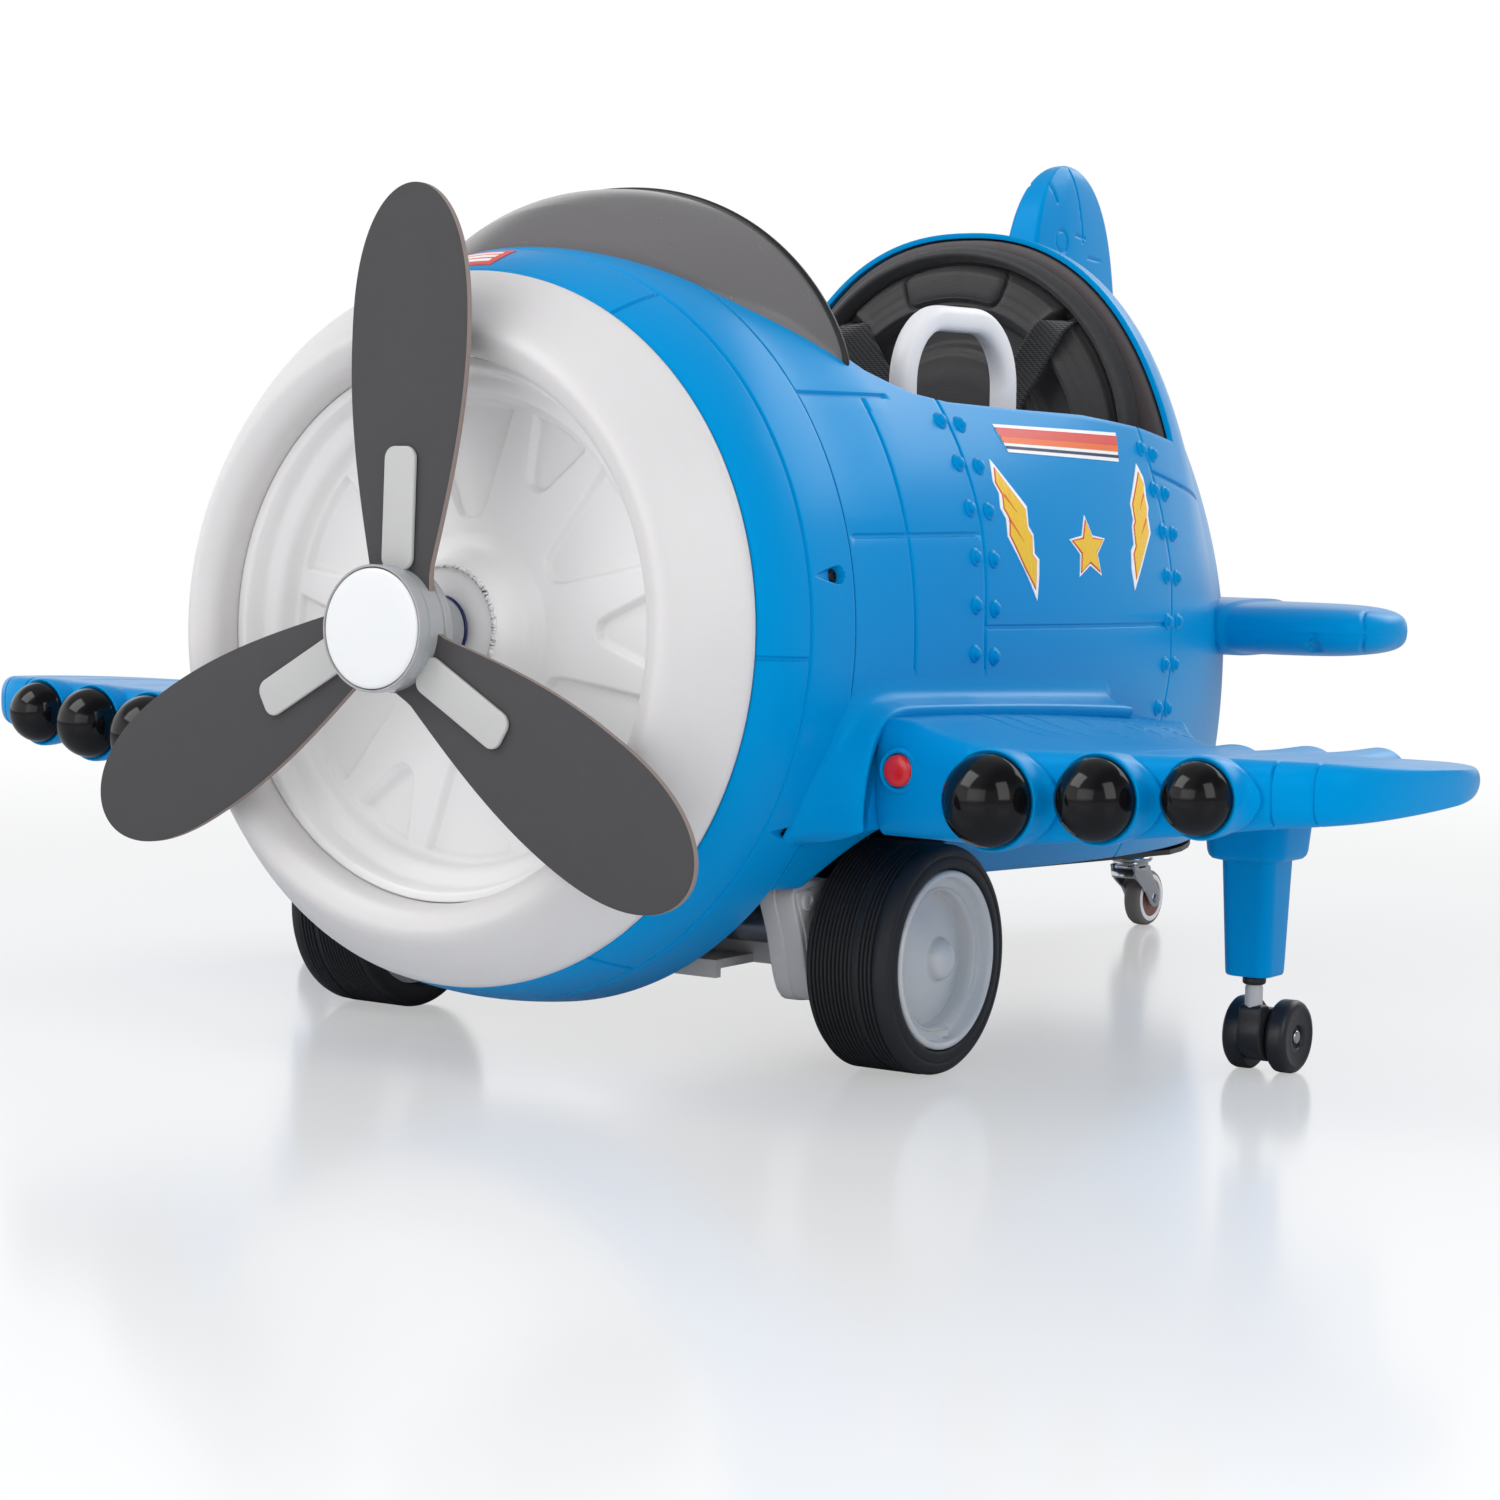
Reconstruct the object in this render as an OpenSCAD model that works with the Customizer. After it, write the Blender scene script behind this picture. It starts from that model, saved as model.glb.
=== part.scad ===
// Electric ride-on toy airplane for a small child: a barrel-bodied plane on two driven wheels,
// with a turning propeller, plug-in wings on swivel casters and two lever handles.
// The nose points along -Y, +Z is up and +X is the rider's left. Heights start at the floor.

/* [Fuselage] */
// Length from the seam behind the white nose ring to the end of the tail
body_len = 945; // [900:5:990]
// Widest outside width of the fuselage
body_w = 492; // [470:2:510]
// Height of the propeller axis above the floor, at the nose seam
axis_h = 289.5; // [285:0.5:300]
// Upward tilt of the nose, in degrees
nose_tilt = 2.4; // [1:0.2:4]
// Height of the cowling's top over the propeller axis
top_rise = 259; // [250:1:266]
// Height of the hood behind the seat over the propeller axis
hood_rise = 320.5; // [300:1:340]
// Distance from the nose seam to the hood's front edge
hood_y = 620; // [600:2:640]
// Depth of the open belly below the propeller axis
belly_drop = 158.5; // [150:0.5:165]
// Height of the cockpit sill above the floor
sill_h = 440; // [430:1:450]
// Wall thickness of the fuselage moulding
shell_wall = 4; // [3:0.5:5]

/* [Nose] */
// Radius of the seam between the white nose ring and the blue cowl
seam_r = 232; // [225:1:238]
// Largest radius of the cowl
cowl_r = 248; // [244:1:254]
// Length of the cowl
cowl_len = 90; // [80:1:100]
// How far the white lip stands in front of the seam
lip_len = 48; // [40:1:56]
// Radius of the hole that the lip surrounds
lip_in_r = 176; // [168:1:184]
// Wall thickness of the nose ring and the cowl
nose_wall = 4; // [3:0.5:5]
// Depth of the dish's floor behind the seam
dish_depth = 8; // [2:1:14]

/* [Propeller] */
// Radius from the propeller axis to a blade's tip
prop_r = 280; // [240:2:282]
// Greatest width of a blade
blade_w = 94; // [80:1:104]
// Width of a blade where it enters the hub
blade_root_w = 50; // [40:1:56]
// Thickness of a blade's foam sheet
blade_t = 5; // [4:0.5:7]
// Radius of the hub
hub_r = 40; // [36:0.5:44]
// Distance from the nose seam forward to the middle of the blades
blade_y = 69; // [66:1:74]
// Width of the clip that holds a blade
clip_w = 25; // [20:1:30]
// Radius from the axis to the outer end of a clip
clip_r = 115; // [100:1:125]
// Radius of the propeller shaft
shaft_r = 5; // [4:0.5:6]

/* [Drive wheels] */
// Outer radius of a drive tyre
tyre_r = 76.5; // [72:0.5:80]
// Width of a drive tyre
tyre_w = 64; // [58:1:68]
// Radius of the wheel disc that fills the tyre
disc_r = 59.5; // [54:0.5:64]
// Distance from the centre plane to the middle of a drive wheel
track_x = 224; // [218:1:228]
// Distance from the nose seam back to the drive axle
axle_y = 192; // [180:1:200]
// Radius of the steel drive axle
axle_r = 6; // [5:0.5:8]

/* [Wings] */
// Distance from the centre plane to a wing tip
wing_tip_x = 592; // [570:2:600]
// Distance from the centre plane to the outer face of the wing sockets
socket_x = 256; // [252:1:262]
// Height of the wing's middle at the inner engine dome
wing_h = 202; // [198:1:206]
// Rise of the wing for each millimetre outwards
wing_rise = 0.067; // [0.05:0.001:0.08]
// Half thickness of the wing at its root
wing_half_t = 24; // [20:0.5:26]
// Radius of the inner engine dome
dome_r = 29.5; // [26:0.5:31]
// Radius that each further engine dome loses
dome_step = 3.3; // [2:0.1:4]
// Distance from the centre plane to the inner engine dome
dome_x = 354; // [348:1:360]
// Distance that a wing slides out before it comes off its socket
wing_travel = 60; // [50:1:66]
// Radius of the red release button
release_r = 10; // [8:0.5:11]
// Travel of the red release button
release_travel = 3; // [2:0.5:4]

/* [Legs and casters] */
// Distance from the centre plane to a wing leg
leg_x = 413; // [405:1:421]
// Distance from the nose seam back to a wing leg
leg_y = 325; // [315:1:335]
// Height of a leg's lower end above the floor
leg_h = 67; // [64:1:74]
// Radius of the wheels of a twin-wheel caster
twin_r = 24.5; // [22:0.5:26]
// Thickness of each wheel of a twin-wheel caster
twin_t = 14; // [10:0.5:14]
// Distance from the swivel axis of a wing caster back to its axle
twin_trail = 22; // [18:0.5:24]
// Radius of the rear caster's wheel
tail_r = 24.5; // [22:0.5:26]
// Width of the rear caster's wheel
tail_wheel_w = 17; // [14:0.5:20]
// Distance from the end of the tail forward to the rear caster's swivel axis
tail_inset = 24; // [20:1:45]
// Distance from the rear caster's swivel axis back to its axle
tail_trail = 25; // [20:0.5:28]

/* [Cockpit] */
// Distance from the centre plane to the middle of a lever handle
lever_x = 150; // [146:1:154]
// Distance from the nose seam back to a lever's pivot
lever_y = 354; // [344:1:364]
// Height of a lever's pivot above the floor
lever_pivot_h = 330; // [320:1:340]
// Length of a lever's loop, front to back
loop_len = 154; // [140:1:160]
// Height of the top of a lever's loop above the floor
loop_h = 512; // [500:1:525]
// Swing of a lever to each side of upright, in degrees
lever_swing = 14; // [10:1:16]
// Height of the seat box above the floor
seat_h = 228; // [220:1:240]
// Half width of the seat
seat_half_w = 118; // [108:1:122]
// Radius of the round backrest
back_r = 161; // [154:1:166]
// Radius of the padded bead round the backrest
bead_r = 6.5; // [5:0.5:7]

/* [Fin and tailplanes] */
// Distance from the end of the tail forward to the middle of the fin
fin_inset = 167; // [155:1:180]
// Height of the fin's top over the hood under it
fin_up = 114; // [100:0.5:125]
// Thickness of the fin and the tailplanes at the root
fin_t = 46; // [38:1:50]
// Distance from the centre plane to a tailplane's tip
tailplane_x = 304; // [290:1:315]
// Distance from the end of the tail forward to the middle of a tailplane
tailplane_inset = 163; // [155:1:175]

/* [Fits] */
// Gap between pieces that are fastened together
gap = 0.3; // [0.2:0.1:0.5]
// Radial clearance of a shaft that turns in a bore
run = 0.05; // [0.02:0.01:0.08]
// Gap between pieces that move past each other
slack = 1; // [0.6:0.1:1.4]

/* [Hidden] */
$fn = 64;

blue = "#0a6fc2";
white = "#efece8";
black = "#1d1d1f";
dark_grey = "#474546";
smoke = "#6d6b6c";
light_grey = "#c9c9cb";
steel = "#a9adb3";
red = "#d8242b";

left = 1;
right = -1;

// What the tail carries keeps its distance from the tail's end
tail_y = body_len - tail_inset;
fin_y = body_len - fin_inset;
tailplane_y = body_len - tailplane_inset;

// The whole model is drawn with y = 0 at the nose seam and moved to its middle at the end
nose_front = blade_y + 21;
tail_rear = tail_y + tail_trail + tail_r;
mid_y = (tail_rear - nose_front) / 2;

// Stations and points of the fuselage's skin
shell_rings = 20;
shell_sides = 40;
body_half_w = body_w / 2;
taper_y = 100;
screen_y = 192;
screen_front_y = 70;
keel_drop = 248;
inner_end = 8;

// Outline helpers
function ease(t) = let (u = min(max(t, 0), 1)) u * u * (3 - 2 * u);
function falloff(t, q, s) = t <= 0 ? 1 : pow(max(0, 1 - pow(t, q)), s);
function sgn_pow(v, p) = sign(v) * pow(abs(v), p);
function mix(a, b, t) = a + (b - a) * t;

// Fuselage skin at distance y behind the seam
function axis_z(y) = axis_h - y * tan(nose_tilt);
function half_w(y) = body_half_w * falloff((y - taper_y) / (body_len - taper_y), 2.85, 0.6);
function rise(y) = y < hood_y
    ? mix(top_rise, hood_rise, ease((y - 200) / (hood_y - 200)))
    : hood_rise * falloff((y - hood_y) / (body_len - hood_y), 2.2, 0.62);
function squareness(y) = 2 + 0.2 * ease((y - cowl_len) / 90) + 0.12 * ease((y - 300) / 320);
function belly_z(y) = axis_z(y) - belly_drop;
// Half width of the skin at height z, set in by inset
function skin_x(y, z, inset = 0) = let (
    up = z > axis_z(y) ? rise(y) : keel_drop,
    v = min(1, abs(z - axis_z(y)) / (up - inset)),
    n = squareness(y)
) max(0, half_w(y) - inset) * pow(1 - pow(v, n), 1 / n);
function skin_ring(y, inset) = [
    for (i = [0:shell_sides - 1]) let (
        a = 360 * i / shell_sides,
        p = 2 / squareness(y),
        up = (sin(a) > 0 ? rise(y) : keel_drop) - inset
    ) [(half_w(y) - inset) * sgn_pow(cos(a), p), y, axis_z(y) + up * sgn_pow(sin(a), p)]
];

// A closed solid through rings that all have the same number of points
module loft(rings) {
    n = len(rings[0]);
    m = len(rings);
    points = [for (ring = rings) each ring];
    side = [
        for (k = [0:m - 2], i = [0:n - 1]) let (
            a = k * n + i,
            b = k * n + (i + 1) % n
        ) each [[a, b, b + n], [a, b + n, a + n]]
    ];
    front = [for (i = [1:n - 2]) [0, i + 1, i]];
    back = [for (i = [1:n - 2]) [(m - 1) * n, (m - 1) * n + i, (m - 1) * n + i + 1]];
    polyhedron(points, concat(side, front, back), convexity = 8);
}

// A 2D outline in the y-z plane, extruded along x from x0 to x1
module side_plate(x0, x1) {
    translate([x0, 0, 0]) rotate([90, 0, 90]) linear_extrude(x1 - x0) children();
}

// A profile of [radius, y] points turned about the Y axis
module turned(points) {
    rotate([-90, 0, 0]) rotate_extrude($fn = 96) polygon(points);
}

// A rod along X or Y, and a tube's bore is cut with the same
module rod_x(r, x0, x1) {
    translate([x0, 0, 0]) rotate([0, 90, 0]) cylinder(r = r, h = x1 - x0);
}
module rod_y(r, y0, y1) {
    translate([0, y0, 0]) rotate([-90, 0, 0]) cylinder(r = r, h = y1 - y0);
}

// The nose, its dish and the propeller are tilted about the seam's centre
module nose_frame() {
    translate([0, 0, axis_h]) rotate([-nose_tilt, 0, 0]) children();
}

// Mirrors a left-hand piece for the right-hand side
module on_side(side) {
    mirror([side == left ? 0 : 1, 0, 0]) children();
}

module skin_solid(inset, y0, y1) {
    loft([
        for (k = [0:shell_rings]) skin_ring(mix(y0, y1, sin(90 * k / shell_rings)), inset)
    ]);
}

// Cockpit opening, seen from the side: under the windscreen, along the sill, up the hood
sill_line = [
    [screen_front_y, sill_h + 107], [screen_front_y + 13, sill_h + 98],
    [screen_front_y + 36, sill_h + 79], [screen_front_y + 69, sill_h + 53],
    [screen_front_y + 115, sill_h + 22], [screen_y + 14, sill_h + 15],
    [screen_y + 38, sill_h + 8], [screen_y + 78, sill_h + 3], [360, sill_h],
    [450, sill_h - 2], [543, sill_h - 9], [hood_y, sill_h - 19]
];
module cockpit_outline() {
    polygon(concat(sill_line, [[hood_y, 800], [screen_front_y, 800]]));
}

// Wing socket outline, seen from the side, and the same outline grown or shrunk by d
socket_y0 = 92;
socket_y1 = 546;
socket_top = wing_h + 39;
socket_bottom = wing_h - 32;
module socket_outline(d) {
    polygon([
        [socket_y0 - d, socket_bottom - d], [socket_y0 - d, socket_bottom + 12],
        [socket_y0 + 13 - d, socket_top - 20 + d], [socket_y0 + 24 - d, socket_top - 7 + d],
        [socket_y0 + 58, socket_top + d], [430, socket_top - 13 + d], [505, socket_top - 26 + d],
        [socket_y1 - 10 + d, socket_top - 38 + d], [socket_y1 + d, socket_top - 52],
        [socket_y1 - 16, socket_bottom - d]
    ]);
}

// Spigot of the wing in its socket
spigot_y0 = 190;
spigot_y1 = 420;
spigot_z0 = wing_h - 20;
spigot_z1 = wing_h + 14;
spigot_len = wing_travel + 12;

// Everything in front of the cowl's rear plane, and everything under the belly's plane
module front_of(y) {
    nose_frame() translate([-400, y - 400, -400]) cube([800, 400, 800]);
}
module below_belly(drop) {
    side_plate(-400, 400)
        polygon([[-50, -100], [-50, belly_z(-50) - drop], [1100, belly_z(1100) - drop], [1100, -100]]);
}

module fuselage_shell() {
    color(blue) resize([body_w, 0, 0]) difference() {
        skin_solid(0, cowl_len - 32, body_len - 2);
        skin_solid(shell_wall, cowl_len - 33, body_len - inner_end);
        front_of(cowl_len + gap);
        side_plate(-300, 300) cockpit_outline();
        below_belly(0);
        for (side = [left, right]) on_side(side) {
            side_plate(150, 300) socket_outline(gap);
            translate([0, axle_y, tyre_r]) rod_x(tyre_r + 16, 178, 300);
        }
    }
}

// Cowl: a ring that swells from the round seam to the section of the fuselage
cowl_sides = 48;
function swell(y) = (1 - pow((200 - y) / 200, 4)) / (1 - pow((200 - cowl_len) / 200, 4));
function cowl_w(y) = seam_r + (body_half_w - seam_r) * (1 - pow(max(0, 1 - swell(y)), 2.2));
function cowl_point(a, y, inset) = [
    (cowl_w(y) - inset) * cos(a), y,
    (seam_r + ((sin(a) > 0 ? top_rise : cowl_r) - seam_r) * swell(y) - inset) * sin(a)
];
function cowl_ring_at(y, inset) =
    [for (i = [0:cowl_sides - 1]) cowl_point(360 * i / cowl_sides, y, inset)];

module cowl_ring() {
    steps = [0, 0.1, 0.24, 0.42, 0.68, 1];
    color(blue) nose_frame() resize([body_w, 0, 0]) difference() {
        loft([for (t = steps) cowl_ring_at(t * cowl_len, 0)]);
        loft([for (t = steps) cowl_ring_at(-0.5 + t * (cowl_len + 1), nose_wall)]);
        for (a = screw_angles) cowl_screw_place(a) cylinder(r = screw_r + 0.2, h = 30);
    }
}

// Screws of the cowl, two a side
screw_angles = [10, -29, 170, 209];
screw_r = 3;
screw_y = cowl_len - 17;
module cowl_screw_place(a) {
    p = cowl_point(a, screw_y, 0);
    translate(p) rotate([0, 90 - a, 0]) translate([0, 0, -nose_wall - 8]) children();
}
module body_screws() {
    color(black) nose_frame() for (a = screw_angles) cowl_screw_place(a) {
        cylinder(r = screw_r, h = nose_wall + 8.3);
        translate([0, 0, nose_wall + 8.3]) cylinder(r = 5.5, h = 2.5);
    }
}

// White ring round the nose
module nose_ring() {
    w = nose_wall;
    color(white) nose_frame() turned([
        [seam_r, -gap], [seam_r - 1, -5], [seam_r - 5.5, -12], [seam_r - 11, -19], [seam_r - 17, -27],
        [seam_r - 23, -34], [seam_r - 29, -lip_len + 7], [seam_r - 34, -lip_len + 2.5], [seam_r - 39, -lip_len],
        [lip_in_r + 12, -lip_len + 1.5], [lip_in_r + 5, -lip_len + 5], [lip_in_r, -lip_len + 10],
        [lip_in_r, -18], [lip_in_r + w, -18], [lip_in_r + w, -lip_len + 12],
        [lip_in_r + 12, -lip_len + 6], [seam_r - 40, -lip_len + w + 2], [seam_r - 33, -lip_len + w + 8],
        [seam_r - 26, -28], [seam_r - 17, -16], [seam_r - 11, -8], [seam_r - 2 * w, 0], [seam_r - 2 * w, 10],
        [seam_r - w - slack, 10], [seam_r - w - slack, -gap]
    ]);
}

// Dish inside the white ring, with a boss in the middle for the shaft
module nose_dish() {
    d = dish_depth;
    r = lip_in_r - gap;
    hole = shaft_r + 3;
    color(white) nose_frame() turned([
        [r, -22], [r - 5, -22], [r - 7, -19], [r - 9, -8], [r - 18, -6], [r - 21, -3],
        [r - 23, d - 3], [r - 26, d], [62, d], [54, d - 5], [47, -15], [42, -18], [hole, -18],
        [hole, -14], [40, -14], [43, -11], [50, d - 1], [60, d + 4], [r - 24, d + 4],
        [r - 19, d], [r - 16, -2], [r - 6, -4], [r - 4, -10], [r, -10]
    ]);
}

// Gear motor of the propeller, screwed to the back of the dish
motor_y = dish_depth + 4 + gap;
module propeller_motor() {
    color(steel) nose_frame() difference() {
        union() {
            rod_y(66, motor_y, motor_y + 4);
            rod_y(32, motor_y + 4, motor_y + 66);
        }
        rod_y(shaft_r + run, motor_y - 1, motor_y + 40);
    }
}

// Propeller, turning about the tilted axis
module propeller_shaft() {
    color(steel) nose_frame() rod_y(shaft_r, -blade_y - 8, motor_y + 38);
}

module blade_places() {
    nose_frame() for (k = [0:2]) rotate([0, 120 * k, 0]) children();
}

module propeller_hub() {
    color(light_grey) difference() {
        nose_frame() turned([
            [shaft_r + run, -blade_y - 11], [hub_r - 2, -blade_y - 11],
            [hub_r - 2, -blade_y + 11], [hub_r - 5, -blade_y + 14], [19, -blade_y + 16],
            [17, -22 - slack], [shaft_r + run, -22 - slack]
        ]);
        blade_places() translate([-blade_root_w / 2 + 6.5 - gap, -blade_y - blade_t / 2 - gap, 22 - gap])
            cube([blade_root_w + 2 * gap, blade_t + 2 * gap, hub_r]);
    }
}

module hub_cap() {
    y = -blade_y - 11 - gap;
    color(white) nose_frame() turned([
        [0, y], [hub_r, y], [hub_r, y - 6], [hub_r - 3, y - 8.5], [hub_r - 8, y - 9.7], [0, y - 9.7]
    ]);
}

// Edge of a blade at distance r from the axis; side is -1 or 1
wide_r = 182;
function blade_edge(r, side) = 8 - 1.5 * cos(90 * min(1, r / wide_r)) + side * (r < wide_r
    ? mix(blade_root_w, blade_w, sin(90 * (r - hub_r) / (wide_r - hub_r))) / 2
    : blade_w / 2 * falloff((r - wide_r) / (prop_r - wide_r), 2.5, 0.5));

module propeller_blades() {
    x0 = -blade_root_w / 2 + 6.5;
    up = [for (k = [0:14]) mix(hub_r + 6, prop_r, sin(90 * k / 14))];
    color(dark_grey) blade_places()
        translate([0, -blade_y + blade_t / 2, 0]) rotate([90, 0, 0]) linear_extrude(blade_t) polygon(concat(
            [[x0, 22], [x0, hub_r]],
            [for (k = [0:14]) [blade_edge(up[k], -1), up[k]]],
            [for (k = [13:-1:0]) [blade_edge(up[k], 1), up[k]]],
            [[x0 + blade_root_w, hub_r], [x0 + blade_root_w, 22]]
        ));
}

module blade_clips() {
    color(light_grey) blade_places() for (y = [-blade_y - blade_t / 2 - gap, -blade_y + blade_t / 2 + gap + 3])
        translate([6.5, y, 0]) rotate([90, 0, 0]) linear_extrude(3) union() {
            translate([-clip_w / 2, hub_r - 2 + gap]) square([clip_w, clip_r - clip_w / 2 - hub_r + 2 - gap]);
            translate([0, clip_r - clip_w / 2]) circle(r = clip_w / 2, $fn = 48);
        }
}

// Windscreen: a shell that swells out of the skin towards its rear rim
screen_lift = 43;
screen_wall = 3;
rim_y = 166;
screen_y0 = 58;
screen_sides = 36;
function screen_half(y) = 187 * pow(max(0, (y - screen_y0) / 112), 1 / 2.2);
function screen_rise(y) = screen_lift * pow(sin(90 * min(1, max(0, (y - screen_y0) / (rim_y - screen_y0)))), 0.9);
function screen_point(a, y, add) = let (
    p = 2 / squareness(y),
    c = sgn_pow(cos(a), p),
    s = sgn_pow(sin(a), p),
    x = half_w(y) * c,
    edge = screen_half(y),
    lift = screen_rise(y) * falloff(abs(x) / max(edge, 1), 2, 0.75) + add
) [x + lift * cos(a), y, axis_z(y) + rise(y) * s + lift * sin(a)];
function screen_ring(y, add) = [
    for (i = [0:screen_sides]) screen_point(12 + 156 * i / screen_sides, y, add)
];
module screen_solid(add, y0, y1, steps) {
    loft([for (k = [0:steps]) screen_ring(mix(y0, y1, k / steps), add)]);
}
module windscreen() {
    color(smoke) resize([0, 0, 0]) difference() {
        screen_solid(0, screen_y0 + 1, rim_y, 12);
        screen_solid(-screen_wall, screen_y0, rim_y + 1, 12);
        skin_solid(-0.9, cowl_len - 60, 400);
        front_of(cowl_len - 34);
    }
}

module windscreen_rim() {
    color(black) resize([0, 0, 0]) difference() {
        screen_solid(1.5, rim_y + gap, rim_y + 5, 2);
        screen_solid(-5, rim_y - 1, rim_y + 6, 2);
        skin_solid(-0.9, cowl_len - 60, 400);
        translate([-300, 100, 0]) cube([600, 100, sill_h + 14]);
    }
}

// Cockpit tub: floor, walls that carry the levers, and the seat box
floor_z = 126;
tub_x = 170;
tub_y0 = 222;
tub_y1 = 606;
wall = 4;
box_y0 = 432;
box_h = seat_h - 40;
cheek_in = lever_x - 22;
cheek_out = lever_x + 18;
pin_r = 6;
module cockpit_tub() {
    color(black) difference() {
        union() {
            translate([-tub_x, tub_y0, floor_z]) cube([2 * tub_x, tub_y1 - tub_y0, wall]);
            translate([-tub_x, tub_y0, floor_z]) cube([2 * tub_x, wall, lever_pivot_h - floor_z - 20]);
            for (x = [-cheek_out, -cheek_in - wall, cheek_in, cheek_out - wall])
                translate([x, lever_y - 60, floor_z]) cube([wall, 120, lever_pivot_h - floor_z + 14]);
            for (side = [left, right]) on_side(side)
                translate([0, lever_y, lever_pivot_h]) rod_x(pin_r, cheek_in, cheek_out);
            difference() {
                translate([-seat_half_w, box_y0, floor_z]) cube([2 * seat_half_w, tub_y1 - box_y0, box_h - floor_z]);
                translate([wall - seat_half_w, box_y0 + wall, floor_z + wall])
                    cube([2 * seat_half_w - 2 * wall, tub_y1 - box_y0 - 2 * wall, box_h - floor_z - 2 * wall]);
            }
        }
        translate([-70, box_y0 + 2, floor_z + 30]) rod_y(socket_hole + gap, -5, 5);
    }
}

// Charging socket in the front of the seat box
socket_hole = 9;
module charge_socket() {
    color(black) translate([-70, box_y0, floor_z + 30]) difference() {
        union() {
            rod_y(socket_hole, -1, 22);
            rod_y(socket_hole + 3, -3, -gap);
        }
        rod_y(4, -4, 16);
    }
}

module battery() {
    color(dark_grey) translate([-20, box_y0 + 40, floor_z + wall + gap]) {
        cube([120, 110, box_h - floor_z - 2 * wall - 8]);
        translate([20, 20, 0]) cube([12, 12, box_h - floor_z - 2 * wall - 4]);
        translate([88, 20, 0]) cube([12, 12, box_h - floor_z - 2 * wall - 4]);
    }
}

module control_box() {
    color(black) translate([-100, box_y0 + 60, floor_z + wall + gap]) cube([70, 70, 32]);
}

// Cushion: a crowned pad whose sides draw in; l is along Y, h is its height
module cushion(w, l, h, crown, n = 28) {
    rings = [[-0.5, 0.86], [-0.3, 0.97], [0, 1], [0.28, 0.98], [0.44, 0.9], [0.5, 0.76]];
    loft([
        for (r = [for (k = [len(rings) - 1:-1:0]) rings[k]]) [
            for (i = [0:n - 1]) let (
                a = 360 * i / n,
                x = w / 2 * r[1] * sgn_pow(cos(a), 0.45),
                y = l / 2 * r[1] * sgn_pow(sin(a), 0.45),
                dome = r[0] > 0 ? crown * (1 - pow(abs(x) / w, 2) - pow(abs(y) / l, 2)) : 0
            ) [x, y, h * r[0] + dome * (r[0] > 0.3 ? 1 : 0)]
        ]
    ]);
}

pad_top = seat_h - 6;
module seat_cushion() {
    color(dark_grey) translate([0, (box_y0 + tub_y1) / 2 - 6, box_h + gap + 17])
        cushion(2 * seat_half_w, tub_y1 - box_y0 - 8, 34, 5);
}

// Round seat back: a black dished wall that closes the hood
back_y = hood_y + 8;
back_c = axis_z(hood_y) + hood_rise - back_r - 11;
function back_outline(d) = [
    for (i = [0:47]) let (
        a = 360 * i / 48,
        p = 2 / squareness(back_y),
        up = sin(a) > 0 ? rise(back_y) : keel_drop
    ) [
        (half_w(back_y) - shell_wall - gap - d) * sgn_pow(cos(a), p),
        max(floor_z + wall + gap, axis_z(back_y) + (up - shell_wall - gap - d) * sgn_pow(sin(a), p))
    ]
];
module in_back_plane(y0, y1) {
    translate([0, y1, 0]) rotate([90, 0, 0]) linear_extrude(y1 - y0) children();
}
module seat_back() {
    color(black) difference() {
        in_back_plane(back_y, back_y + wall) polygon(back_outline(slack + 0.6));
        for (x = [-belt_x, belt_x]) translate([x - 17, back_y - 1, slot_z]) cube([34, wall + 2, 8]);
    }
}

// Padded bead round the backrest: a half ring with two straight ends
bead_path_r = back_r - bead_r;
bead_y = back_y - 13 - gap;
bead_low = seat_h + 20;
module bead_profile() {
    polygon([for (i = [0:15]) let (a = 22.5 * i) [bead_r * cos(a), 13 * sin(a)]]);
}
module seat_bead() {
    color(dark_grey) translate([0, bead_y, back_c]) {
        rotate([90, 0, 0]) rotate_extrude(angle = 180, $fn = 96) translate([bead_path_r, 0]) bead_profile();
        for (x = [-bead_path_r, bead_path_r])
            translate([x, 0, bead_low - back_c]) linear_extrude(back_c - bead_low) bead_profile();
    }
}

// Backrest: moulded pad with two concentric arches, inside the bead
pad_r = back_r - 2 * bead_r - 1;
pad_low = seat_h + 2;
slot_z = back_c + 98;
module arch(r, c) {
    translate([0, c]) circle(r = r, $fn = 96);
    translate([-r, pad_low]) square([2 * r, c - pad_low]);
}
module backrest_pad() {
    color(dark_grey) union() {
        in_back_plane(back_y - 21, back_y - gap) difference() {
            arch(pad_r, back_c);
            for (x = [-belt_x, belt_x]) translate([x - 17, slot_z]) square([34, 8]);
        }
        in_back_plane(back_y - 26, back_y - 21) difference() {
            arch(pad_r - 30, back_c);
            translate([0, -1]) arch(pad_r - 52, back_c - 8);
        }
        in_back_plane(back_y - 26, back_y - 21) arch(pad_r - 62, back_c - 6);
    }
}

// Headrest: a trapezoid of the upper band, between two seams
head_w = 104;
module headrest_pad() {
    color(dark_grey) in_back_plane(back_y - 28, back_y - 21 - gap) intersection() {
        difference() {
            translate([0, back_c]) circle(r = pad_r - 1, $fn = 96);
            translate([0, back_c]) circle(r = pad_r - 29, $fn = 96);
        }
        polygon([
            [-head_w / 2 + 9, back_c + pad_r - 34], [head_w / 2 - 9, back_c + pad_r - 34],
            [head_w / 2, back_c + pad_r], [-head_w / 2, back_c + pad_r]
        ]);
    }
}

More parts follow.
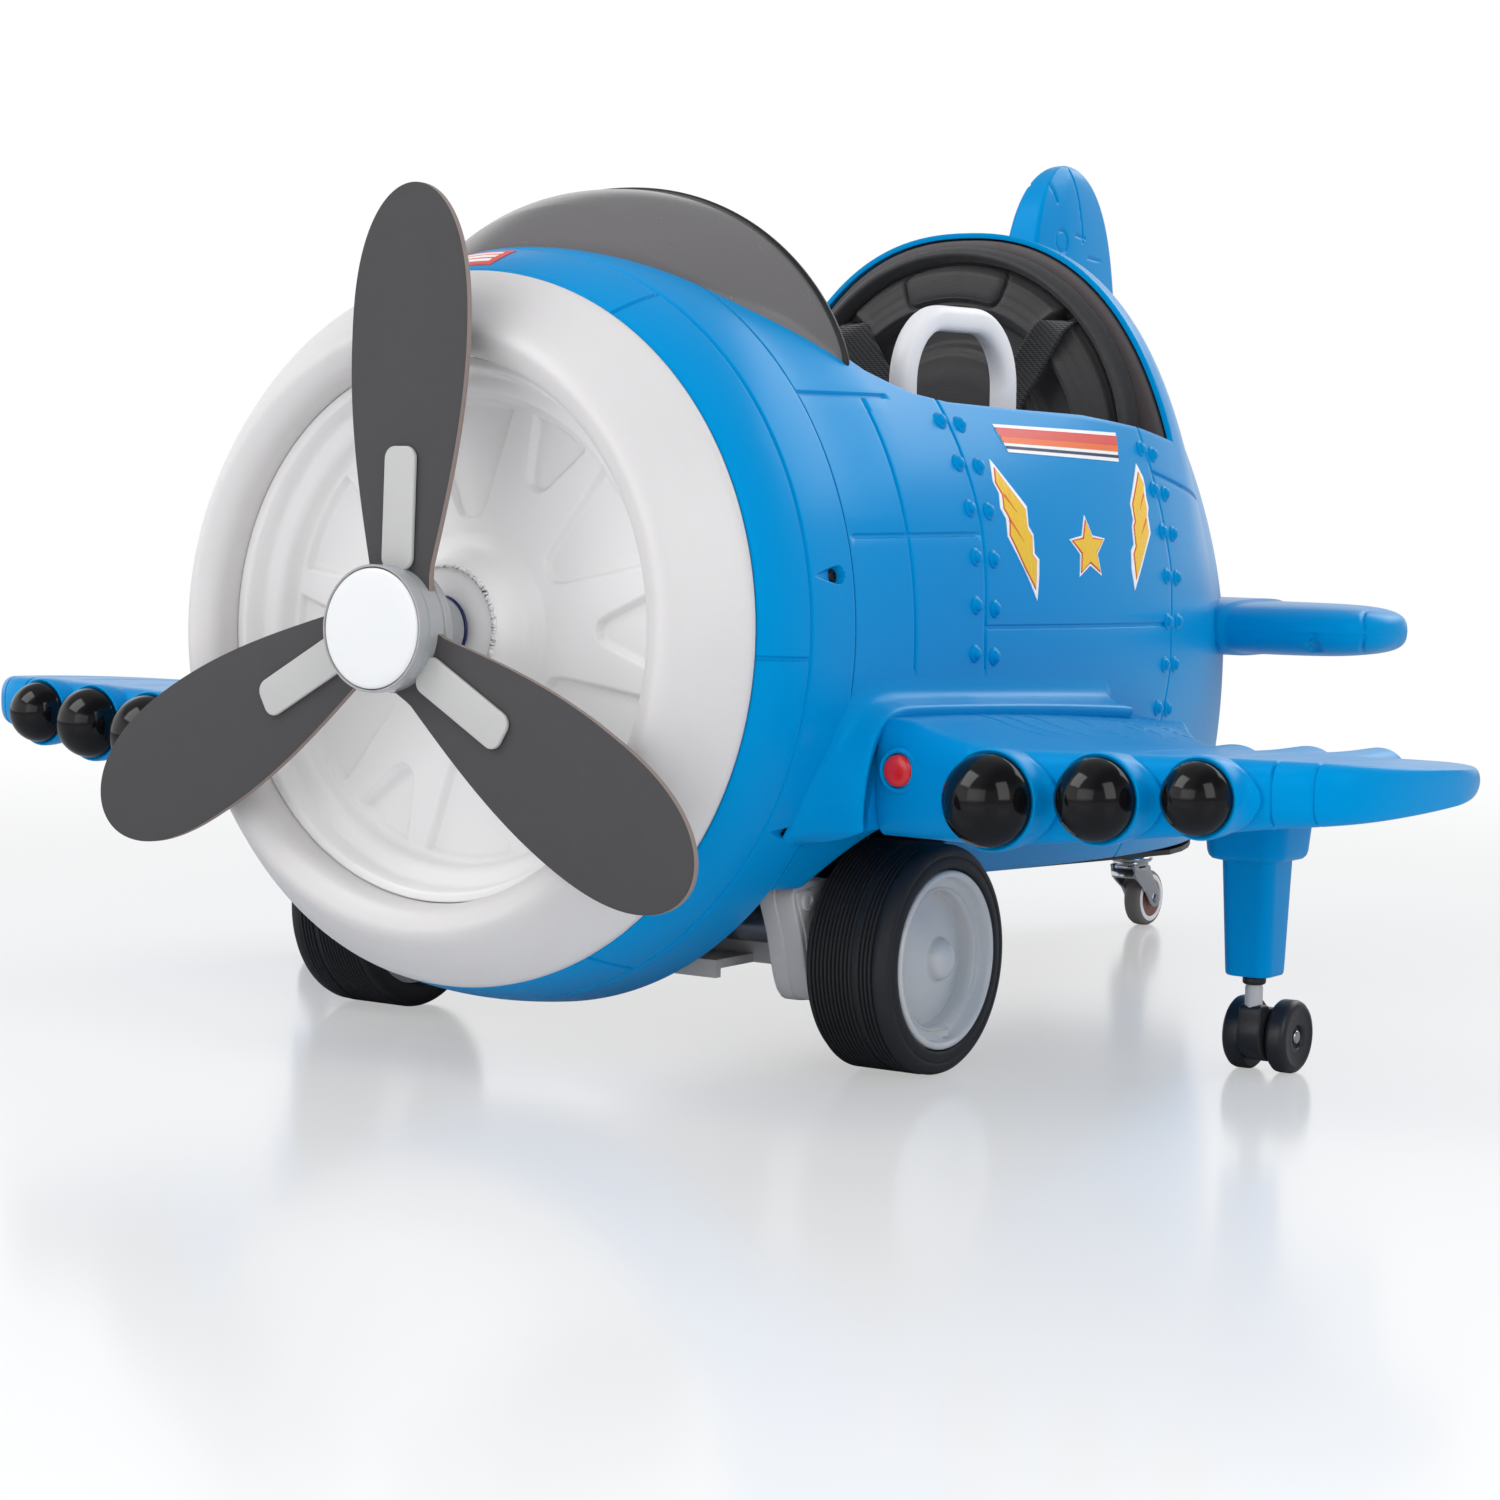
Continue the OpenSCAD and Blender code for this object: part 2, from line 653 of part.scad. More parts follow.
// Belt: two straps from the slots in the backrest down to the buckle on the cushion
belt_x = 84;
belt_w = 28;
buckle_w = 46;
buckle_y = box_y0 + 92;
module belt_webbing() {
    z1 = slot_z + 4;
    z0 = seat_h + 10;
    y = back_y - 27.8;
    color(black) for (side = [left, right]) on_side(side) union() {
        in_back_plane(y, y + 1.5) polygon([
            [belt_x - belt_w / 2, z1], [belt_x + belt_w / 2, z1], [buckle_w / 2 + gap + belt_w, z0], [buckle_w / 2 + gap, z0]
        ]);
        translate([belt_x - belt_w / 2, y, z1 - 1.5]) cube([belt_w, back_y + wall + 20 - y, 1.5]);
        translate([buckle_w / 2 + gap, buckle_y + 6, z0 - 1.5]) cube([belt_w, y + 1.5 - buckle_y - 6, 1.5]);
    }
}
module belt_buckle() {
    color(black) translate([-buckle_w / 2, buckle_y, seat_h + 2]) cube([buckle_w, 40, 12]);
}

// Instrument panel under the windscreen, hidden in most views
dash_y = tub_y0 + 4;
dash_z0 = lever_pivot_h - 22;
dash_z1 = sill_h - 6;
module on_dash(x, z) {
    translate([x, dash_y, z]) children();
}
switch_x = -70;
horn_x = 70;
music_x = 108;
button_z = sill_h - 50;
button_r = 9;
switch_r = 9.5;
module dash_panel() {
    n = 8;
    side = [for (k = [0:n]) let (z = mix(dash_z0, dash_z1, k / n)) [skin_x(dash_y, z, shell_wall + 1.3), z]];
    color(black) difference() {
        in_back_plane(dash_y, dash_y + wall) polygon(concat(
            side, [for (k = [n:-1:0]) [-side[k][0], side[k][1]]]
        ));
        for (x = [horn_x, music_x]) on_dash(x, button_z) rod_y(button_r + gap, -1, wall + 1);
        on_dash(switch_x, button_z) translate([-12 - gap, -1, -switch_r - gap])
            cube([24 + 2 * gap, wall + 2, 2 * switch_r + 2 * gap]);
    }
}
module horn_button() {
    color(red) on_dash(horn_x, button_z) rod_y(button_r, -10, wall + 4);
}
module music_button() {
    color("gold") on_dash(music_x, button_z) rod_y(button_r, -10, wall + 4);
}
module power_switch() {
    color(black) on_dash(switch_x, button_z) translate([0, wall / 2, 0]) intersection() {
        rod_x(switch_r, -12, 12);
        translate([-13, -switch_r + 2.5, -20]) cube([26, 2 * switch_r - 5, 40]);
    }
}
// Belly tray with the keel box that stands on the axle beam
tray_drop = 8;
tray_x = 146;
tray_y0 = 118;
tray_y1 = body_len - 61;
rib_y = tray_y1 - 84;
beam_top = tyre_r + 14;
module chassis_plate() {
    n = 18;
    plan = [for (k = [0:n]) let (y = mix(tray_y0, tray_y1, k / n))
        [min(tray_x, skin_x(y, belly_z(y) + 10, shell_wall + 2)), y]];
    color(black) union() {
        intersection() {
            translate([0, 0, 40]) linear_extrude(120)
                polygon(concat(plan, [for (k = [n:-1:0]) [-plan[k][0], plan[k][1]]]));
            side_plate(-200, 200) polygon([
                [100, belly_z(100) - tray_drop], [100, belly_z(100) - tray_drop + 4],
                [body_len, belly_z(body_len) - tray_drop + 4], [body_len, belly_z(body_len) - tray_drop]
            ]);
        }
        difference() {
            translate([-90, 140, beam_top + gap]) cube([180, 110, belly_z(140) - beam_top - tray_drop]);
            translate([-86, 144, beam_top + gap + 4]) cube([172, 102, 60]);
        }
        for (y = [300, 560], x = [-100, 100])
            translate([x, y, belly_z(y) - tray_drop + 2]) cylinder(r = 9, h = floor_z - gap - belly_z(y) + tray_drop - 2);
        side_plate(-70, 70) polygon([
            [rib_y, belly_z(rib_y) - tray_drop + 2], [rib_y, belly_z(rib_y) + 40],
            [rib_y + 4, belly_z(rib_y + 4) + 40], [rib_y + 4, belly_z(rib_y + 4) - tray_drop + 2]
        ]);
    }
}

// Axle beam, gearboxes, motors and the fixed axle through both drive wheels
box_in = 156;
wheel_in = track_x - tyre_w / 2;
module axle_beam() {
    color(light_grey) difference() {
        union() {
            translate([gap - box_in, axle_y - 16, tyre_r - 13]) cube([2 * box_in - 2 * gap, 32, 27]);
            translate([-112, 132, tyre_r - 13]) cube([224, axle_y - 132, 6]);
            translate([-112, 132, tyre_r - 19]) cube([224, 6, 12]);
        }
        translate([0, axle_y, tyre_r]) rod_x(axle_r + run, -200, 200);
    }
}
module gearbox_outline() {
    polygon([
        [axle_y - 76, tyre_r + 44], [axle_y - 62, tyre_r + 52], [axle_y - 24, tyre_r + 50],
        [axle_y + 20, tyre_r + 40], [axle_y + 30, tyre_r + 20], [axle_y + 28, tyre_r - 18],
        [axle_y + 14, tyre_r - 30], [axle_y - 36, tyre_r - 31], [axle_y - 50, tyre_r - 26],
        [axle_y - 58, tyre_r - 12], [axle_y - 66, tyre_r + 16]
    ]);
}
module gearbox(side) {
    color(light_grey) on_side(side) difference() {
        union() {
            side_plate(box_in, wheel_in - 8) gearbox_outline();
            translate([0, axle_y, tyre_r]) rod_x(22, wheel_in - 8, wheel_in - 3);
        }
        translate([0, axle_y, tyre_r]) rod_x(axle_r + run, 100, 300);
    }
}
module gearbox_left() {
    gearbox(left);
}
module gearbox_right() {
    gearbox(right);
}
module drive_motors() {
    color(dark_grey) for (side = [left, right]) on_side(side)
        translate([0, axle_y - 38, tyre_r + 21]) rod_x(16, box_in - 52, box_in - gap);
}
module drive_axle() {
    x = track_x + tyre_w / 2 - 14;
    color(steel) translate([0, axle_y, tyre_r]) {
        rod_x(axle_r, -x, x);
    }
}

// Drive tyre with grooves round it, and its hub disc
grooves = 12;
function groove_at(k) = mix(-tyre_w / 2 + 9, tyre_w / 2 - 9, k / (grooves - 1));
module tyre(side) {
    h = tyre_w / 2;
    r = tyre_r;
    tread = [for (k = [0:grooves - 1]) each [
        [r, groove_at(k) - 0.8], [r - 1.6, groove_at(k) - 0.5],
        [r - 1.6, groove_at(k) + 0.5], [r, groove_at(k) + 0.8]
    ]];
    color(black) on_side(side) translate([track_x, axle_y, tyre_r]) rotate([0, 90, 0]) rotate_extrude($fn = 96)
        polygon(concat(
            [[disc_r + gap, -h], [r - 7, -h], [r - 2.5, -h + 2], [r - 0.6, -h + 5]],
            tread,
            [[r - 0.6, h - 5], [r - 2.5, h - 2], [r - 7, h], [disc_r + gap, h]]
        ));
}
module tyre_left() {
    tyre(left);
}
module tyre_right() {
    tyre(right);
}
module wheel_disc(side) {
    h = tyre_w / 2;
    b = axle_r + run;
    color(light_grey) on_side(side) translate([track_x, axle_y, tyre_r]) rotate([0, 90, 0]) rotate_extrude($fn = 96)
        polygon([
            [b, -h], [20, -h], [20, 2], [44, 6], [disc_r - 5, 8], [disc_r - 5, -h + 4], [disc_r, -h + 4],
            [disc_r, h - 1], [disc_r - 4, h + 0.5], [disc_r - 6, h - 4], [disc_r - 12, h - 9],
            [disc_r - 15, h - 16], [15, h - 6], [13, h - 1], [8, h + 1.5], [0, h + 2],
            [0, h - 12], [b, h - 12]
        ]);
}
module wheel_disc_left() {
    wheel_disc(left);
}
module wheel_disc_right() {
    wheel_disc(right);
}

// Wing socket: the raised pad on the body that a wing plugs into
function wing_z(x) = wing_h - 5 + wing_rise * (x - dome_x);
module spigot_hole(d) {
    translate([100, spigot_y0 - d, spigot_z0 - d])
        cube([300, spigot_y1 - spigot_y0 + 2 * d, spigot_z1 - spigot_z0 + 2 * d]);
}
module wing_socket(side) {
    x_in = socket_x - spigot_len - 4;
    color(blue) on_side(side) difference() {
        union() {
            difference() {
                side_plate(socket_x - 56, socket_x) socket_outline(0);
                side_plate(socket_x - 57, socket_x - 6) socket_outline(-5);
            }
            intersection() {
                spigot_hole(gap + 4);
                translate([x_in, 0, 0]) cube([socket_x - x_in, 600, 400]);
            }
        }
        spigot_hole(gap);
    }
}
module wing_socket_left() {
    wing_socket(left);
}
module wing_socket_right() {
    wing_socket(right);
}

// Wing: a swept slab with a thick root block and three engine nacelles
wing_sweep = 0.14;
root_x = socket_x + gap;
dome_gap = 66;
dome_xs = [dome_x, dome_x + dome_gap + 3, dome_x + 2 * dome_gap];
function dome_radius(k) = dome_r - k * dome_step;
function dome_y(k) = 75 + wing_sweep * (dome_xs[k] - dome_x);
function tip_t(x) = max(0, (x - (wing_tip_x - 62)) / 62);
function root_t(x) = max(0, (root_x + 74 - x) / 74);
function lead_y(x) = 88 + wing_sweep * (x - dome_x) + 26 * root_t(x) + 60 * pow(tip_t(x), 2.4);
function trail_y(x) = 425 - 0.42 * (x - 330) + 70 * pow(root_t(x), 1.5) - 50 * pow(tip_t(x), 2.4);
function wing_t(x) = wing_half_t * (1 - 0.42 * ease((x - wing_tip_x + 92) / 92))
    * sqrt(max(0, 1 - pow(tip_t(x), 5))) + 13 * ease(root_t(x));
wing_sides = 28;
function wing_ring(x) = [
    for (i = [0:wing_sides - 1]) let (
        a = 360 * i / wing_sides,
        u = (1 - sgn_pow(cos(a), 0.8)) / 2,
        t = max(wing_t(x), 2) * (1 - 0.6 * u * u)
    ) [x, mix(lead_y(x), trail_y(x), u), wing_z(x) - 2 + 14 * root_t(x) + t * sgn_pow(sin(a), 0.62)]
];
release_x = socket_x + 20;
release_z = wing_h + 7;
leg_pad_z = wing_h - 30;
leg_pad = [60, 60];

// Points of a rectangle w wide and d deep with round corners
function rounded(w, d, r, n = 5) = [
    for (c = [[1, 1, 0], [-1, 1, 90], [-1, -1, 180], [1, -1, 270]], i = [0:n]) [
        c[0] * (w / 2 - r) + r * cos(c[2] + 90 * i / n),
        c[1] * (d / 2 - r) + r * sin(c[2] + 90 * i / n)
    ]
];

module wing(side) {
    stations = concat(
        [for (t = [0, 0.25, 0.5, 0.75, 1]) root_x + 74 * t],
        [for (t = [0.25, 0.5, 0.75, 1]) mix(root_x + 74, wing_tip_x - 62, t)],
        [for (t = [0.35, 0.6, 0.8, 0.93, 0.99]) wing_tip_x - 62 + 62 * t]
    );
    color(blue) on_side(side) resize([wing_tip_x - 0.6 - socket_x + spigot_len, 0, 0]) difference() {
        union() {
            loft([for (x = stations) wing_ring(x)]);
            translate([socket_x - spigot_len, spigot_y0, spigot_z0])
                cube([spigot_len + 12, spigot_y1 - spigot_y0, spigot_z1 - spigot_z0]);
            for (k = [0:2]) translate([dome_xs[k], dome_y(k) + gap, wing_z(dome_xs[k])]) rotate([-90, 0, 0]) {
                cylinder(r1 = dome_radius(k) + 2, r2 = dome_radius(k) + 4, h = 6, $fn = 32);
                translate([0, 0, 6]) cylinder(
                    r1 = dome_radius(k) + 4, r2 = 14, h = trail_y(dome_xs[k]) - dome_y(k) - 20, $fn = 32
                );
            }
            translate([release_x, lead_y(release_x) - 1, release_z]) rotate([-90, 0, 0])
                cylinder(r = release_r + 5, h = 24, $fn = 32);
            translate([leg_x, leg_y, leg_pad_z]) linear_extrude(26) polygon(rounded(leg_pad[0], leg_pad[1], 14));
        }
        translate([release_x, lead_y(release_x) - 2, release_z]) rotate([-90, 0, 0])
            cylinder(r = release_r + gap + 0.2, h = 20, $fn = 48);
    }
}
module wing_left() {
    wing(left);
}
module wing_right() {
    wing(right);
}

module engine_domes(side) {
    color(black) on_side(side) for (k = [0:2]) translate([dome_xs[k], dome_y(k), wing_z(dome_xs[k])])
        intersection() {
            sphere(r = dome_radius(k));
            translate([-50, -100, -50]) cube([100, 100, 100]);
        }
}
module engine_domes_left() {
    engine_domes(left);
}
module engine_domes_right() {
    engine_domes(right);
}

module release_button(side) {
    color(red) on_side(side) translate([release_x, lead_y(release_x) - 4, release_z]) rod_y(release_r, 0, 12);
}
module release_button_left() {
    release_button(left);
}
module release_button_right() {
    release_button(right);
}

// Leg under a wing, with the bore of its caster's stem
stem_r = 4.5;
flange_h = 29;
column_w = 37.5;
module leg(side) {
    color(blue) on_side(side) translate([leg_x, leg_y, 0]) difference() {
        union() {
            translate([0, 0, leg_pad_z - gap - flange_h]) linear_extrude(flange_h)
                polygon(rounded(leg_pad[0], leg_pad[1], 14));
            translate([0, 0, leg_pad_z - gap - flange_h + 2]) rotate([180, 0, 0])
                linear_extrude(leg_pad_z - gap - flange_h + 2 - leg_h, scale = 0.89)
                    polygon(rounded(column_w, column_w, 9, 3));
        }
        translate([0, 0, leg_h - 1]) cylinder(r = stem_r + run, h = 45);
    }
}
module leg_left() {
    leg(left);
}
module leg_right() {
    leg(right);
}

// Twin-wheel caster: stem and body swivel, the wheels turn on their own axle
twin_in = 9;
module caster_body(side) {
    w = twin_in - slack;
    color(light_grey) on_side(side) translate([leg_x, leg_y, 0]) difference() {
        union() {
            translate([0, 0, 26]) cylinder(r = stem_r, h = leg_h + 16);
            translate([0, 0, leg_h - slack - 5]) cylinder(r = 8, h = 5);
            side_plate(-w, w) polygon([
                [-stem_r - 2, 34], [-stem_r - 2, 20], [2, 10], [twin_trail + 8, 10],
                [twin_trail + 15, twin_r], [twin_trail + 8, twin_r + 16], [stem_r + 3, twin_r + 19]
            ]);
        }
        translate([0, twin_trail, twin_r]) rod_x(3 + run, -30, 30);
    }
}
module caster_body_left() {
    caster_body(left);
}
module caster_body_right() {
    caster_body(right);
}
module caster_wheels(side) {
    h = twin_t;
    color(black) on_side(side) translate([leg_x, leg_y + twin_trail, twin_r]) {
        rod_x(3, -twin_in - 1, twin_in + 1);
        for (m = [0, 1]) mirror([m, 0, 0]) translate([twin_in, 0, 0]) rotate([0, 90, 0]) rotate_extrude($fn = 96)
            polygon([
                [0, 0], [twin_r - 2, 0], [twin_r, 2], [twin_r, h - 3], [twin_r - 3, h - 0.6],
                [twin_r - 8, h], [4, h], [4, h + 0.6], [0, h + 0.6]
            ]);
    }
}
module caster_wheels_left() {
    caster_wheels(left);
}
module caster_wheels_right() {
    caster_wheels(right);
}

// Rear caster: boss and race plate on the tail, swivelling fork, wheel
race_z = tail_r + 37;
pin_tail = 5;
tail_base = belly_z(tail_y) - 1;
module tail_mount() {
    plan = [for (k = [0:8]) let (y = mix(tray_y1 + 1, body_len - inner_end - 8, k / 8))
        [max(2, skin_x(y, tail_base, shell_wall + 2)), y]];
    color(blue) difference() {
        union() {
            translate([0, 0, tail_base]) linear_extrude(12)
                polygon(concat(plan, [for (k = [8:-1:0]) [-plan[k][0], plan[k][1]]]));
            translate([0, tail_y, race_z + 4]) cylinder(r = 14, h = tail_base - race_z);
        }
        translate([0, tail_y, race_z]) cylinder(r = pin_tail + run, h = tail_base + 8 - race_z);
    }
}
module tail_fork() {
    w = tail_wheel_w / 2 + slack;
    color(steel) translate([0, tail_y, 0]) {
        translate([0, 0, race_z - 6]) cylinder(r = 15, h = 6);
        translate([0, 0, race_z - 1]) cylinder(r = 19, h = 4 - slack + 1);
        translate([0, 0, race_z]) cylinder(r = pin_tail, h = tail_base + 6 - race_z);
        translate([-w - 2.5, -13, race_z - 9]) cube([2 * w + 5, 24, 4]);
        for (m = [0, 1]) mirror([m, 0, 0]) difference() {
            side_plate(w, w + 2.5) polygon([
                [-13, race_z - 7], [11, race_z - 7], [tail_trail + 6, tail_r + 6], [tail_trail + 7, tail_r - 3],
                [tail_trail + 2, tail_r - 8], [tail_trail - 5, tail_r - 6], [tail_trail - 12, tail_r + 8],
                [-10, race_z - 18], [-13, race_z - 13]
            ]);
            translate([0, tail_trail, tail_r]) rod_x(3 + run, 0, 50);
        }
    }
}
module tail_wheel() {
    h = tail_wheel_w / 2;
    color(dark_grey) translate([0, tail_y + tail_trail, tail_r]) {
        rod_x(3, -h - 6, h + 6);
        rotate([0, 90, 0]) rotate_extrude($fn = 96) polygon([
            [0, -h + 1], [9, -h], [tail_r - 4, -h + 1], [tail_r - 1.5, -h + 2.5], [tail_r, -h + 5],
            [tail_r, h - 5], [tail_r - 1.5, h - 2.5], [tail_r - 4, h - 1], [9, h], [0, h - 1]
        ]);
    }
}

// Fin and tailplanes: paddles with round tips
function paddle(t, c0, c1, l0, l1, w0, w1, tip = 5) = let (
    s = sqrt(1 - pow(t, tip))
) [mix(c0, c1, t), mix(l0, l1, t) / 2 * s, mix(w0, w1, t) / 2 * s];
paddle_ts = [0, 0.3, 0.55, 0.72, 0.84, 0.92, 0.97, 0.995];
function paddle_ring(q, n = 20) = [
    for (i = [0:n - 1]) let (a = 360 * i / n) [q[0] + q[1] * sgn_pow(cos(a), 0.9), q[2] * sgn_pow(sin(a), 0.75)]
];
fin_h = axis_z(fin_y) + rise(fin_y) + fin_up;
fin_base = fin_h - 249;
tailplane_h = 272;
module fin() {
    color(blue) resize([0, 0, 0]) difference() {
        loft([for (t = [paddle_ts[7], paddle_ts[6], paddle_ts[5], paddle_ts[4], paddle_ts[3], paddle_ts[2], paddle_ts[1], 0]) [
            for (p = paddle_ring(paddle(t, fin_y, fin_y, 186, 146, fin_t, fin_t - 12)))
                [p[1], p[0], mix(fin_base, fin_h, t)]
        ]]);
        skin_solid(-2 * gap, hood_y - 20, body_len);
    }
}
module tailplane(side) {
    color(blue) on_side(side) resize([0, 0, 0]) difference() {
        loft([for (t = paddle_ts) [
            for (p = paddle_ring(paddle(t, tailplane_y, tailplane_y + 8, 146, 112, fin_t, fin_t - 4, 10)))
                [mix(90, tailplane_x, t), p[0], tailplane_h + p[1]]
        ]]);
        skin_solid(-2 * gap, hood_y - 20, body_len);
    }
}
module tailplane_left() {
    tailplane(left);
}
module tailplane_right() {
    tailplane(right);
}

// Lever: a round loop on a stem that tilts on the tub's pin
tube_r = 10;
bend_r = 34;
eye_r = pin_r + 9;
module lever(side) {
    half = loop_len / 2 - tube_r;
    top = loop_h - tube_r;
    low = sill_h - 52;
    y0 = lever_y + 7;
    color(light_grey) on_side(side) translate([lever_x, 0, 0]) difference() {
        union() {
            rod_y_at(y0 - half + bend_r, y0 + half - bend_r, top);
            for (m = [-1, 1]) {
                translate([0, y0 + m * half, low]) cylinder(r = tube_r, h = top - bend_r - low);
                translate([0, y0 + m * (half - bend_r), top - bend_r]) rotate([0, 0, m * 90]) rotate([90, 0, 0])
                    rotate_extrude(angle = 90) translate([bend_r, 0]) circle(r = tube_r);
            }
            side_plate(-tube_r + 1, tube_r - 1) polygon([
                [y0 - half - tube_r, low], [y0 - half - tube_r, low + 12], [y0 + half + tube_r, low + 12],
                [y0 + half + tube_r, low], [y0 + half - 6, low - 10], [lever_y + eye_r, lever_pivot_h + 14],
                [lever_y + eye_r, lever_pivot_h], [lever_y - eye_r, lever_pivot_h],
                [lever_y - eye_r, lever_pivot_h + 14], [y0 - half + 6, low - 10]
            ]);
            translate([0, lever_y, lever_pivot_h]) rod_x(eye_r, -16, 12);
        }
        translate([0, lever_y, lever_pivot_h]) rod_x(pin_r + run, -60, 60);
    }
}
module rod_y_at(y0, y1, z) {
    translate([0, 0, z]) rod_y(tube_r, y0, y1);
}
module lever_left() {
    lever(left);
}
module lever_right() {
    lever(right);
}

// Puts the model's middle over the origin
module place() {
    translate([0, -mid_y, 0]) children();
}

place() fuselage_shell();
place() cowl_ring();
place() nose_ring();
place() nose_dish();
place() propeller_motor();
place() windscreen();
place() windscreen_rim();
place() cockpit_tub();
place() seat_cushion();
place() seat_back();
place() seat_bead();
place() backrest_pad();
place() headrest_pad();
place() belt_webbing();
place() belt_buckle();
place() dash_panel();
place() power_switch();
place() horn_button();
place() music_button();
place() battery();
place() control_box();
place() charge_socket();
place() chassis_plate();
place() axle_beam();
place() gearbox_left();
place() gearbox_right();
place() drive_motors();
place() drive_axle();
place() body_screws();
place() fin();
place() tailplane_left();
place() tailplane_right();
place() wing_socket_left();
place() wing_socket_right();
place() tail_mount();
place() propeller_hub();
place() hub_cap();
place() propeller_shaft();
place() propeller_blades();
place() blade_clips();
place() tyre_left();
place() tyre_right();
place() wheel_disc_left();
place() wheel_disc_right();
place() wing_left();
place() wing_right();
place() engine_domes_left();
place() engine_domes_right();
place() leg_left();
place() leg_right();
place() release_button_left();
place() release_button_right();
place() caster_body_left();
place() caster_body_right();
place() caster_wheels_left();
place() caster_wheels_right();
place() tail_fork();
place() tail_wheel();
place() lever_left();
place() lever_right();
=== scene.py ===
# %% [markdown]
# A ride-on toy airplane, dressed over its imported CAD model.
# Every length below is in millimetres, measured from the seam behind the white nose ring,
# as a maker would note them, and one helper turns them into the metres that Blender uses.

# %% Load the frame
import bmesh
import bpy
import math
import numpy as np
from mathutils import Matrix, Vector
from mathutils.geometry import delaunay_2d_cdt


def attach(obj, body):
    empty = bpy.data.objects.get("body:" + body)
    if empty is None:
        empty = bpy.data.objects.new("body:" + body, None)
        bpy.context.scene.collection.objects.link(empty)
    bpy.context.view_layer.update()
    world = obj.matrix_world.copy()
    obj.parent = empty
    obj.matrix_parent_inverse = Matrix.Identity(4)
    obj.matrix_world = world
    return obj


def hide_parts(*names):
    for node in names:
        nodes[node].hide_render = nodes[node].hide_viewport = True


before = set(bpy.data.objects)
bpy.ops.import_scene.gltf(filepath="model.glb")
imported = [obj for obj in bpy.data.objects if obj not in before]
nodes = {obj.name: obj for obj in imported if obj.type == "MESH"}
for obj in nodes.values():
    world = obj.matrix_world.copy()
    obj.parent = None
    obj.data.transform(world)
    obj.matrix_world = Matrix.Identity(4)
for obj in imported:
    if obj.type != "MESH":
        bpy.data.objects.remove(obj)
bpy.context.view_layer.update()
print("CAD nodes:", len(nodes))

# %% [markdown]
# All meshes are made from arrays of points and faces, because the toy is moulded: nearly every
# surface is a smooth sweep or a turned profile, and a formula gives it with no hand placement.
# Welding equal points lets grids be built apart and still shade as one surface.

# %% Mesh helpers
MID_Y = 440.25
WELD = 2e-6
SIDES = (("left", 1), ("right", -1))


def metres(points):
    """Millimetres from the nose seam as metres in the frame of the CAD model."""
    p = np.asarray(points, float).reshape(-1, 3).copy()
    p[:, 1] -= MID_Y
    return p / 1000


def make_mesh(name, points, faces, material, body, replaces=None, sharp=None, slot=None):
    """A smooth welded piece that rides a body, and takes the place of a CAD node where one is named."""
    mesh = bpy.data.meshes.new(name)
    mesh.from_pydata([tuple(p) for p in metres(points)], [], [tuple(int(i) for i in f) for f in faces])
    bm = bmesh.new()
    bm.from_mesh(mesh)
    bmesh.ops.remove_doubles(bm, verts=bm.verts, dist=WELD)
    bmesh.ops.dissolve_degenerate(bm, edges=bm.edges, dist=1e-7)
    bmesh.ops.recalc_face_normals(bm, faces=bm.faces)
    bm.to_mesh(mesh)
    bm.free()
    mesh.polygons.foreach_set("use_smooth", [True] * len(mesh.polygons))
    if sharp:
        mesh.set_sharp_from_angle(angle=math.radians(sharp))
    mesh.update()
    obj = bpy.data.objects.new(name, mesh)
    bpy.context.scene.collection.objects.link(obj)
    mesh.materials.append(material)
    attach(obj, body)
    if replaces:
        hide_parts(replaces)
    return obj


def mirrored(part, side):
    p, f = part
    if side > 0:
        return p, f
    return np.asarray(p, float) * [-1, 1, 1], [face[::-1] for face in f]


def make_pair(name, part, material, body, replaces=None, **look):
    """The same piece left and right. A name that ends in _ gets the name of the side."""
    for label, side in SIDES:
        names = [n + label if n and n.endswith("_") else n for n in (name, body, replaces)]
        make_mesh(names[0], *mirrored(part, side), material, *names[1:], **look)


def grid_faces(rows, cols, closed=False):
    """Four-sided faces between the points of a grid, in rows."""
    r, c = np.meshgrid(np.arange(rows - 1), np.arange(cols if closed else cols - 1), indexing="ij")
    d = (c + 1) % cols
    return np.stack([r * cols + c, r * cols + d, (r + 1) * cols + d, (r + 1) * cols + c], -1).reshape(-1, 4)


def sheet_of(grid):
    """Points and faces of an open grid."""
    return grid.reshape(-1, 3), grid_faces(*grid.shape[:2])


def loft(rings):
    """Points and faces of a solid through closed rings of equal length."""
    rings = np.asarray(rings, float)
    rows, cols = rings.shape[:2]
    faces = [list(f) for f in grid_faces(rows, cols, closed=True)]
    faces.append(list(range(cols)))
    faces.append([(rows - 1) * cols + i for i in range(cols - 1, -1, -1)])
    return rings.reshape(-1, 3), faces


def join(*parts):
    """Several parts as one."""
    points, faces, n = [], [], 0
    for p, f in parts:
        p = np.asarray(p, float).reshape(-1, 3)
        points.append(p)
        faces += [[i + n for i in face] for face in f]
        n += len(p)
    return np.concatenate(points), faces


def smooth_line(points, n, closed=False):
    """A Catmull-Rom curve through the points, n samples a span."""
    p = np.asarray(points, float)
    ext = np.vstack([p[-1], p, p[0], p[1]]) if closed else np.vstack([2 * p[0] - p[1], p, 2 * p[-1] - p[-2]])
    spans = len(p) if closed else len(p) - 1
    out = []
    for i in range(spans):
        a, b, c, d = ext[i:i + 4]
        for t in np.arange(n) / n:
            out.append(0.5 * (2 * b + (c - a) * t + (2 * a - 5 * b + 4 * c - d) * t ** 2
                              + (3 * b - a - 3 * c + d) * t ** 3))
    if not closed:
        out.append(p[-1])
    return np.array(out)


def full_turn(n):
    """n angles, evenly round a circle."""
    return 2 * np.pi * np.arange(n) / n


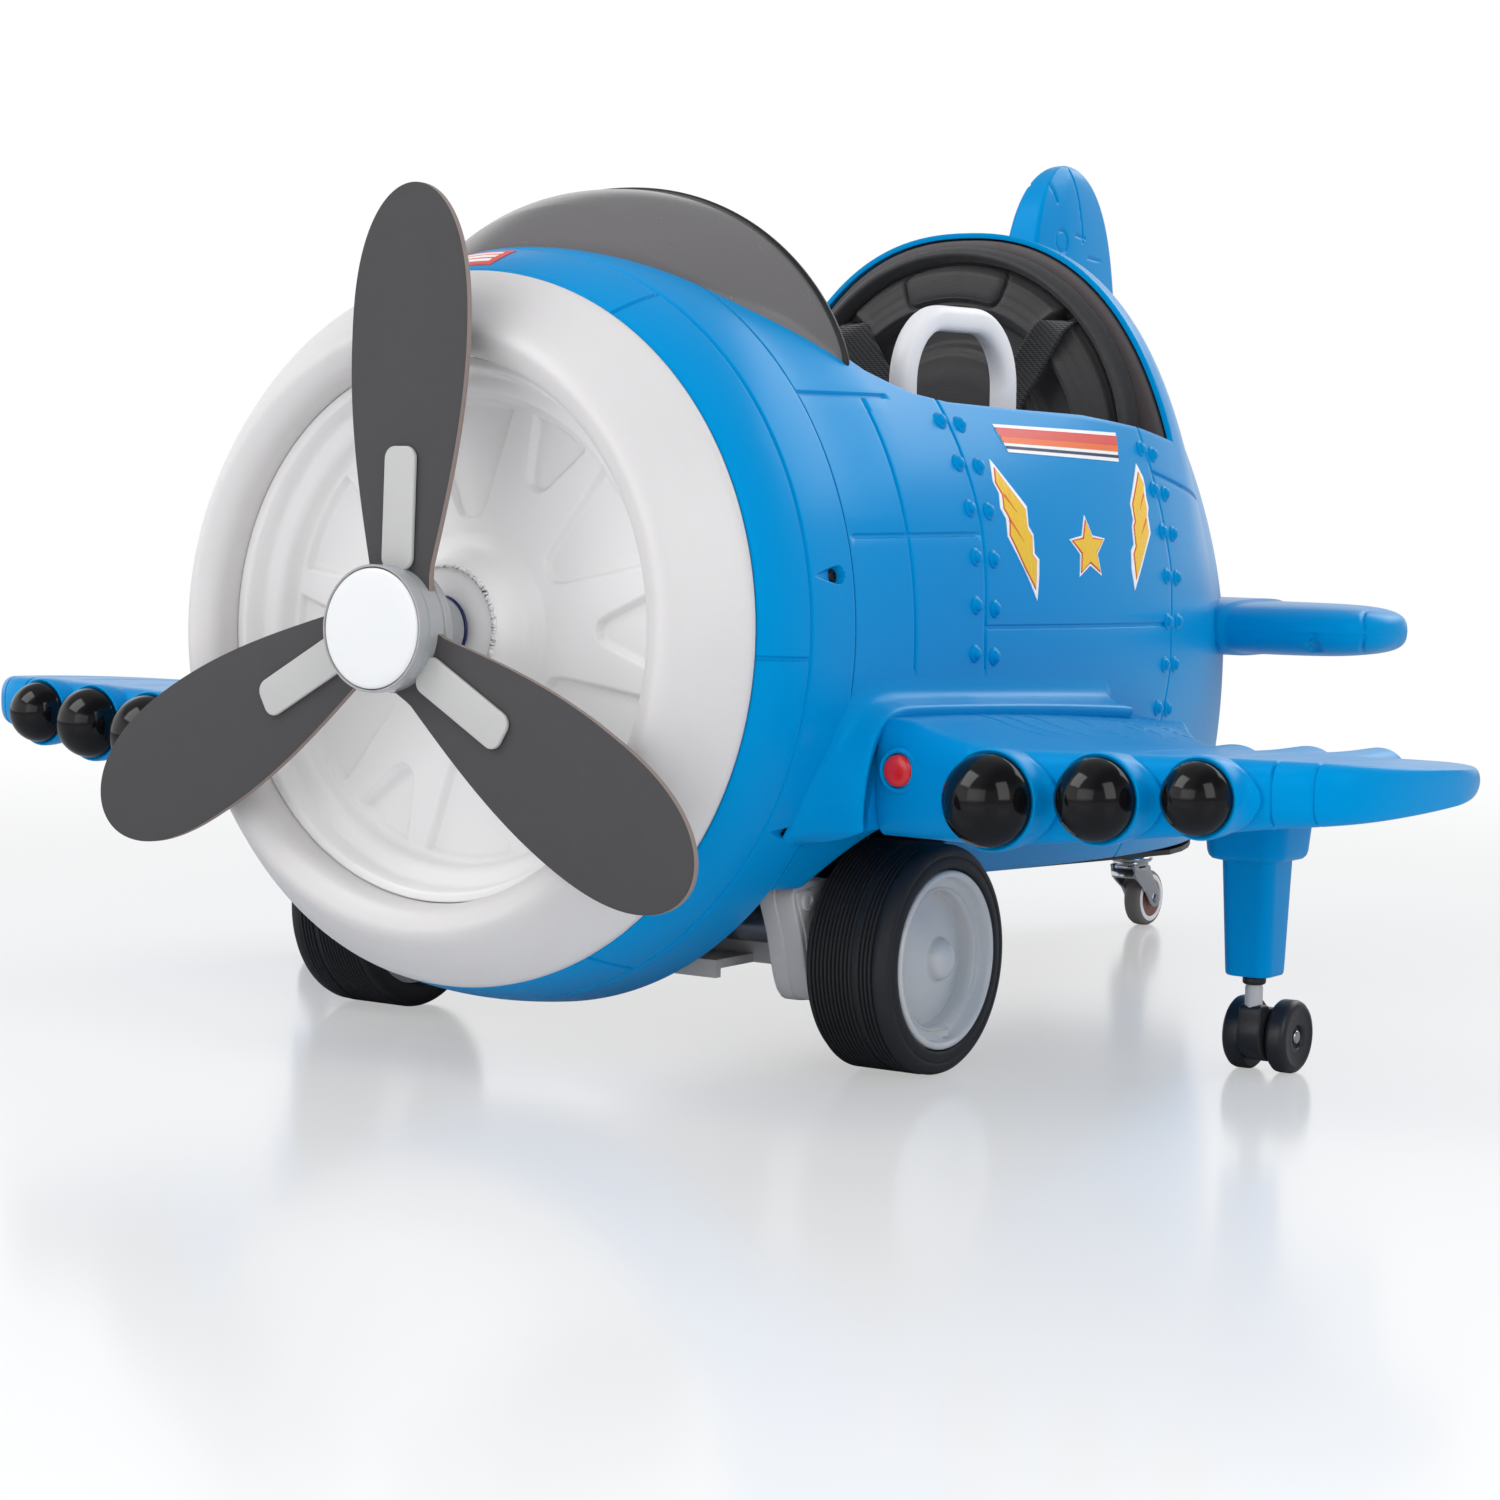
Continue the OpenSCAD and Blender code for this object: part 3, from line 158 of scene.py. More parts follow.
def blunt(c, power):
    """A cosine or sine with its size raised to a power, which squares a circle's corners."""
    return np.sign(c) * np.abs(c) ** power


def directions(path):
    """The unit direction of a path at each point."""
    t = np.gradient(path, axis=0)
    return t / np.linalg.norm(t, axis=1)[:, None]


def turned(profile, steps=128):
    """A closed or open profile of (radius, y) turned about the Y axis."""
    profile = np.asarray(profile, float)
    a = full_turn(steps)
    rings = np.stack([profile[:, 0, None] * np.cos(a), np.repeat(profile[:, 1, None], steps, 1),
                      profile[:, 0, None] * np.sin(a)], -1)
    return rings.reshape(-1, 3), grid_faces(len(profile), steps, closed=True)


def button(profile, steps=24):
    """A turned piece along +Z from (radius, height) pairs; the last radius is 0."""
    p, f = turned(profile, steps)
    return p[:, [0, 2, 1]], f


def moved(part, matrix=None, offset=(0, 0, 0)):
    """A part turned by a matrix, then shifted."""
    p, f = part
    p = np.asarray(p, float)
    if matrix is not None:
        p = p @ np.asarray(matrix).T
    return p + np.asarray(offset, float), f


def about_x(deg):
    c, s = math.cos(math.radians(deg)), math.sin(math.radians(deg))
    return np.array([[1, 0, 0], [0, c, -s], [0, s, c]])


def about_y(deg):
    c, s = math.cos(math.radians(deg)), math.sin(math.radians(deg))
    return np.array([[c, 0, s], [0, 1, 0], [-s, 0, c]])


def ring_tube(path, radius, sides):
    """A round tube along a level closed path."""
    tangent = np.roll(path, -1, 0) - np.roll(path, 1, 0)
    tangent /= np.linalg.norm(tangent, axis=1)[:, None]
    up = np.array([0, 0, 1.0])
    a = full_turn(sides)[:, None]
    rings = [p + radius * (np.cos(a) * up + np.sin(a) * np.cross(t, up)) for p, t in zip(path, tangent)]
    rings = np.array(rings + rings[:1])
    return rings.reshape(-1, 3), grid_faces(len(rings), sides, closed=True)


def rounded_outline(w, d, r, n=8):
    """A w x d rectangle about the origin, with corners of radius r."""
    pts = []
    for sx, sy, a0 in ((1, 1, 0), (-1, 1, 90), (-1, -1, 180), (1, -1, 270)):
        for i in range(n + 1):
            a = math.radians(a0 + 90 * i / n)
            pts.append((sx * (w / 2 - r) + r * math.cos(a), sy * (d / 2 - r) + r * math.sin(a)))
    return np.array(pts)


def inward(outline, d):
    """The outline of a flat plate moved inward by d along its normals."""
    p = np.asarray(outline, float)
    t = np.roll(p, -1, 0) - np.roll(p, 1, 0)
    t /= np.linalg.norm(t, axis=1)[:, None] + 1e-12
    area = np.sum(p[:, 0] * np.roll(p[:, 1], -1) - np.roll(p[:, 0], -1) * p[:, 1])
    n = np.stack([-t[:, 1], t[:, 0]], 1) * (1 if area > 0 else -1)
    return p + n * d


def at_level(line, z):
    """The points (x, y) of a line at height z."""
    return np.column_stack([line, np.full(len(line), z)])


def plate(outline, thick, edge=1.0, n=3):
    """A plate in the XY plane from z = 0 to thick, with rounded edges."""
    turns = [math.pi / 2 * i / n for i in range(n + 1)]
    rings = [at_level(inward(outline, edge * (1 - math.sin(a))), edge * (1 - math.cos(a))) for a in turns]
    rings += [at_level(inward(outline, edge * (1 - math.cos(a))), thick - edge * (1 - math.sin(a)))
              for a in turns]
    return loft(rings)


def fine_edge(outline, step):
    """A closed outline with its points about a step apart."""
    out = []
    for p, q in zip(outline, np.roll(outline, -1, 0)):
        n = max(1, int(np.hypot(*(q - p)) / step))
        out += [p + (q - p) * t for t in np.arange(n) / n]
    return np.array(out)


def ease(t):
    """0 up to t = 0 and 1 from t = 1, with a smooth rise between."""
    u = np.clip(t, 0, 1)
    return u * u * (3 - 2 * u)


def bump(t):
    """1 at 0, falling smoothly to 0 at 1."""
    return 1 - ease(np.abs(t))


print("helpers ready")

# %% [markdown]
# The camera stands where the photographer's did, low and to the left of the nose.
# It was found by fitting the wheels, propeller, domes and seams of the photograph.

# %% Camera
cam_data = bpy.data.cameras.new("camera")
cam = bpy.data.objects.new("camera", cam_data)
bpy.context.scene.collection.objects.link(cam)
SENSOR, FOCAL_PIXELS, PHOTO_PIXELS = 36, 3400, 1500
CAMERA_AT = (1404.4, -1705.2, 397.3)
cam_data.sensor_width = SENSOR
cam_data.lens = SENSOR * FOCAL_PIXELS / PHOTO_PIXELS
cam_data.clip_end = 100
yaw, pitch, roll = math.radians(34.593), math.radians(-4.755), math.radians(0.827)
look = Vector((-math.sin(yaw) * math.cos(pitch), math.cos(yaw) * math.cos(pitch), math.sin(pitch)))
level = Vector((math.cos(yaw), math.sin(yaw), 0))
above = level.cross(look)
right = level * math.cos(roll) + above * math.sin(roll)
up = above * math.cos(roll) - level * math.sin(roll)
place = Matrix((right, up, -look)).transposed().to_4x4()
place.translation = Vector(metres([CAMERA_AT])[0])
cam.matrix_world = place
bpy.context.scene.camera = cam
print("camera at", tuple(round(v, 3) for v in place.translation))

# %% [markdown]
# The studio is a glossy white table that fades into a white backdrop. The world is white for the rays
# that the camera or glass sends, softer for the light that falls on the toy, and for mirror rays it
# is bright only low down on the left, as a backdrop is beside a dark room.

# %% Studio
scene = bpy.context.scene
scene.view_settings.view_transform = "Standard"
WHITE = (1, 1, 1, 1)


def add(tree, kind, links=None, **settings):
    """A node with its settings, and its inputs linked or set by name or index."""
    node = tree.nodes.new(kind)
    for key, value in settings.items():
        setattr(node, key, value)
    for key, value in (links or {}).items():
        if isinstance(value, bpy.types.NodeSocket):
            tree.links.new(value, node.inputs[key])
        else:
            node.inputs[key].default_value = value
    return node


def eased_range(tree, value, low, high, to_low=0.0, to_high=1.0):
    """A value mapped from one range to another with a smooth step."""
    links = {"Value": value, "From Min": low, "From Max": high, "To Min": to_low, "To Max": to_high}
    return add(tree, "ShaderNodeMapRange", links, interpolation_type="SMOOTHSTEP").outputs["Result"]


def calculated(tree, operation, *values):
    """The result of a Math node."""
    return add(tree, "ShaderNodeMath", dict(enumerate(values)), operation=operation).outputs[0]


def mixed(tree, share, first, second):
    """Two shaders mixed by a share of the second."""
    return add(tree, "ShaderNodeMixShader", {"Fac": share, 1: first, 2: second}).outputs[0]


world = bpy.data.worlds.new("studio")
scene.world = world
world.use_nodes = True
tree = world.node_tree
tree.nodes.clear()
rays = add(tree, "ShaderNodeLightPath").outputs
where = add(tree, "ShaderNodeTexCoord").outputs["Generated"]
where = add(tree, "ShaderNodeSeparateXYZ", {0: where}).outputs
low_down = eased_range(tree, where["Z"], 0.35, 0.62, 1.0, 0.34)
leftward = eased_range(tree, where["X"], -0.15, 0.4, 1.0, 0.3)
mirror_light = calculated(tree, "MULTIPLY", low_down, leftward)
mirror_sky = add(tree, "ShaderNodeBackground", {"Color": WHITE, "Strength": mirror_light}).outputs[0]
soft_sky = add(tree, "ShaderNodeBackground", {"Color": (0.93, 0.96, 1, 1), "Strength": 0.78}).outputs[0]
seen_sky = add(tree, "ShaderNodeBackground", {"Color": WHITE}).outputs[0]
lighting = mixed(tree, rays["Is Glossy Ray"], soft_sky, mirror_sky)
looking = calculated(tree, "MAXIMUM", rays["Is Camera Ray"], rays["Is Transmission Ray"])
add(tree, "ShaderNodeOutputWorld", {"Surface": mixed(tree, looking, lighting, seen_sky)})


def lamp(name, at, aim, size, watts):
    """A soft box at a place, aimed at a point."""
    data = bpy.data.lights.new(name, "AREA")
    data.shape = "RECTANGLE"
    data.size, data.size_y = size
    data.energy = watts
    obj = bpy.data.objects.new(name, data)
    scene.collection.objects.link(obj)
    obj.location = at
    obj.rotation_mode = "QUATERNION"
    obj.rotation_quaternion = (Vector(aim) - Vector(at)).to_track_quat("-Z", "Y")


lamp("key", (-1.6, -2.2, 3.0), (0, 0, 0.3), (2.2, 2.2), 50)
lamp("fill", (3.0, -1.4, 1.7), (0, 0, 0.3), (1.6, 2.4), 25)
lamp("front", (0.2, -3.2, 1.1), (0, 0, 0.3), (2.4, 1.4), 10)
lamp("rear", (1.0, 3.0, 2.4), (0, 0.2, 0.3), (3.0, 1.6), 34)
print("studio ready")

# %% [markdown]
# Every moulded surface has a little life that a flat colour lacks: a fine grain from the mould,
# a slow drift in tone where the wall is thicker, and hairline scuffs that show in the gloss.
# Three shared node groups give those, so each material only states its colour and amounts.

# %% Shared effects
FLOAT, COLOUR, VECTOR = "NodeSocketFloat", "NodeSocketColor", "NodeSocketVector"


def node_group(name, inputs, output, kind):
    """A new group with its input sockets' outputs, and the input that its result goes to."""
    group = bpy.data.node_groups.new(name, "ShaderNodeTree")
    for label, sort, value in inputs:
        sock = group.interface.new_socket(name=label, in_out="INPUT", socket_type=sort)
        if value is not None:
            sock.default_value = value
    group.interface.new_socket(name=output, in_out="OUTPUT", socket_type=kind)
    return group, group.nodes.new("NodeGroupInput").outputs, group.nodes.new("NodeGroupOutput").inputs[output]


def spot_on(tree):
    """The place on the object that is being shaded."""
    return add(tree, "ShaderNodeTexCoord").outputs["Object"]


tree, given, result = node_group("mould_grain", [
    ("Scale", FLOAT, 900.0), ("Depth", FLOAT, 0.1), ("Detail", FLOAT, 3.0)], "Normal", VECTOR)
mould_grain = tree
fine = add(tree, "ShaderNodeTexNoise", {"Vector": spot_on(tree), "Scale": given["Scale"],
                                        "Detail": given["Detail"], "Roughness": 0.6})
raised = add(tree, "ShaderNodeBump", {"Strength": given["Depth"], "Distance": 0.0004,
                                      "Height": fine.outputs["Fac"]})
tree.links.new(raised.outputs["Normal"], result)

tree, given, result = node_group("tone_drift", [
    ("Colour", COLOUR, None), ("Amount", FLOAT, 0.06), ("Scale", FLOAT, 6.0)], "Colour", COLOUR)
tone_drift = tree
slow = add(tree, "ShaderNodeTexNoise", {"Vector": spot_on(tree), "Scale": given["Scale"], "Detail": 2.0})
centred = calculated(tree, "SUBTRACT", slow.outputs["Fac"], 0.5)
scaled = calculated(tree, "MULTIPLY_ADD", centred, given["Amount"], 1.0)
toned = add(tree, "ShaderNodeHueSaturation", {"Value": scaled, "Color": given["Colour"]})
tree.links.new(toned.outputs["Color"], result)

tree, given, result = node_group("hairline_scuffs", [
    ("Clean", FLOAT, 0.25), ("Worn", FLOAT, 0.4), ("Scale", FLOAT, 40.0)], "Roughness", FLOAT)
hairline_scuffs = tree
drawn_out = add(tree, "ShaderNodeMapping", {"Vector": spot_on(tree), "Rotation": (0.3, 0.5, 0.7),
                                            "Scale": (1.0, 9.0, 1.6)})
lines = add(tree, "ShaderNodeTexNoise", {"Vector": drawn_out.outputs["Vector"], "Scale": given["Scale"],
                                         "Detail": 6.0, "Distortion": 0.6})
picked = add(tree, "ShaderNodeMapRange", {"Value": lines.outputs["Fac"], "From Min": 0.5, "From Max": 0.8,
                                          "To Min": given["Clean"], "To Max": given["Worn"]})
tree.links.new(picked.outputs["Result"], result)
print("node groups:", [g.name for g in bpy.data.node_groups])

# %% [markdown]
# One function makes the plastics, rubbers and metals, because they differ only in numbers:
# how strong the grain is, how clean the gloss is, and how much light goes in and out again.

# %% Material maker
def srgb(code):
    """Linear colour of a web colour code."""
    parts = [int(code[i:i + 2], 16) / 255 for i in (1, 3, 5)]
    return tuple(c / 12.92 if c <= 0.04045 else ((c + 0.055) / 1.055) ** 2.4 for c in parts) + (1,)


def finish(name, colour, clean=0.3, worn=0.42, pitch=1400, grain=0.08, tone=0.05, tone_scale=6,
           metallic=0, coat=0, coat_roughness=0.1, subsurface=0, transmission=0, sheen=0, specular=0.5):
    """A material: its colour, its gloss where clean and where worn, and the pitch and depth of its grain."""
    mat = bpy.data.materials.new(name)
    mat.use_nodes = True
    tree = mat.node_tree
    shader = tree.nodes["Principled BSDF"]
    amounts = {"Metallic": metallic, "Coat Weight": coat, "Coat Roughness": coat_roughness,
               "Subsurface Weight": subsurface, "Subsurface Scale": 0.004,
               "Transmission Weight": transmission, "Sheen Weight": sheen, "Specular IOR Level": specular}
    for label, value in amounts.items():
        shader.inputs[label].default_value = value
    tones = add(tree, "ShaderNodeGroup", node_tree=tone_drift)
    gloss = add(tree, "ShaderNodeGroup", node_tree=hairline_scuffs)
    texture = add(tree, "ShaderNodeGroup", node_tree=mould_grain)
    for node, label, value in ((tones, "Colour", srgb(colour)), (tones, "Amount", tone),
                               (tones, "Scale", tone_scale), (gloss, "Clean", clean), (gloss, "Worn", worn),
                               (texture, "Scale", pitch), (texture, "Depth", grain)):
        node.inputs[label].default_value = value
    tree.links.new(tones.outputs["Colour"], shader.inputs["Base Color"])
    tree.links.new(gloss.outputs["Roughness"], shader.inputs["Roughness"])
    if grain:
        tree.links.new(texture.outputs["Normal"], shader.inputs["Normal"])
    return mat


def shader_of(mat):
    """The shader node that a finish is built on."""
    return mat.node_tree.nodes["Principled BSDF"]


blue = finish("blue moulding", "#008aca", clean=0.28, worn=0.32, pitch=1800, grain=0.03, specular=0.3)
shader_of(blue).inputs["Specular Tint"].default_value = (0.02, 0.5, 0.85, 1)
# The dish and the nose lip are one white plastic. The dish's white is painted lighter, against the shade of
# its recess, and the lip's white is painted darker, against the light it catches.
dish_white_painted_light = finish("white dish lightened against shade", "#f3f1f0", clean=0.34, worn=0.42, grain=0.05, tone=0.02)
white = finish("white nose moulding darkened against light", "#d4d1d0", clean=0.34, worn=0.42, grain=0.05, subsurface=0.12,
               tone=0.02)
black_satin = finish("black satin moulding", "#1a1a1b", clean=0.42, worn=0.52, pitch=2200, grain=0.2)
black_gloss = finish("black glossy dome", "#0d0d0f", clean=0.1, worn=0.18, grain=0.02, specular=0.35)
handle_grey = finish("light grey handle", "#e4e3e6", clean=0.36, worn=0.46, pitch=2600, grain=0.12, tone=0.03)
bracket_grey = finish("bracket grey", "#c4c1c0", clean=0.42, worn=0.55, pitch=2000, grain=0.14)
clip_grey = finish("clip grey", "#b9b8b6", clean=0.3, worn=0.42, pitch=1500, grain=0.1, subsurface=0.1)
hub_grey = finish("milky hub", "#b4b6b8", clean=0.2, worn=0.3, grain=0.04, transmission=0.22, subsurface=0.3,
                  coat=0.3, coat_roughness=0.08)
cap_white = finish("hub cap white", "#e2e2e2", clean=0.3, worn=0.36, grain=0.03, subsurface=0.1)
disc_grey = finish("wheel disc grey", "#dadad9", clean=0.18, worn=0.3, grain=0.05, transmission=0.12,
                   subsurface=0.2, coat=0.4, coat_roughness=0.06)
foam = finish("blade foam", "#474546", clean=0.72, worn=0.8, pitch=2600, grain=0.5, tone=0.08, tone_scale=60,
              specular=0.3)
foam_edge = finish("blade cut edge", "#8d807a", clean=0.8, worn=0.85, pitch=2200, grain=0.5, specular=0.2)
tyre_black = finish("tyre", "#262628", clean=0.5, worn=0.62, pitch=1300, grain=0.3, tone=0.1, tone_scale=30,
                    specular=0.4)
caster_black = finish("caster rim", "#222224", clean=0.36, worn=0.5, grain=0.12)
tread_brown = finish("caster tread", "#6f6a66", clean=0.55, worn=0.7, pitch=1100, grain=0.3, tone=0.12,
                     tone_scale=50)
hub_brown = finish("caster hub", "#7a4f45", clean=0.35, worn=0.5, grain=0.1)
battery_grey = finish("battery case", "#3c4043", clean=0.4, worn=0.5, grain=0.15)
chrome = finish("plated steel", "#c9cbd0", clean=0.14, worn=0.3, grain=0.03, metallic=1)
steel = finish("bare steel", "#9a9da2", clean=0.3, worn=0.45, grain=0.1, metallic=1)
screw_black = finish("blackened screw", "#2a2b2e", clean=0.3, worn=0.45, grain=0.1, metallic=0.7)
red = finish("red plastic", "#cf2028", clean=0.2, worn=0.3, grain=0.03, coat=0.3)
yellow = finish("yellow plastic", "#f2c230", clean=0.25, worn=0.35, grain=0.03)
orange = finish("orange print", "#ea6a1f", clean=0.35, worn=0.45, grain=0.02)
print_white = finish("white print", "#f4f3f1", clean=0.35, worn=0.45, grain=0.02)
print_red = finish("red print", "#d9463c", clean=0.35, worn=0.45, grain=0.02)
print_navy = finish("navy print", "#1b2a5a", clean=0.35, worn=0.45, grain=0.02)
print("materials:", len(bpy.data.materials))

# %% [markdown]
# The windscreen is tinted plastic: it hides most of what is behind it, lets some backdrop through
# and keeps a soft gloss. The seat is a foam moulding with a leathery skin of tiny cells, and the belt
# is a woven strap, so those three get their own nodes.

# %% Windscreen, seat and webbing finishes
black_liner = finish("hood liner", "#4b4445", clean=0.4, worn=0.5, pitch=2400, grain=0.25)
smoke = finish("smoked screen", "#787576", clean=0.22, worn=0.3, grain=0.02, transmission=0.3, coat=0.2,
               coat_roughness=0.05, tone=0.02)
shader_of(smoke).inputs["IOR"].default_value = 1.3

pad = finish("seat skin", "#323132", clean=0.5, worn=0.6, grain=0, sheen=0.15, specular=0.45)
tree = pad.node_tree
cells = add(tree, "ShaderNodeTexVoronoi", {"Vector": spot_on(tree), "Scale": 520.0},
            feature="DISTANCE_TO_EDGE")
pores = add(tree, "ShaderNodeTexNoise", {"Vector": spot_on(tree), "Scale": 1500.0, "Detail": 3.0})
leather = calculated(tree, "ADD", cells.outputs["Distance"], pores.outputs["Fac"])
raised = add(tree, "ShaderNodeBump", {"Strength": 0.45, "Distance": 0.0005, "Height": leather})
tree.links.new(raised.outputs["Normal"], shader_of(pad).inputs["Normal"])

webbing = finish("belt webbing", "#1b1b1d", clean=0.75, worn=0.85, grain=0, sheen=0.3, specular=0.25)
tree = webbing.node_tree
twill, threads = [add(tree, "ShaderNodeTexWave", {"Vector": spot_on(tree), "Scale": scale,
                                                  "Distortion": wander}, bands_direction=way).outputs["Fac"]
                  for scale, wander, way in ((125.0, 0.5, "DIAGONAL"), (200.0, 0.4, "Z"))]
weave = calculated(tree, "ADD", twill, threads)
raised = add(tree, "ShaderNodeBump", {"Strength": 0.9, "Distance": 0.0006, "Height": weave})
tree.links.new(raised.outputs["Normal"], shader_of(webbing).inputs["Normal"])
rubbed = add(tree, "ShaderNodeMixRGB", {"Fac": twill, "Color1": srgb("#17171a"), "Color2": srgb("#343438")})
tree.links.new(rubbed.outputs["Color"], shader_of(webbing).inputs["Base Color"])
print("screen, seat and webbing finishes ready")

# %% [markdown]
# The table top is polished, so the wheels mirror softly in it. To the camera it is part of the white
# backdrop: half of its light is plain white, and all of it further out, so that no horizon shows while
# the toy's shadow stays. Other rays see a plain lit table, but mirror rays see it painted a darker grey,
# which is painted shade in the toy's reflections of the table.

# %% Floor
FLOOR_HALF = 40
floor_mat = bpy.data.materials.new("polished table")
floor_mat.use_nodes = True
tree = floor_mat.node_tree
tree.nodes.clear()
rays = add(tree, "ShaderNodeLightPath").outputs
away = add(tree, "ShaderNodeVectorMath", {0: spot_on(tree)}, operation="LENGTH").outputs["Value"]
fade = eased_range(tree, away, 0.75, 2.3)
glow = calculated(tree, "MULTIPLY_ADD", fade, 0.32, 0.68)
glow = calculated(tree, "MULTIPLY", glow, rays["Is Camera Ray"])
# Mirror rays get a darker grey table than other rays: painted shade in the toy's reflections.
tone = add(tree, "ShaderNodeMixRGB", {"Fac": rays["Is Glossy Ray"], "Color1": (0.9, 0.905, 0.915, 1),
                                      "Color2": (0.4, 0.4, 0.41, 1)})
lit = add(tree, "ShaderNodeBsdfDiffuse", {"Color": tone.outputs["Color"]})
plain = add(tree, "ShaderNodeEmission", {"Color": WHITE, "Strength": 1.0})
table = mixed(tree, glow, lit.outputs[0], plain.outputs[0])
near = calculated(tree, "SUBTRACT", 1.0, fade)
polish = calculated(tree, "MULTIPLY", near, add(tree, "ShaderNodeFresnel", {"IOR": 1.35}).outputs[0])
mirror = add(tree, "ShaderNodeBsdfGlossy", {"Roughness": 0.16})
add(tree, "ShaderNodeOutputMaterial", {"Surface": mixed(tree, polish, table, mirror.outputs[0])})
floor_mesh = bpy.data.meshes.new("floor")
corners = [(x * FLOOR_HALF, y * FLOOR_HALF, 0) for x, y in ((-1, -1), (1, -1), (1, 1), (-1, 1))]
floor_mesh.from_pydata(corners, [], [(0, 1, 2, 3)])
floor_mesh.materials.append(floor_mat)
floor = bpy.data.objects.new("floor", floor_mesh)
scene.collection.objects.link(floor)
print("floor ready")

# %% [markdown]
# The fuselage is blow-moulded in two halves: a barrel whose section goes from round at the nose
# to slightly squared at the seat, and tapers to a wedge at the tail. The same formulas drew
# the CAD solid. Here the skin gets many more points, so that the panel grooves can be pressed into it.

# %% Skin formulas
TILT_DEG = 2.4
AXIS_H, TILT = 289.5, math.radians(TILT_DEG)
BODY_LEN, BODY_HALF = 945, 246
TOP_RISE, HOOD_RISE, HOOD_Y = 259, 320.5, 620
KEEL_DROP, BELLY_DROP, WALL = 248, 158.5, 4
COWL_LEN, SEAM_R, GAP = 90, 232, 0.3
SILL = np.array([(70, 547), (83, 538), (106, 519), (139, 493), (185, 462), (206, 455), (230, 448), (270, 443),
                 (360, 440), (450, 438), (543, 431), (620, 421)], float)


def falloff(t, q, s):
    """1 up to t = 0, falling to 0 at t = 1 along a curve with the powers q and s."""
    return np.maximum(0, 1 - np.maximum(t, 0) ** q) ** s


def axis_z(y):
    """Height of the body's axis, which dips towards the tail."""
    return AXIS_H - np.asarray(y, float) * math.tan(TILT)


def half_w(y):
    """Half the body's width."""
    return BODY_HALF * falloff((y - 100) / (BODY_LEN - 100), 2.85, 0.6)


def rise(y):
    """How far the top of the section lies above the axis."""
    front = TOP_RISE + (HOOD_RISE - TOP_RISE) * ease((y - 200) / (HOOD_Y - 200))
    return np.where(y < HOOD_Y, front, HOOD_RISE * falloff((y - HOOD_Y) / (BODY_LEN - HOOD_Y), 2.2, 0.62))


def squareness(y):
    """The power of the section: 2 is a circle, more is squarer."""
    return 2 + 0.2 * ease((y - COWL_LEN) / 90) + 0.12 * ease((y - 300) / 320)


def pinch(y):
    """How much more pointed the upper half of the section gets behind the seat, where it rises to the fin."""
    return 0.6 * ease((y - 632) / 100)


def skin(y, a, inset=0.0):
    """Points of the skin at distance y behind the seam and section angle a, from the keel to the top."""
    y, a = np.broadcast_arrays(np.asarray(y, float), np.asarray(a, float))
    p = 2 / (squareness(y) - np.where(np.sin(a) > 0, pinch(y), 0))
    up = np.where(np.sin(a) > 0, rise(y), KEEL_DROP) - inset
    x = np.maximum(half_w(y) - inset, 0) * blunt(np.cos(a), p)
    return np.stack([x, y, axis_z(y) + up * blunt(np.sin(a), p)], -1)


def angle_at(y, z):
    """The section angle at which the skin reaches height z."""
    up = np.where(z > axis_z(y), rise(y), KEEL_DROP)
    v = np.clip(np.abs(z - axis_z(y)) / np.maximum(up, 1e-6), 0, 1)
    power = squareness(y) - np.where(z > axis_z(y), pinch(y), 0)
    return np.sign(z - axis_z(y)) * np.arcsin(v ** (power / 2))


def skin_at(y, z, side=1, out=0.0):
    """A point of the skin at height z, and the skin's normal there."""
    a = float(angle_at(y, z))
    p = skin(y, a)
    n = np.cross(skin(y, a + 1e-3) - skin(y, a - 1e-3), skin(y + 0.5, a) - skin(y - 0.5, a))
    n /= np.linalg.norm(n)
    n = n if n[0] > 0 else -n
    mirror = np.array([side, 1, 1])
    return (p + n * out) * mirror, n * mirror


print("skin at the widest point:", skin_at(300, 280)[0].round(1))

# %% [markdown]
# A panel groove is a shallow round-bottomed channel. Rows and columns of points are placed in fours
# along each channel, the middle two pushed in, which costs far less than a dense mesh everywhere.

# %% Grooved grids
GROOVE = np.array([-1.9, -0.8, 0.8, 1.9])
GROOVE_DEPTH = 1.5
NOSE_TURN = about_x(-TILT_DEG)


def with_marks(base, marks, spread=GROOVE):
    """The base positions, with four more at each mark in place of those close to it."""
    keep = [b for b in base if all(abs(b - m) > spread[-1] + 0.6 for m in marks)]
    return np.array(sorted(keep + [m + s for m in marks for s in spread]))


def channel(distance):
    """1 in the middle of a groove and 0 outside it."""
    return np.clip((1.9 - np.abs(distance)) / 1.1, 0, 1)


def grid_normals(p):
    n = np.cross(np.gradient(p, axis=0), np.gradient(p, axis=1))
    return n / (np.linalg.norm(n, axis=-1, keepdims=True) + 1e-9)


def outward_grid(p, push):
    """Moves each point of a grid by push along its normal, away from the fuselage's axis."""
    n = grid_normals(p)
    radial = p - np.stack([0 * p[..., 0], p[..., 1], axis_z(p[..., 1])], -1)
    n *= np.where(np.sum(n * radial, -1, keepdims=True) < 0, -1, 1)
    return p + n * push[..., None]


def nose_frame(points):
    """From the tilted frame of the propeller axis to the toy's own frame."""
    return np.asarray(points, float) @ NOSE_TURN.T + [0, 0, AXIS_H]


# %% [markdown]
# The side of the fuselage is one grid a side, from the sill down to the belly. Its rows bend with the
# two riveted seams, and its columns follow the horizontal grooves. Around the wheel the lower edge
# climbs over an arch, and behind the cockpit a second grid closes the hood over the top.

# %% Fuselage shell
SEAMS = (161, 255, 565)
GROOVE_RUNS = {1: [(97, 192), (552, 691)], 2: [(97, 253)], 3: [(250, 556)]}
UPPER_GROOVE, UPPER_DEPTH = 1, 1.4
SPIGOT_HOLE = (186, 424, 178, 220)
ARCH_R, AXLE = 92.5, np.array([192, 76.5])
TAPER_Y = 691


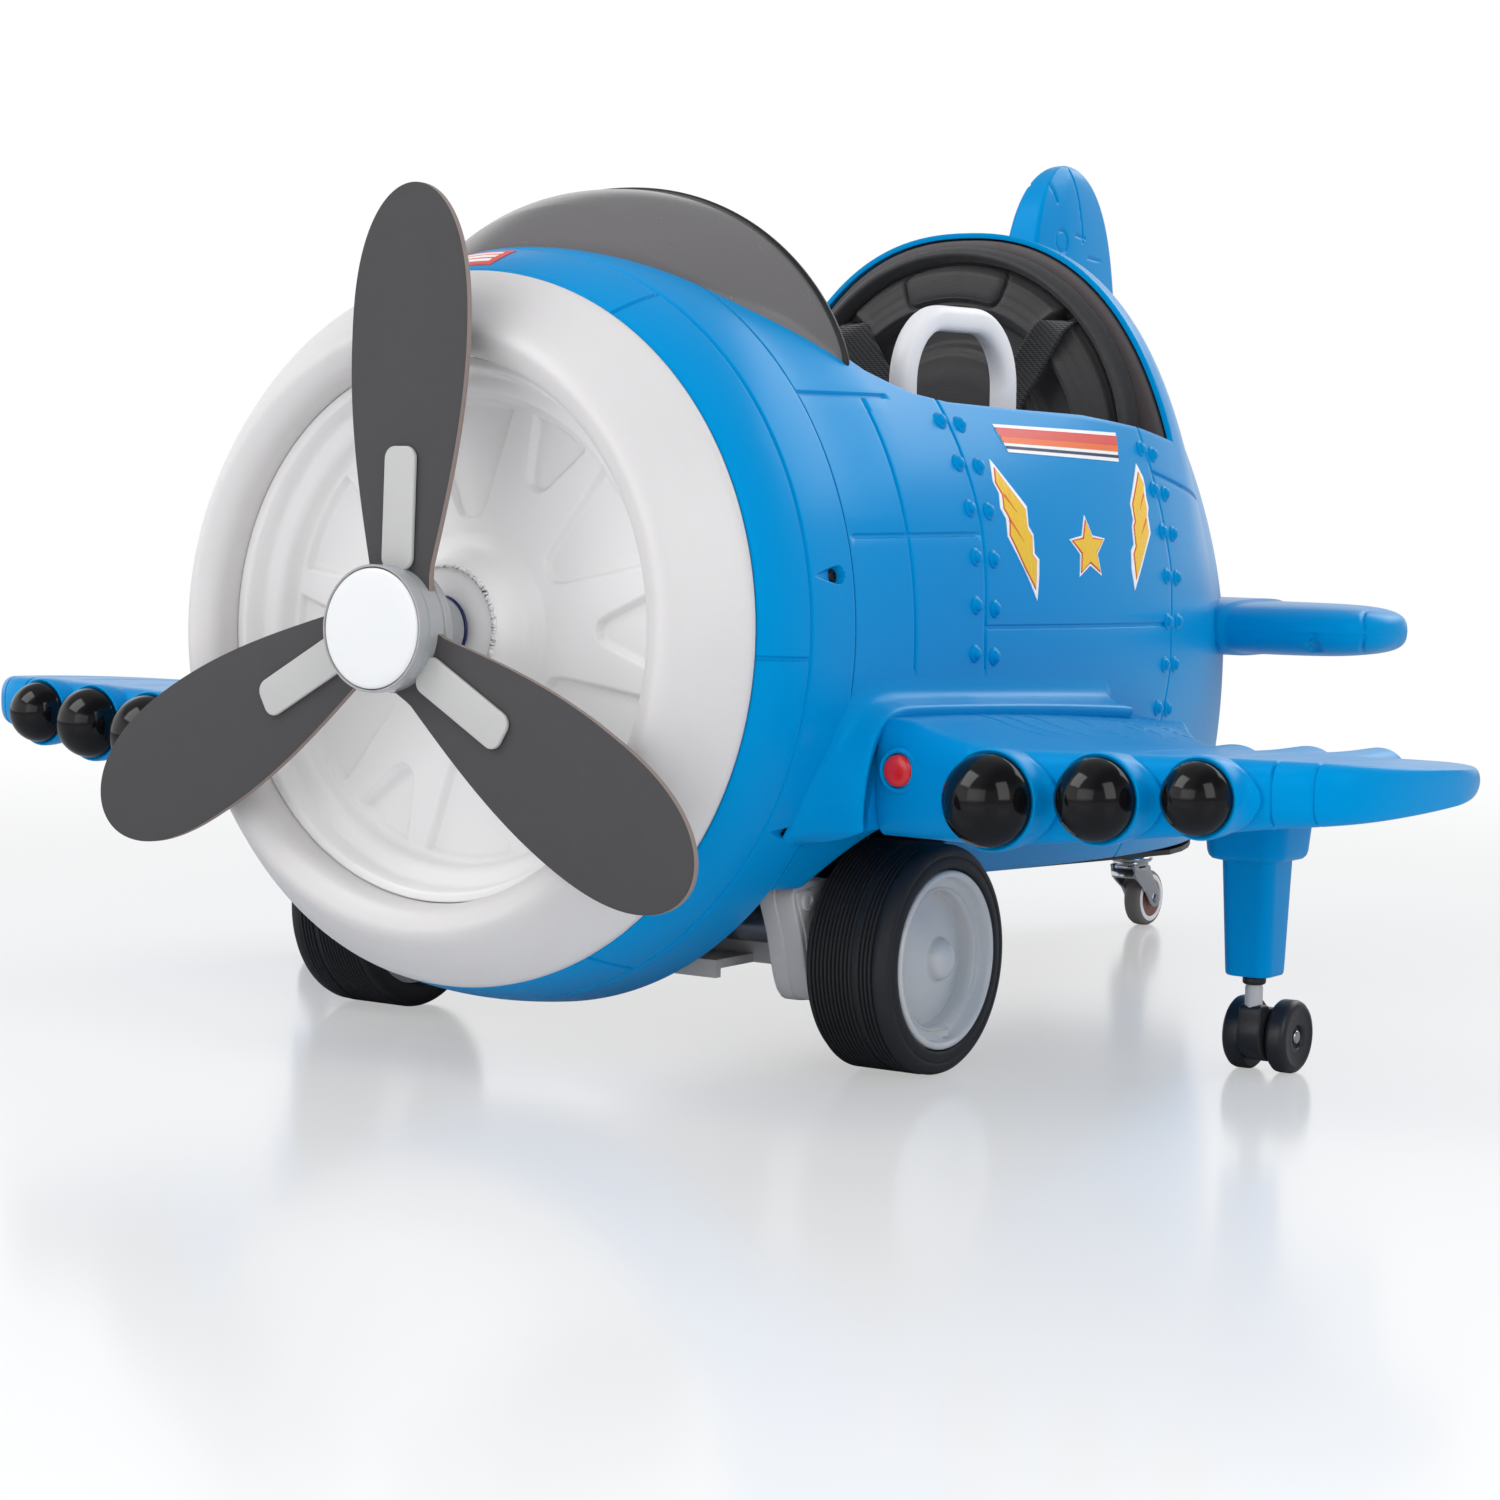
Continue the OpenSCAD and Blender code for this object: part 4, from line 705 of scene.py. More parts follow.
def seam_bend(ys, z):
    """How far a row at station ys leans at height z, so that the rows follow the real seams."""
    lean = (z - AXIS_H + 0.0419 * ys) * math.tan(TILT)
    front = np.interp(z, [239, 293, 361, 441], [-3, -4, 3, 2])
    rear = np.interp(z, [140, 213, 250, 327, 426], [-12, -7, 5, 7, -22])
    w = [np.interp(ys, [90, 150], [1, 0]), np.interp(ys, [175, 255, 400], [0, 1, 0]),
         np.interp(ys, [400, 565, 612], [0, 1, 0])]
    return w[0] * lean + w[1] * front + w[2] * rear


def key_heights(y):
    """Heights of the sill, of the groove lines and of the lower edge at each station."""
    back = np.minimum(y, TAPER_Y)
    shrink = np.where(y > TAPER_Y, rise(y) / rise(float(TAPER_Y)), 1)

    def rest(z):
        return axis_z(y) + (z - axis_z(back)) * shrink

    sill = rest(np.interp(back, SILL[:, 0], SILL[:, 1]))
    high = rest(np.interp(back, [97, 192, 230, 300, 450, 552, 691], [445, 445, 436, 422, 408, 398, 376]))
    middle = rest(np.interp(back, [253, 450, 620, 691], [355, 350, 345, 335]))
    low = rest(np.interp(back, [250, 560, 691], [293, 285, 283]))
    arch = AXLE[1] + np.sqrt(np.maximum(0, ARCH_R ** 2 - (y - AXLE[0]) ** 2))
    belly = axis_z(y) - BELLY_DROP
    return sill, high, middle, low, np.where(np.abs(y - AXLE[0]) < ARCH_R, np.maximum(belly, arch), belly)


def side_grid(stations):
    """One side of the fuselage over the stations, with its seams and horizontal grooves pressed in."""
    table = []
    for k, n in enumerate((9, 10, 10, 26)):
        start = GROOVE[-1] if k else 0
        stop = GROOVE[-1] if k < 3 else 0
        table += [(k, t, start, stop) for t in np.linspace(0, 1, n)]
        if k < 3:
            table += [(k + 1, 0, g, None) for g in (0.8, -0.8)]
    grid = np.zeros((len(stations), len(table), 3))
    depth = np.zeros((len(stations), len(table)))
    for c, (k, t, start, stop) in enumerate(table):
        y = stations.copy()
        for _ in range(3):
            keys = key_heights(y)
            if stop is None:
                z = keys[k] + start
            else:
                a = angle_at(y, keys[k] - start) * (1 - t) + angle_at(y, keys[k + 1] + stop) * t
                z = skin(y, a)[:, 2]
            y = stations + seam_bend(stations, z)
        grid[:, c] = skin(y, angle_at(y, z))
        if stop is None:
            run = sum(np.clip(np.minimum(y - y0, y1 - y) / 2 + 0.5, 0, 1) for y0, y1 in GROOVE_RUNS[k])
            depth[:, c] = run * (UPPER_DEPTH if k == UPPER_GROOVE else 1)
        for seam in SEAMS:
            below_sill = np.clip((445 - z) / 3, 0, 1) if seam == SEAMS[0] else 1
            depth[:, c] = np.maximum(depth[:, c], channel(stations - seam) * below_sill)
    return outward_grid(grid, -GROOVE_DEPTH * depth)


def closed_end(grid):
    """A grid with two rows more, which close the flat end of the tail."""
    return np.concatenate([grid, [grid[-1] * [0.72, 1, 1] + [0, 1.1, 0], grid[-1] * [0, 1, 1] + [0, 1.9, 0]]])


front_rows = np.concatenate([[90.3, 91.5], np.linspace(94, 290, 66), np.linspace(294, 620, 70)])
front_rows = with_marks(front_rows, SEAMS)
rear_rows = np.concatenate([np.linspace(620, 900, 58), np.linspace(903, 943, 16)])
sill_angle = angle_at(rear_rows, key_heights(rear_rows)[0])
sweep = np.linspace(0, 1, 64)
over = sill_angle[:, None] * (1 - sweep) + (math.pi - sill_angle[:, None]) * sweep
hood = closed_end(skin(np.repeat(rear_rows[:, None], len(sweep), 1), over))


def as_part(grid):
    """A grid as points and faces, without the faces over the hole for the wing's spigot."""
    p, faces = sheet_of(grid)
    y, z = p[faces].mean(1)[:, 1:].T
    y0, y1, z0, z1 = SPIGOT_HOLE
    return p, faces[~((y > y0) & (y < y1) & (z > z0) & (z < z1))]


def walled(obj, thickness=WALL, bevel=0.9):
    """Gives a skin its wall, inwards, with softly rounded edges."""
    solid = obj.modifiers.new("wall", "SOLIDIFY")
    solid.thickness = thickness / 1000
    solid.offset = -1
    soft = obj.modifiers.new("rounded edges", "BEVEL")
    soft.width = bevel / 1000
    soft.segments = 2
    soft.limit_method = "ANGLE"
    soft.angle_limit = math.radians(50)
    return obj


halves = (side_grid(front_rows), closed_end(side_grid(rear_rows)))
parts = [mirrored(as_part(half), side) for half in halves for _, side in SIDES] + [as_part(hood)]
shell = walled(make_mesh("fuselage", *join(*parts), blue, "airframe", "fuselage_shell", slot="blue_shell"))
print("fuselage faces:", len(shell.data.polygons))

# %% [markdown]
# The cowl is the ring between the white nose and the fuselage. It swells from a round seam to the
# body's section. Its marks are a groove all round, short cross grooves, and four pockets in the shape
# of a drop, each with a screw at its deep end.

# %% Cowl
SCREW_ANGLES = (10, -29, 170, 209)
SCREW_Y = COWL_LEN - 17
RING_GROOVE = 41.5
CROSS_ANGLES = (-2, 61, 119, 182, -61, -119)
PER_RADIAN = 57.3
POCKET_R, POCKET_LEN = 6, 27


def swell(y):
    """0 at the seam, 1 where the cowl meets the fuselage."""
    return (1 - ((200 - y) / 200) ** 4) / (1 - ((200 - COWL_LEN) / 200) ** 4)


def cowl_point(a, y):
    """A point of the cowl at angle a and distance y, in the frame of the propeller axis."""
    w = SEAM_R + (BODY_HALF - SEAM_R) * (1 - np.maximum(0, 1 - swell(y)) ** 2.2)
    h = SEAM_R + (np.where(np.sin(a) > 0, TOP_RISE, KEEL_DROP) - SEAM_R) * swell(y)
    return np.stack([w * np.cos(a), y + 0 * a, h * np.sin(a)], -1)


rows = with_marks(np.concatenate([[0, 0.5, 1.4], np.linspace(3, 87.5, 58), [88.8, 89.6, 90]]), [RING_GROOVE])
degrees = list(np.arange(0, 360, 0.75))
for s in SCREW_ANGLES:
    degrees += list((s + np.arange(-2.1, 2.15, 0.15)) % 360)
for s in CROSS_ANGLES:
    degrees += [(s + g / 240 * PER_RADIAN) % 360 for g in (-2.2, -1.9, -0.8, 0.8, 1.9, 2.2)]
degrees = np.unique(np.round(degrees, 3))
yy, aa = np.meshgrid(rows, np.radians(degrees), indexing="ij")


def degrees_from(s):
    """How many degrees each point of the cowl lies from the angle s."""
    return (np.degrees(aa) - s + 180) % 360 - 180


cowl = cowl_point(aa, yy)
push = -GROOVE_DEPTH * channel(yy - RING_GROOVE)
for s in CROSS_ANGLES:
    across = degrees_from(s) / PER_RADIAN * 240
    push = np.minimum(push, -GROOVE_DEPTH * channel(across) * (yy < RING_GROOVE))
for s in SCREW_ANGLES:
    across = np.abs(degrees_from(s) / PER_RADIAN * 243)
    ahead = SCREW_Y - yy
    shallow = np.clip(1 - ahead / POCKET_LEN, 0, 1)
    half = np.where(ahead < 0, np.sqrt(np.maximum(0, POCKET_R ** 2 - ahead ** 2)), POCKET_R * shallow ** 0.75)
    floor_depth = np.where(ahead < 0, POCKET_R, POCKET_R * shallow)
    push = np.minimum(push, -floor_depth * ease((half - across) / 1.6))
edge = np.minimum(yy, COWL_LEN - yy)
push = push - 1.0 * np.clip(1 - edge / 1.4, 0, 1) ** 2
normals = grid_normals(cowl)
normals *= np.where(np.sum(normals * cowl, -1, keepdims=True) < 0, -1, 1)
cowl = nose_frame((cowl + normals * push[..., None]).reshape(-1, 3))
cowl_faces = grid_faces(*yy.shape, closed=True)
walled(make_mesh("cowl", cowl, cowl_faces, blue, "airframe", "cowl_ring", slot="blue_shell"), bevel=0.5)
print("cowl faces:", len(cowl_faces))

# %% [markdown]
# Screws sit at the bottom of the pockets. The rivets are moulded with the skin: each is a round washer
# with a domed head, in pairs astride the two seams. They ride on the fuselage as one piece.

# %% Screws and rivets
def at_normal(part, point, normal):
    """A part modelled along +Z, moved so that +Z is the normal at the point."""
    z = np.asarray(normal, float) / np.linalg.norm(normal)
    x = np.cross([0, 0, 1.0], z)
    x /= np.linalg.norm(x)
    return moved(part, np.stack([x, np.cross(z, x), z], 1), point)


head = button([(0, -9), (3, -9), (3, -1), (4.4, -1), (4.9, -0.2), (4.6, 0.8), (3.4, 1.7), (2.4, 1.9),
               (2.0, 0.9), (0, 0.7)])
screws = []
for s in SCREW_ANGLES:
    a = np.radians(float(s))
    p = cowl_point(a, np.float64(SCREW_Y))
    n = np.array([math.cos(a), 0, math.sin(a)])
    screws.append(at_normal(head, nose_frame([p - 5.6 * n])[0], NOSE_TURN @ n))
make_mesh("cowl_screws", *join(*screws), screw_black, "airframe", "body_screws", sharp=40, slot="steel_part")

PAIRS_FRONT = [(247, 271, 430, 428), (248, 274, 402, 400), (246, 271, 372, 370), (243, 267, 340, 338),
               (239, 264, 308, 305), (237, 263, 276, 273), (237, 262, 246, 244)]
PAIRS_REAR = [(537, 560, 415, 411), (548, 572, 385, 382), (556, 580, 354, 352), (559, 583, 321, 319),
              (560, 585, 287, 286), (555, 579, 255, 254), (546, 569, 223, 221)]
rivet = button([(6.6, -1), (6.3, 0.5), (5.4, 1.3), (4.6, 1.5), (4.1, 2.6), (3.1, 3.7), (1.7, 4.4), (0, 4.6)])
places = [(y, z) for y0, y1, z0, z1 in PAIRS_FRONT + PAIRS_REAR for y, z in ((y0, z0), (y1, z1))]
rivets = [at_normal(rivet, *skin_at(y, z, side)) for _, side in SIDES for y, z in places]
make_mesh("rivets", *join(*rivets), blue, "airframe", slot="blue_shell")
print("rivets:", len(rivets))

# %% [markdown]
# The white nose is one broad lip that curls in round the mouth of the cowl. It is turned from a profile,
# with a spline through the points a pattern maker would give, so the highlight runs without a break.

# %% Nose ring
def on_nose(name, part, material, body, replaces=None, **look):
    """A piece modelled about the propeller's axis, brought into the toy's own frame."""
    return make_mesh(name, nose_frame(part[0]), part[1], material, body, replaces, **look)


lip = smooth_line([(231.4, -0.4), (231, -5), (226.5, -12), (221, -19), (215, -27), (209, -34), (203, -41),
                   (198, -45.5), (193, -47.6), (188, -46.6), (181, -43), (177, -38), (176, -31), (176, -18)],
                  6)
back = [(180, -18), (180, -35), (188, -41), (192, -42), (199, -37), (206, -28), (215, -16), (221, -8),
        (226, 0), (226, 8), (229, 8), (229, -0.4)]
ring = turned(np.vstack([lip, back, lip[:1]]), 256)
# The lip's white is painted darker, against the light it catches.
on_nose("nose_lip", ring, white, "airframe", "nose_ring", sharp=50, slot="white_nose")
print("nose lip made from", len(lip), "profile points")

# %% [markdown]
# Behind the propeller lies a dish pressed like a wheel cover: a smooth boss for the shaft, and
# sunken petals with round inner ends that open outwards, long and short in turn, between raised spokes.
# It is a polar height field, because each petal is a rounded wedge whose distance is easy to write.

# %% Nose dish
DISH = 8
PETALS = ((32, 73, 9, 0.36), (2, 104, 6, 0.4))
PETAL_DEPTH, PETAL_WALL = 5, 3
DISH_THICK = 2.5


def petal_distance(x, z, turn, start, half, spread):
    """Distance to a wedge's edge, negative inside, with its inner corners fully rounded."""
    a = math.radians(turn)
    u, v = x * math.cos(a) + z * math.sin(a), np.abs(z * math.cos(a) - x * math.sin(a))
    side = (v - half - spread * (u - start)) / math.hypot(1, spread)
    end = start - u
    r = half + 2
    corner = np.hypot(np.maximum(side + r, 0), np.maximum(end + r, 0))
    return np.minimum(np.maximum(side, end), 0) + corner - r


profile = np.array([(8, -18), (38, -18), (42, -17), (45.5, -13), (48, -6), (51, 1), (56, 5.6), (63, DISH),
                    (147, DISH), (150.5, 7.4), (152.6, 4), (154.2, -2), (157, -5), (161, -6.4), (165, -7.4),
                    (167, -10), (168.4, -18), (170, -21.5), (175.4, -22.2)])
curve = smooth_line(profile[:8], 6)
rims = smooth_line(profile[8:], 5)
steps_r = np.concatenate([curve[:, 0], np.arange(64.5, 147, 1.25), rims[:, 0]])
steps_y = np.interp(steps_r, np.concatenate([curve[:, 0], rims[:, 0]]),
                    np.concatenate([curve[:, 1], rims[:, 1]]))
turns = np.radians(np.arange(0, 360, 0.6))
rr, tt = np.meshgrid(steps_r, turns, indexing="ij")
xx, zz = rr * np.cos(tt), rr * np.sin(tt)
sink = np.zeros_like(rr)
for k in range(6):
    for turn, start, half, spread in PETALS:
        d = petal_distance(xx, zz, turn + 60 * k, start, half, spread)
        sink = np.maximum(sink, PETAL_DEPTH * ease(-d / PETAL_WALL + 0.5))
sink *= ease((148.5 - rr) / 2.5)
yy = np.repeat(steps_y[:, None], len(turns), 1) + sink
dish = np.stack([xx, yy, zz], -1).reshape(-1, 3), grid_faces(*rr.shape, closed=True)
# The dish's white is painted lighter, against the shade in its recess.
dish = on_nose("nose_dish_pressing", dish, dish_white_painted_light, "airframe", "nose_dish", slot="white_nose")
thick = dish.modifiers.new("wall", "SOLIDIFY")
thick.thickness, thick.offset = DISH_THICK / 1000, -1
print("dish faces:", len(dish.data.polygons))

# %% [markdown]
# The hub is a milky moulding whose rim stands round a white cap, with fine lines where its parts meet.
# Three foam blades pass through it, each held between two grey clips. The foam is die-cut, so
# its edge shows the raw, browner inside of the sheet.

# %% Propeller hub and cap
hub_profile = [(5.1, -82), (38.6, -82), (38.6, -88.4), (39.1, -89.2), (39.8, -89.1), (40.3, -88.3),
               (40.3, -80.9), (39.5, -80.3), (39.5, -79.5), (40, -79), (40, -66.2), (39.3, -65.6),
               (39.3, -64.8), (40.7, -64.2), (40.7, -58.8), (39.8, -57.2), (36, -55.8), (26, -55),
               (24.2, -52), (22.8, -42), (21.8, -30), (21.4, -23.4), (5.1, -23.4)]
part = turned(hub_profile + hub_profile[:1], 128)
on_nose("hub_moulding", part, hub_grey, "propeller", "propeller_hub", sharp=35, slot="clear_hub")
cap_profile = [(37.9, -83), (37.9, -88.6), (37.2, -89.4), (35.5, -89.8), (28, -90), (14, -90), (0, -90)]
on_nose("hub_cap_disc", turned(cap_profile, 128), cap_white, "propeller", "hub_cap", sharp=40,
        slot="clear_hub")
# A thin dark ring fills the gap between the hub's rear and the dish's boss: painted shade, standing for the
# shadow in that gap.
a = np.linspace(0, 2 * np.pi, 13)
part = turned(np.stack([21.3 + 1.3 * np.cos(a), -21.6 + 1.3 * np.sin(a)], 1), 96)
on_nose("dark_ring_painted_shadow_gap", part, print_navy, "propeller", slot="black_plastic")
print("hub turned")

# %% [markdown]
# A blade is cut from flat foam, so it is a plate whose two edges are curves either side of a slightly
# leaning middle line. The clips are smaller rounded plates against its front and its back.

# %% Blades and clips
BLADE_R, WIDE_R, ROOT_W, BLADE_W, BLADE_Y, BLADE_T = 280, 182, 50, 94, -69, 5
BLADE_OFF = 6.5
CLIP_W, CLIP_R0, CLIP_R1, CLIP_CORNER = 25, 37, 115, 8
STANDING, FACING_FRONT = [np.array([[1, 0, 0], [0, 0, k], [0, 1, 0]]) for k in (1, -1)]


def blade_edge(r, side):
    """How far to the side a blade's edge lies at radius r."""
    middle = 8 - 1.5 * np.cos(np.radians(90 * np.minimum(1, r / WIDE_R)))
    inner = (ROOT_W + (BLADE_W - ROOT_W) * np.sin(np.radians(90 * (r - 40) / (WIDE_R - 40)))) / 2
    outer = BLADE_W / 2 * falloff((r - WIDE_R) / (BLADE_R - WIDE_R), 2.5, 0.5)
    return middle + side * np.where(r < WIDE_R, inner, outer)


to_tip = np.sin(np.linspace(0, math.pi / 2, 24)[1:])
reach = np.concatenate([np.linspace(41, 240, 40), BLADE_R - 40 * (1 - to_tip)])
root_x = (BLADE_OFF - ROOT_W / 2, BLADE_OFF + ROOT_W / 2)
outline = [(root_x[1], 23), (root_x[1], 36)] + [(blade_edge(r, 1), r) for r in reach]
outline += [(blade_edge(r, -1), r) for r in reach[-2::-1]] + [(root_x[0], 36), (root_x[0], 23)]
blade = moved(plate(np.array(outline, float), BLADE_T, edge=0.7), STANDING, (0, BLADE_Y - BLADE_T / 2, 0))
clip_line = rounded_outline(CLIP_W, CLIP_R1 - CLIP_R0, CLIP_CORNER) + [BLADE_OFF, (CLIP_R1 + CLIP_R0) / 2]
clip = plate(clip_line, 3.4, edge=1.3, n=4)
front_clip = moved(clip, FACING_FRONT, (0, BLADE_Y - BLADE_T / 2 - 0.1, 0))
rear_clip = moved(clip, STANDING, (0, BLADE_Y + BLADE_T / 2 + 0.1, 0))

spins = [about_y(120 * k) for k in range(3)]
part = join(*[moved(blade, s) for s in spins])
blades = on_nose("foam_blades", part, foam, "propeller", "propeller_blades", sharp=60, slot="blade_foam")
blades.data.materials.append(foam_edge)
axis = np.array(NOSE_TURN @ [0, 1, 0])
for polygon in blades.data.polygons:
    polygon.material_index = int(abs(np.dot(axis, polygon.normal)) < 0.6)
part = join(*[moved(c, s) for c in (front_clip, rear_clip) for s in spins])
on_nose("clips", part, clip_grey, "propeller", "blade_clips", sharp=50, slot="grey_plastic")
print("blades and clips:", len(blades.data.polygons), "blade faces")

# %% [markdown]
# Each wing is one blow moulding that pulls out sideways: a thick root, a boxy slab that tapers to a round
# tip, and three nacelles that carry the glossy engine domes and end as low humps at the trailing edge.
# The slab is a loft of closed sections a few millimetres apart. The nacelles are lofts of their own that
# pass through it, which keeps the crisp collar that the real moulding has round each dome.

# %% Wing slab
SOCKET_X, TIP_X, DOME_X0, WING_H = 256, 592, 354, 197
ROOT_X = SOCKET_X + GAP
DOMES = [(354, 29.2), (423, 25.9), (486, 22.6)]
ROOT_GROOVES = (205, 230, 263, 318, 373, 393, 433, 466)
TIP_SEAMS = (524, 549)
SPANS = [256, 276, 300, 330, 354, 423, 486, 520, 549, 580, 592]
HALVES = [38, 37.5, 34, 31.5, 30.4, 27, 23.6, 21, 19.5, 17, 15]
MIDDLES = [203, 203, 200, 198, 197, 201, 205.4, 208, 209.5, 209.5, 209]
COLLAR = 2.8
COLLAR_STEPS = [(3, -6, 0), (0.8, -2.6, 0), (0, -1.2, 0), (0.5, -0.3, 0), (1.8, 0, 0), (5, 0.1, 0.4),
                (8, 0.1, 1.4), (10.5, 0, 3), (12.4, -0.2, 5.4), (14, -0.4, 8.6), (20, -1, 9), (30, -2.4, 6)]
LEG_X, LEG_Y = 413, 325


def tip_cut(x):
    """0 along the slab, rising to 1 at the very tip, where its front and rear edges meet in a round end."""
    return 1 - np.sqrt(1 - np.clip((x - (TIP_X - 62)) / 62, 0, 1) ** 3)


def root_t(x):
    """1 at the wing's root, falling to 0 where the root's flare ends."""
    return np.maximum(0, (ROOT_X + 74 - x) / 74)


def wing_z(x):
    return WING_H + 0.067 * (x - DOME_X0)


def lead_y(x):
    return 88 + 0.14 * (x - DOME_X0) + 26 * root_t(x)


def trail_y(x):
    return 425 - 0.42 * (x - 330) + 70 * root_t(x) ** 1.5


def along_span(x, values):
    """A value of the span table at x, with its corners rounded."""
    return sum(float(np.interp(x + d, SPANS, values)) for d in (-9, -4, 0, 4, 9)) / 5


CHORD = np.unique(np.concatenate([0.11 * np.sin(np.linspace(0, math.pi / 2, 20)) ** 2,
                                  np.linspace(0.11, 0.94, 150),
                                  1 - 0.06 * np.sin(np.linspace(0, math.pi / 2, 12)) ** 2]))


def wing_ring(x):
    """One closed section of the slab: along the top to the trailing edge and back underneath."""
    front, rear, half, cut = float(lead_y(x)), float(trail_y(x)), along_span(x, HALVES), float(tip_cut(x))
    lead, trail = front + 112 * cut, rear - (rear - front - 113) * cut
    y = lead + (trail - lead) * CHORD
    s = (y - front) / (rear - front)
    nose = (1 - np.clip(1 - (y - lead) / 16, 0, 1) ** 2.8) ** (1 / 2.8)
    end = np.clip(1 - np.clip((y - trail + 11) / 11, 0, 1) ** 2, 0, 1) ** 0.5
    upper = half * nose * (1 - 0.68 * s ** 1.6) * end
    lower = half * nose * (1 - 0.62 * s ** 1.2) * end
    press = sum(channel(y - g) for g in ROOT_GROOVES)
    upper = upper - 1.7 * press * float(ease((326 - x) / 10)) * (upper > 4)
    dip = 1.2 * max(0, 1 - min(abs(x - m) for m in TIP_SEAMS) / 1.2)
    upper, lower = upper - dip * (upper > 3), lower - dip * (lower > 3)
    y = y + dip * (y < lead + 6)
    middle = along_span(x, MIDDLES)
    top = np.stack([np.full_like(y, x), y, middle + upper], 1)
    bottom = np.stack([np.full_like(y, x), y, middle - lower], 1)[-2:0:-1]
    return np.vstack([top, bottom])


stations = np.concatenate([np.arange(ROOT_X, TIP_X - 22, 2.0),
                           TIP_X - 22 + 21.98 * np.sin(np.linspace(0, math.pi / 2, 26))])
stations = with_marks(stations, TIP_SEAMS, np.array([-1.3, -0.05, 0.05, 1.3]))
wing = loft([wing_ring(float(x)) for x in stations])
print("wing points:", len(wing[0]))

# %% [markdown]
# A nacelle begins just behind the front of its dome with a thin rolled collar. The collar flares sideways
# into the slab, and a barrel runs back from it, which gets lower until it ends in a rounded hump.

# %% Nacelles
def nacelle(xk, r):
    """A nacelle at xk: a collar round the dome that flares sideways into the slab, then a low barrel."""
    start, stop = 75.4 + 0.14 * (xk - DOME_X0), float(trail_y(xk)) + 2
    a = full_turn(72)
    rings = []

    def ring(y, wide, high):
        x, z = xk + wide * np.cos(a), float(wing_z(xk)) + high * np.sin(a)
        rings.append(np.stack([x, np.full(72, y), z], 1))

    for behind, grow, flare in COLLAR_STEPS:
        ring(start + behind, r + COLLAR + grow + flare * np.cos(a) ** 2, r + COLLAR + grow)
    for t in np.linspace(0.06, 1, 40):
        wide = (r + COLLAR) * (0.93 - 0.2 * t)
        high = (r + COLLAR - 2.4) * (1 - ease(t * 1.1)) + 15 * ease(t * 1.1)
        ring(start + 30 + (stop - 12 - start - 30) * t, wide, high)
    for b in np.linspace(0, math.pi / 2, 9)[1:]:
        size = max(0.02, math.cos(b) ** 0.8)
        ring(stop - 12 + 12 * math.sin(b), wide * size, 15 * size)
    return loft(rings)


nacelles = [nacelle(x, r) for x, r in DOMES]
print("nacelles:", len(nacelles))

# %% [markdown]
# The root also carries the spigot that slides into the body, a round boss for the red button and the
# square pad that the leg is screwed to. The button is a shallow plain cap in a raised ring.

# %% Wing details
SPIGOT_BOX = ((184, 262), (190, 420), (182, 216))
RELEASE = (276, float(lead_y(276.0)) - 4, 209)


def box_plate(xs, ys, zs, radius, edge):
    """A block with rounded corners in the y-z view, from its three spans."""
    line = rounded_outline(ys[1] - ys[0], zs[1] - zs[0], radius, 5)
    p, f = plate(line, xs[1] - xs[0], edge)
    return moved((np.stack([p[:, 2], p[:, 0], p[:, 1]], 1), f), None, (xs[0], sum(ys) / 2, sum(zs) / 2))


boss_ring = [(10.6, 22), (10.6, 3), (11, 1.4), (11.8, 0.4), (12.9, 0), (14, 0.6), (14.7, 2.2), (15.2, 6),
             (16.4, 14), (17.4, 22)]
boss = moved(turned(boss_ring, 72), None, (RELEASE[0], RELEASE[1] + 1.6, RELEASE[2]))
leg_pad = moved(plate(rounded_outline(60, 60, 14), 20, edge=1.2), None, (LEG_X, LEG_Y, 172))
cap_ring = [(0, -0.6), (5, -0.4), (8.2, 0.1), (9.7, 0.9), (10.2, 2.2), (10.2, 12), (0, 12)]
button_cap = moved(turned(cap_ring, 72), None, RELEASE)

whole_wing = join(wing, *nacelles, box_plate(*SPIGOT_BOX, 4, 1), boss, leg_pad)
make_pair("wing_moulding_", whole_wing, blue, "wing_", "wing_", sharp=42, slot="blue_shell")
make_pair("red_button_", button_cap, red, "release_", "release_button_", sharp=50, slot="red_plastic")
domes = []
for x, r in DOMES:
    a = np.linspace(0, math.pi / 2, 24)
    line = np.vstack([np.stack([r * np.sin(a), -r * np.cos(a)], 1), [(r, 2), (r - 1, 2.5)]])
    domes.append(moved(turned(line, 72), None, (x, 75 + 0.14 * (x - DOME_X0), float(wing_z(x)))))
make_pair("glossy_domes_", join(*domes), black_gloss, "wing_", "engine_domes_", slot="black_gloss")
print("wings, buttons and domes made")

# %% [markdown]
# Where the wing plugs in, the fuselage swells into a socket. A rounded lip shelters the joint from the
# front round to the top, and flows back into the barrel. The lip is a strip swept along the socket's
# outline, from its inner edge over the crest and down a hollow curve to the skin.

# %% Socket lips
BODY_START = 90
lip_path = smooth_line([(84, 160), (79, 175), (80, 192), (85, 212), (94, 230), (106, 240.5), (122, 244.5),
                        (150, 245), (250, 241), (340, 236.5), (425, 231), (436, 228)], 10)
tangent = directions(lip_path)
away = np.stack([-tangent[:, 1], tangent[:, 0]], 1)
across = np.array([-9, -8.7, -8, -6, -3.5, -1.5, 0, 1.2, 2.2, 3.4, 5, 7, 9.5, 13, 18, 24])
crest = np.array([0, 0.7, 0.86, 0.93, 0.97, 1, 0.99, 0.93, 0.8, 0.62, 0.42, 0.26, 0.14, 0.06, 0.015, -0.02])
count = len(lip_path)
ends = np.sqrt(np.clip(np.minimum(np.arange(count), count - 1 - np.arange(count)) / 7.0, 0, 1))
strip = []
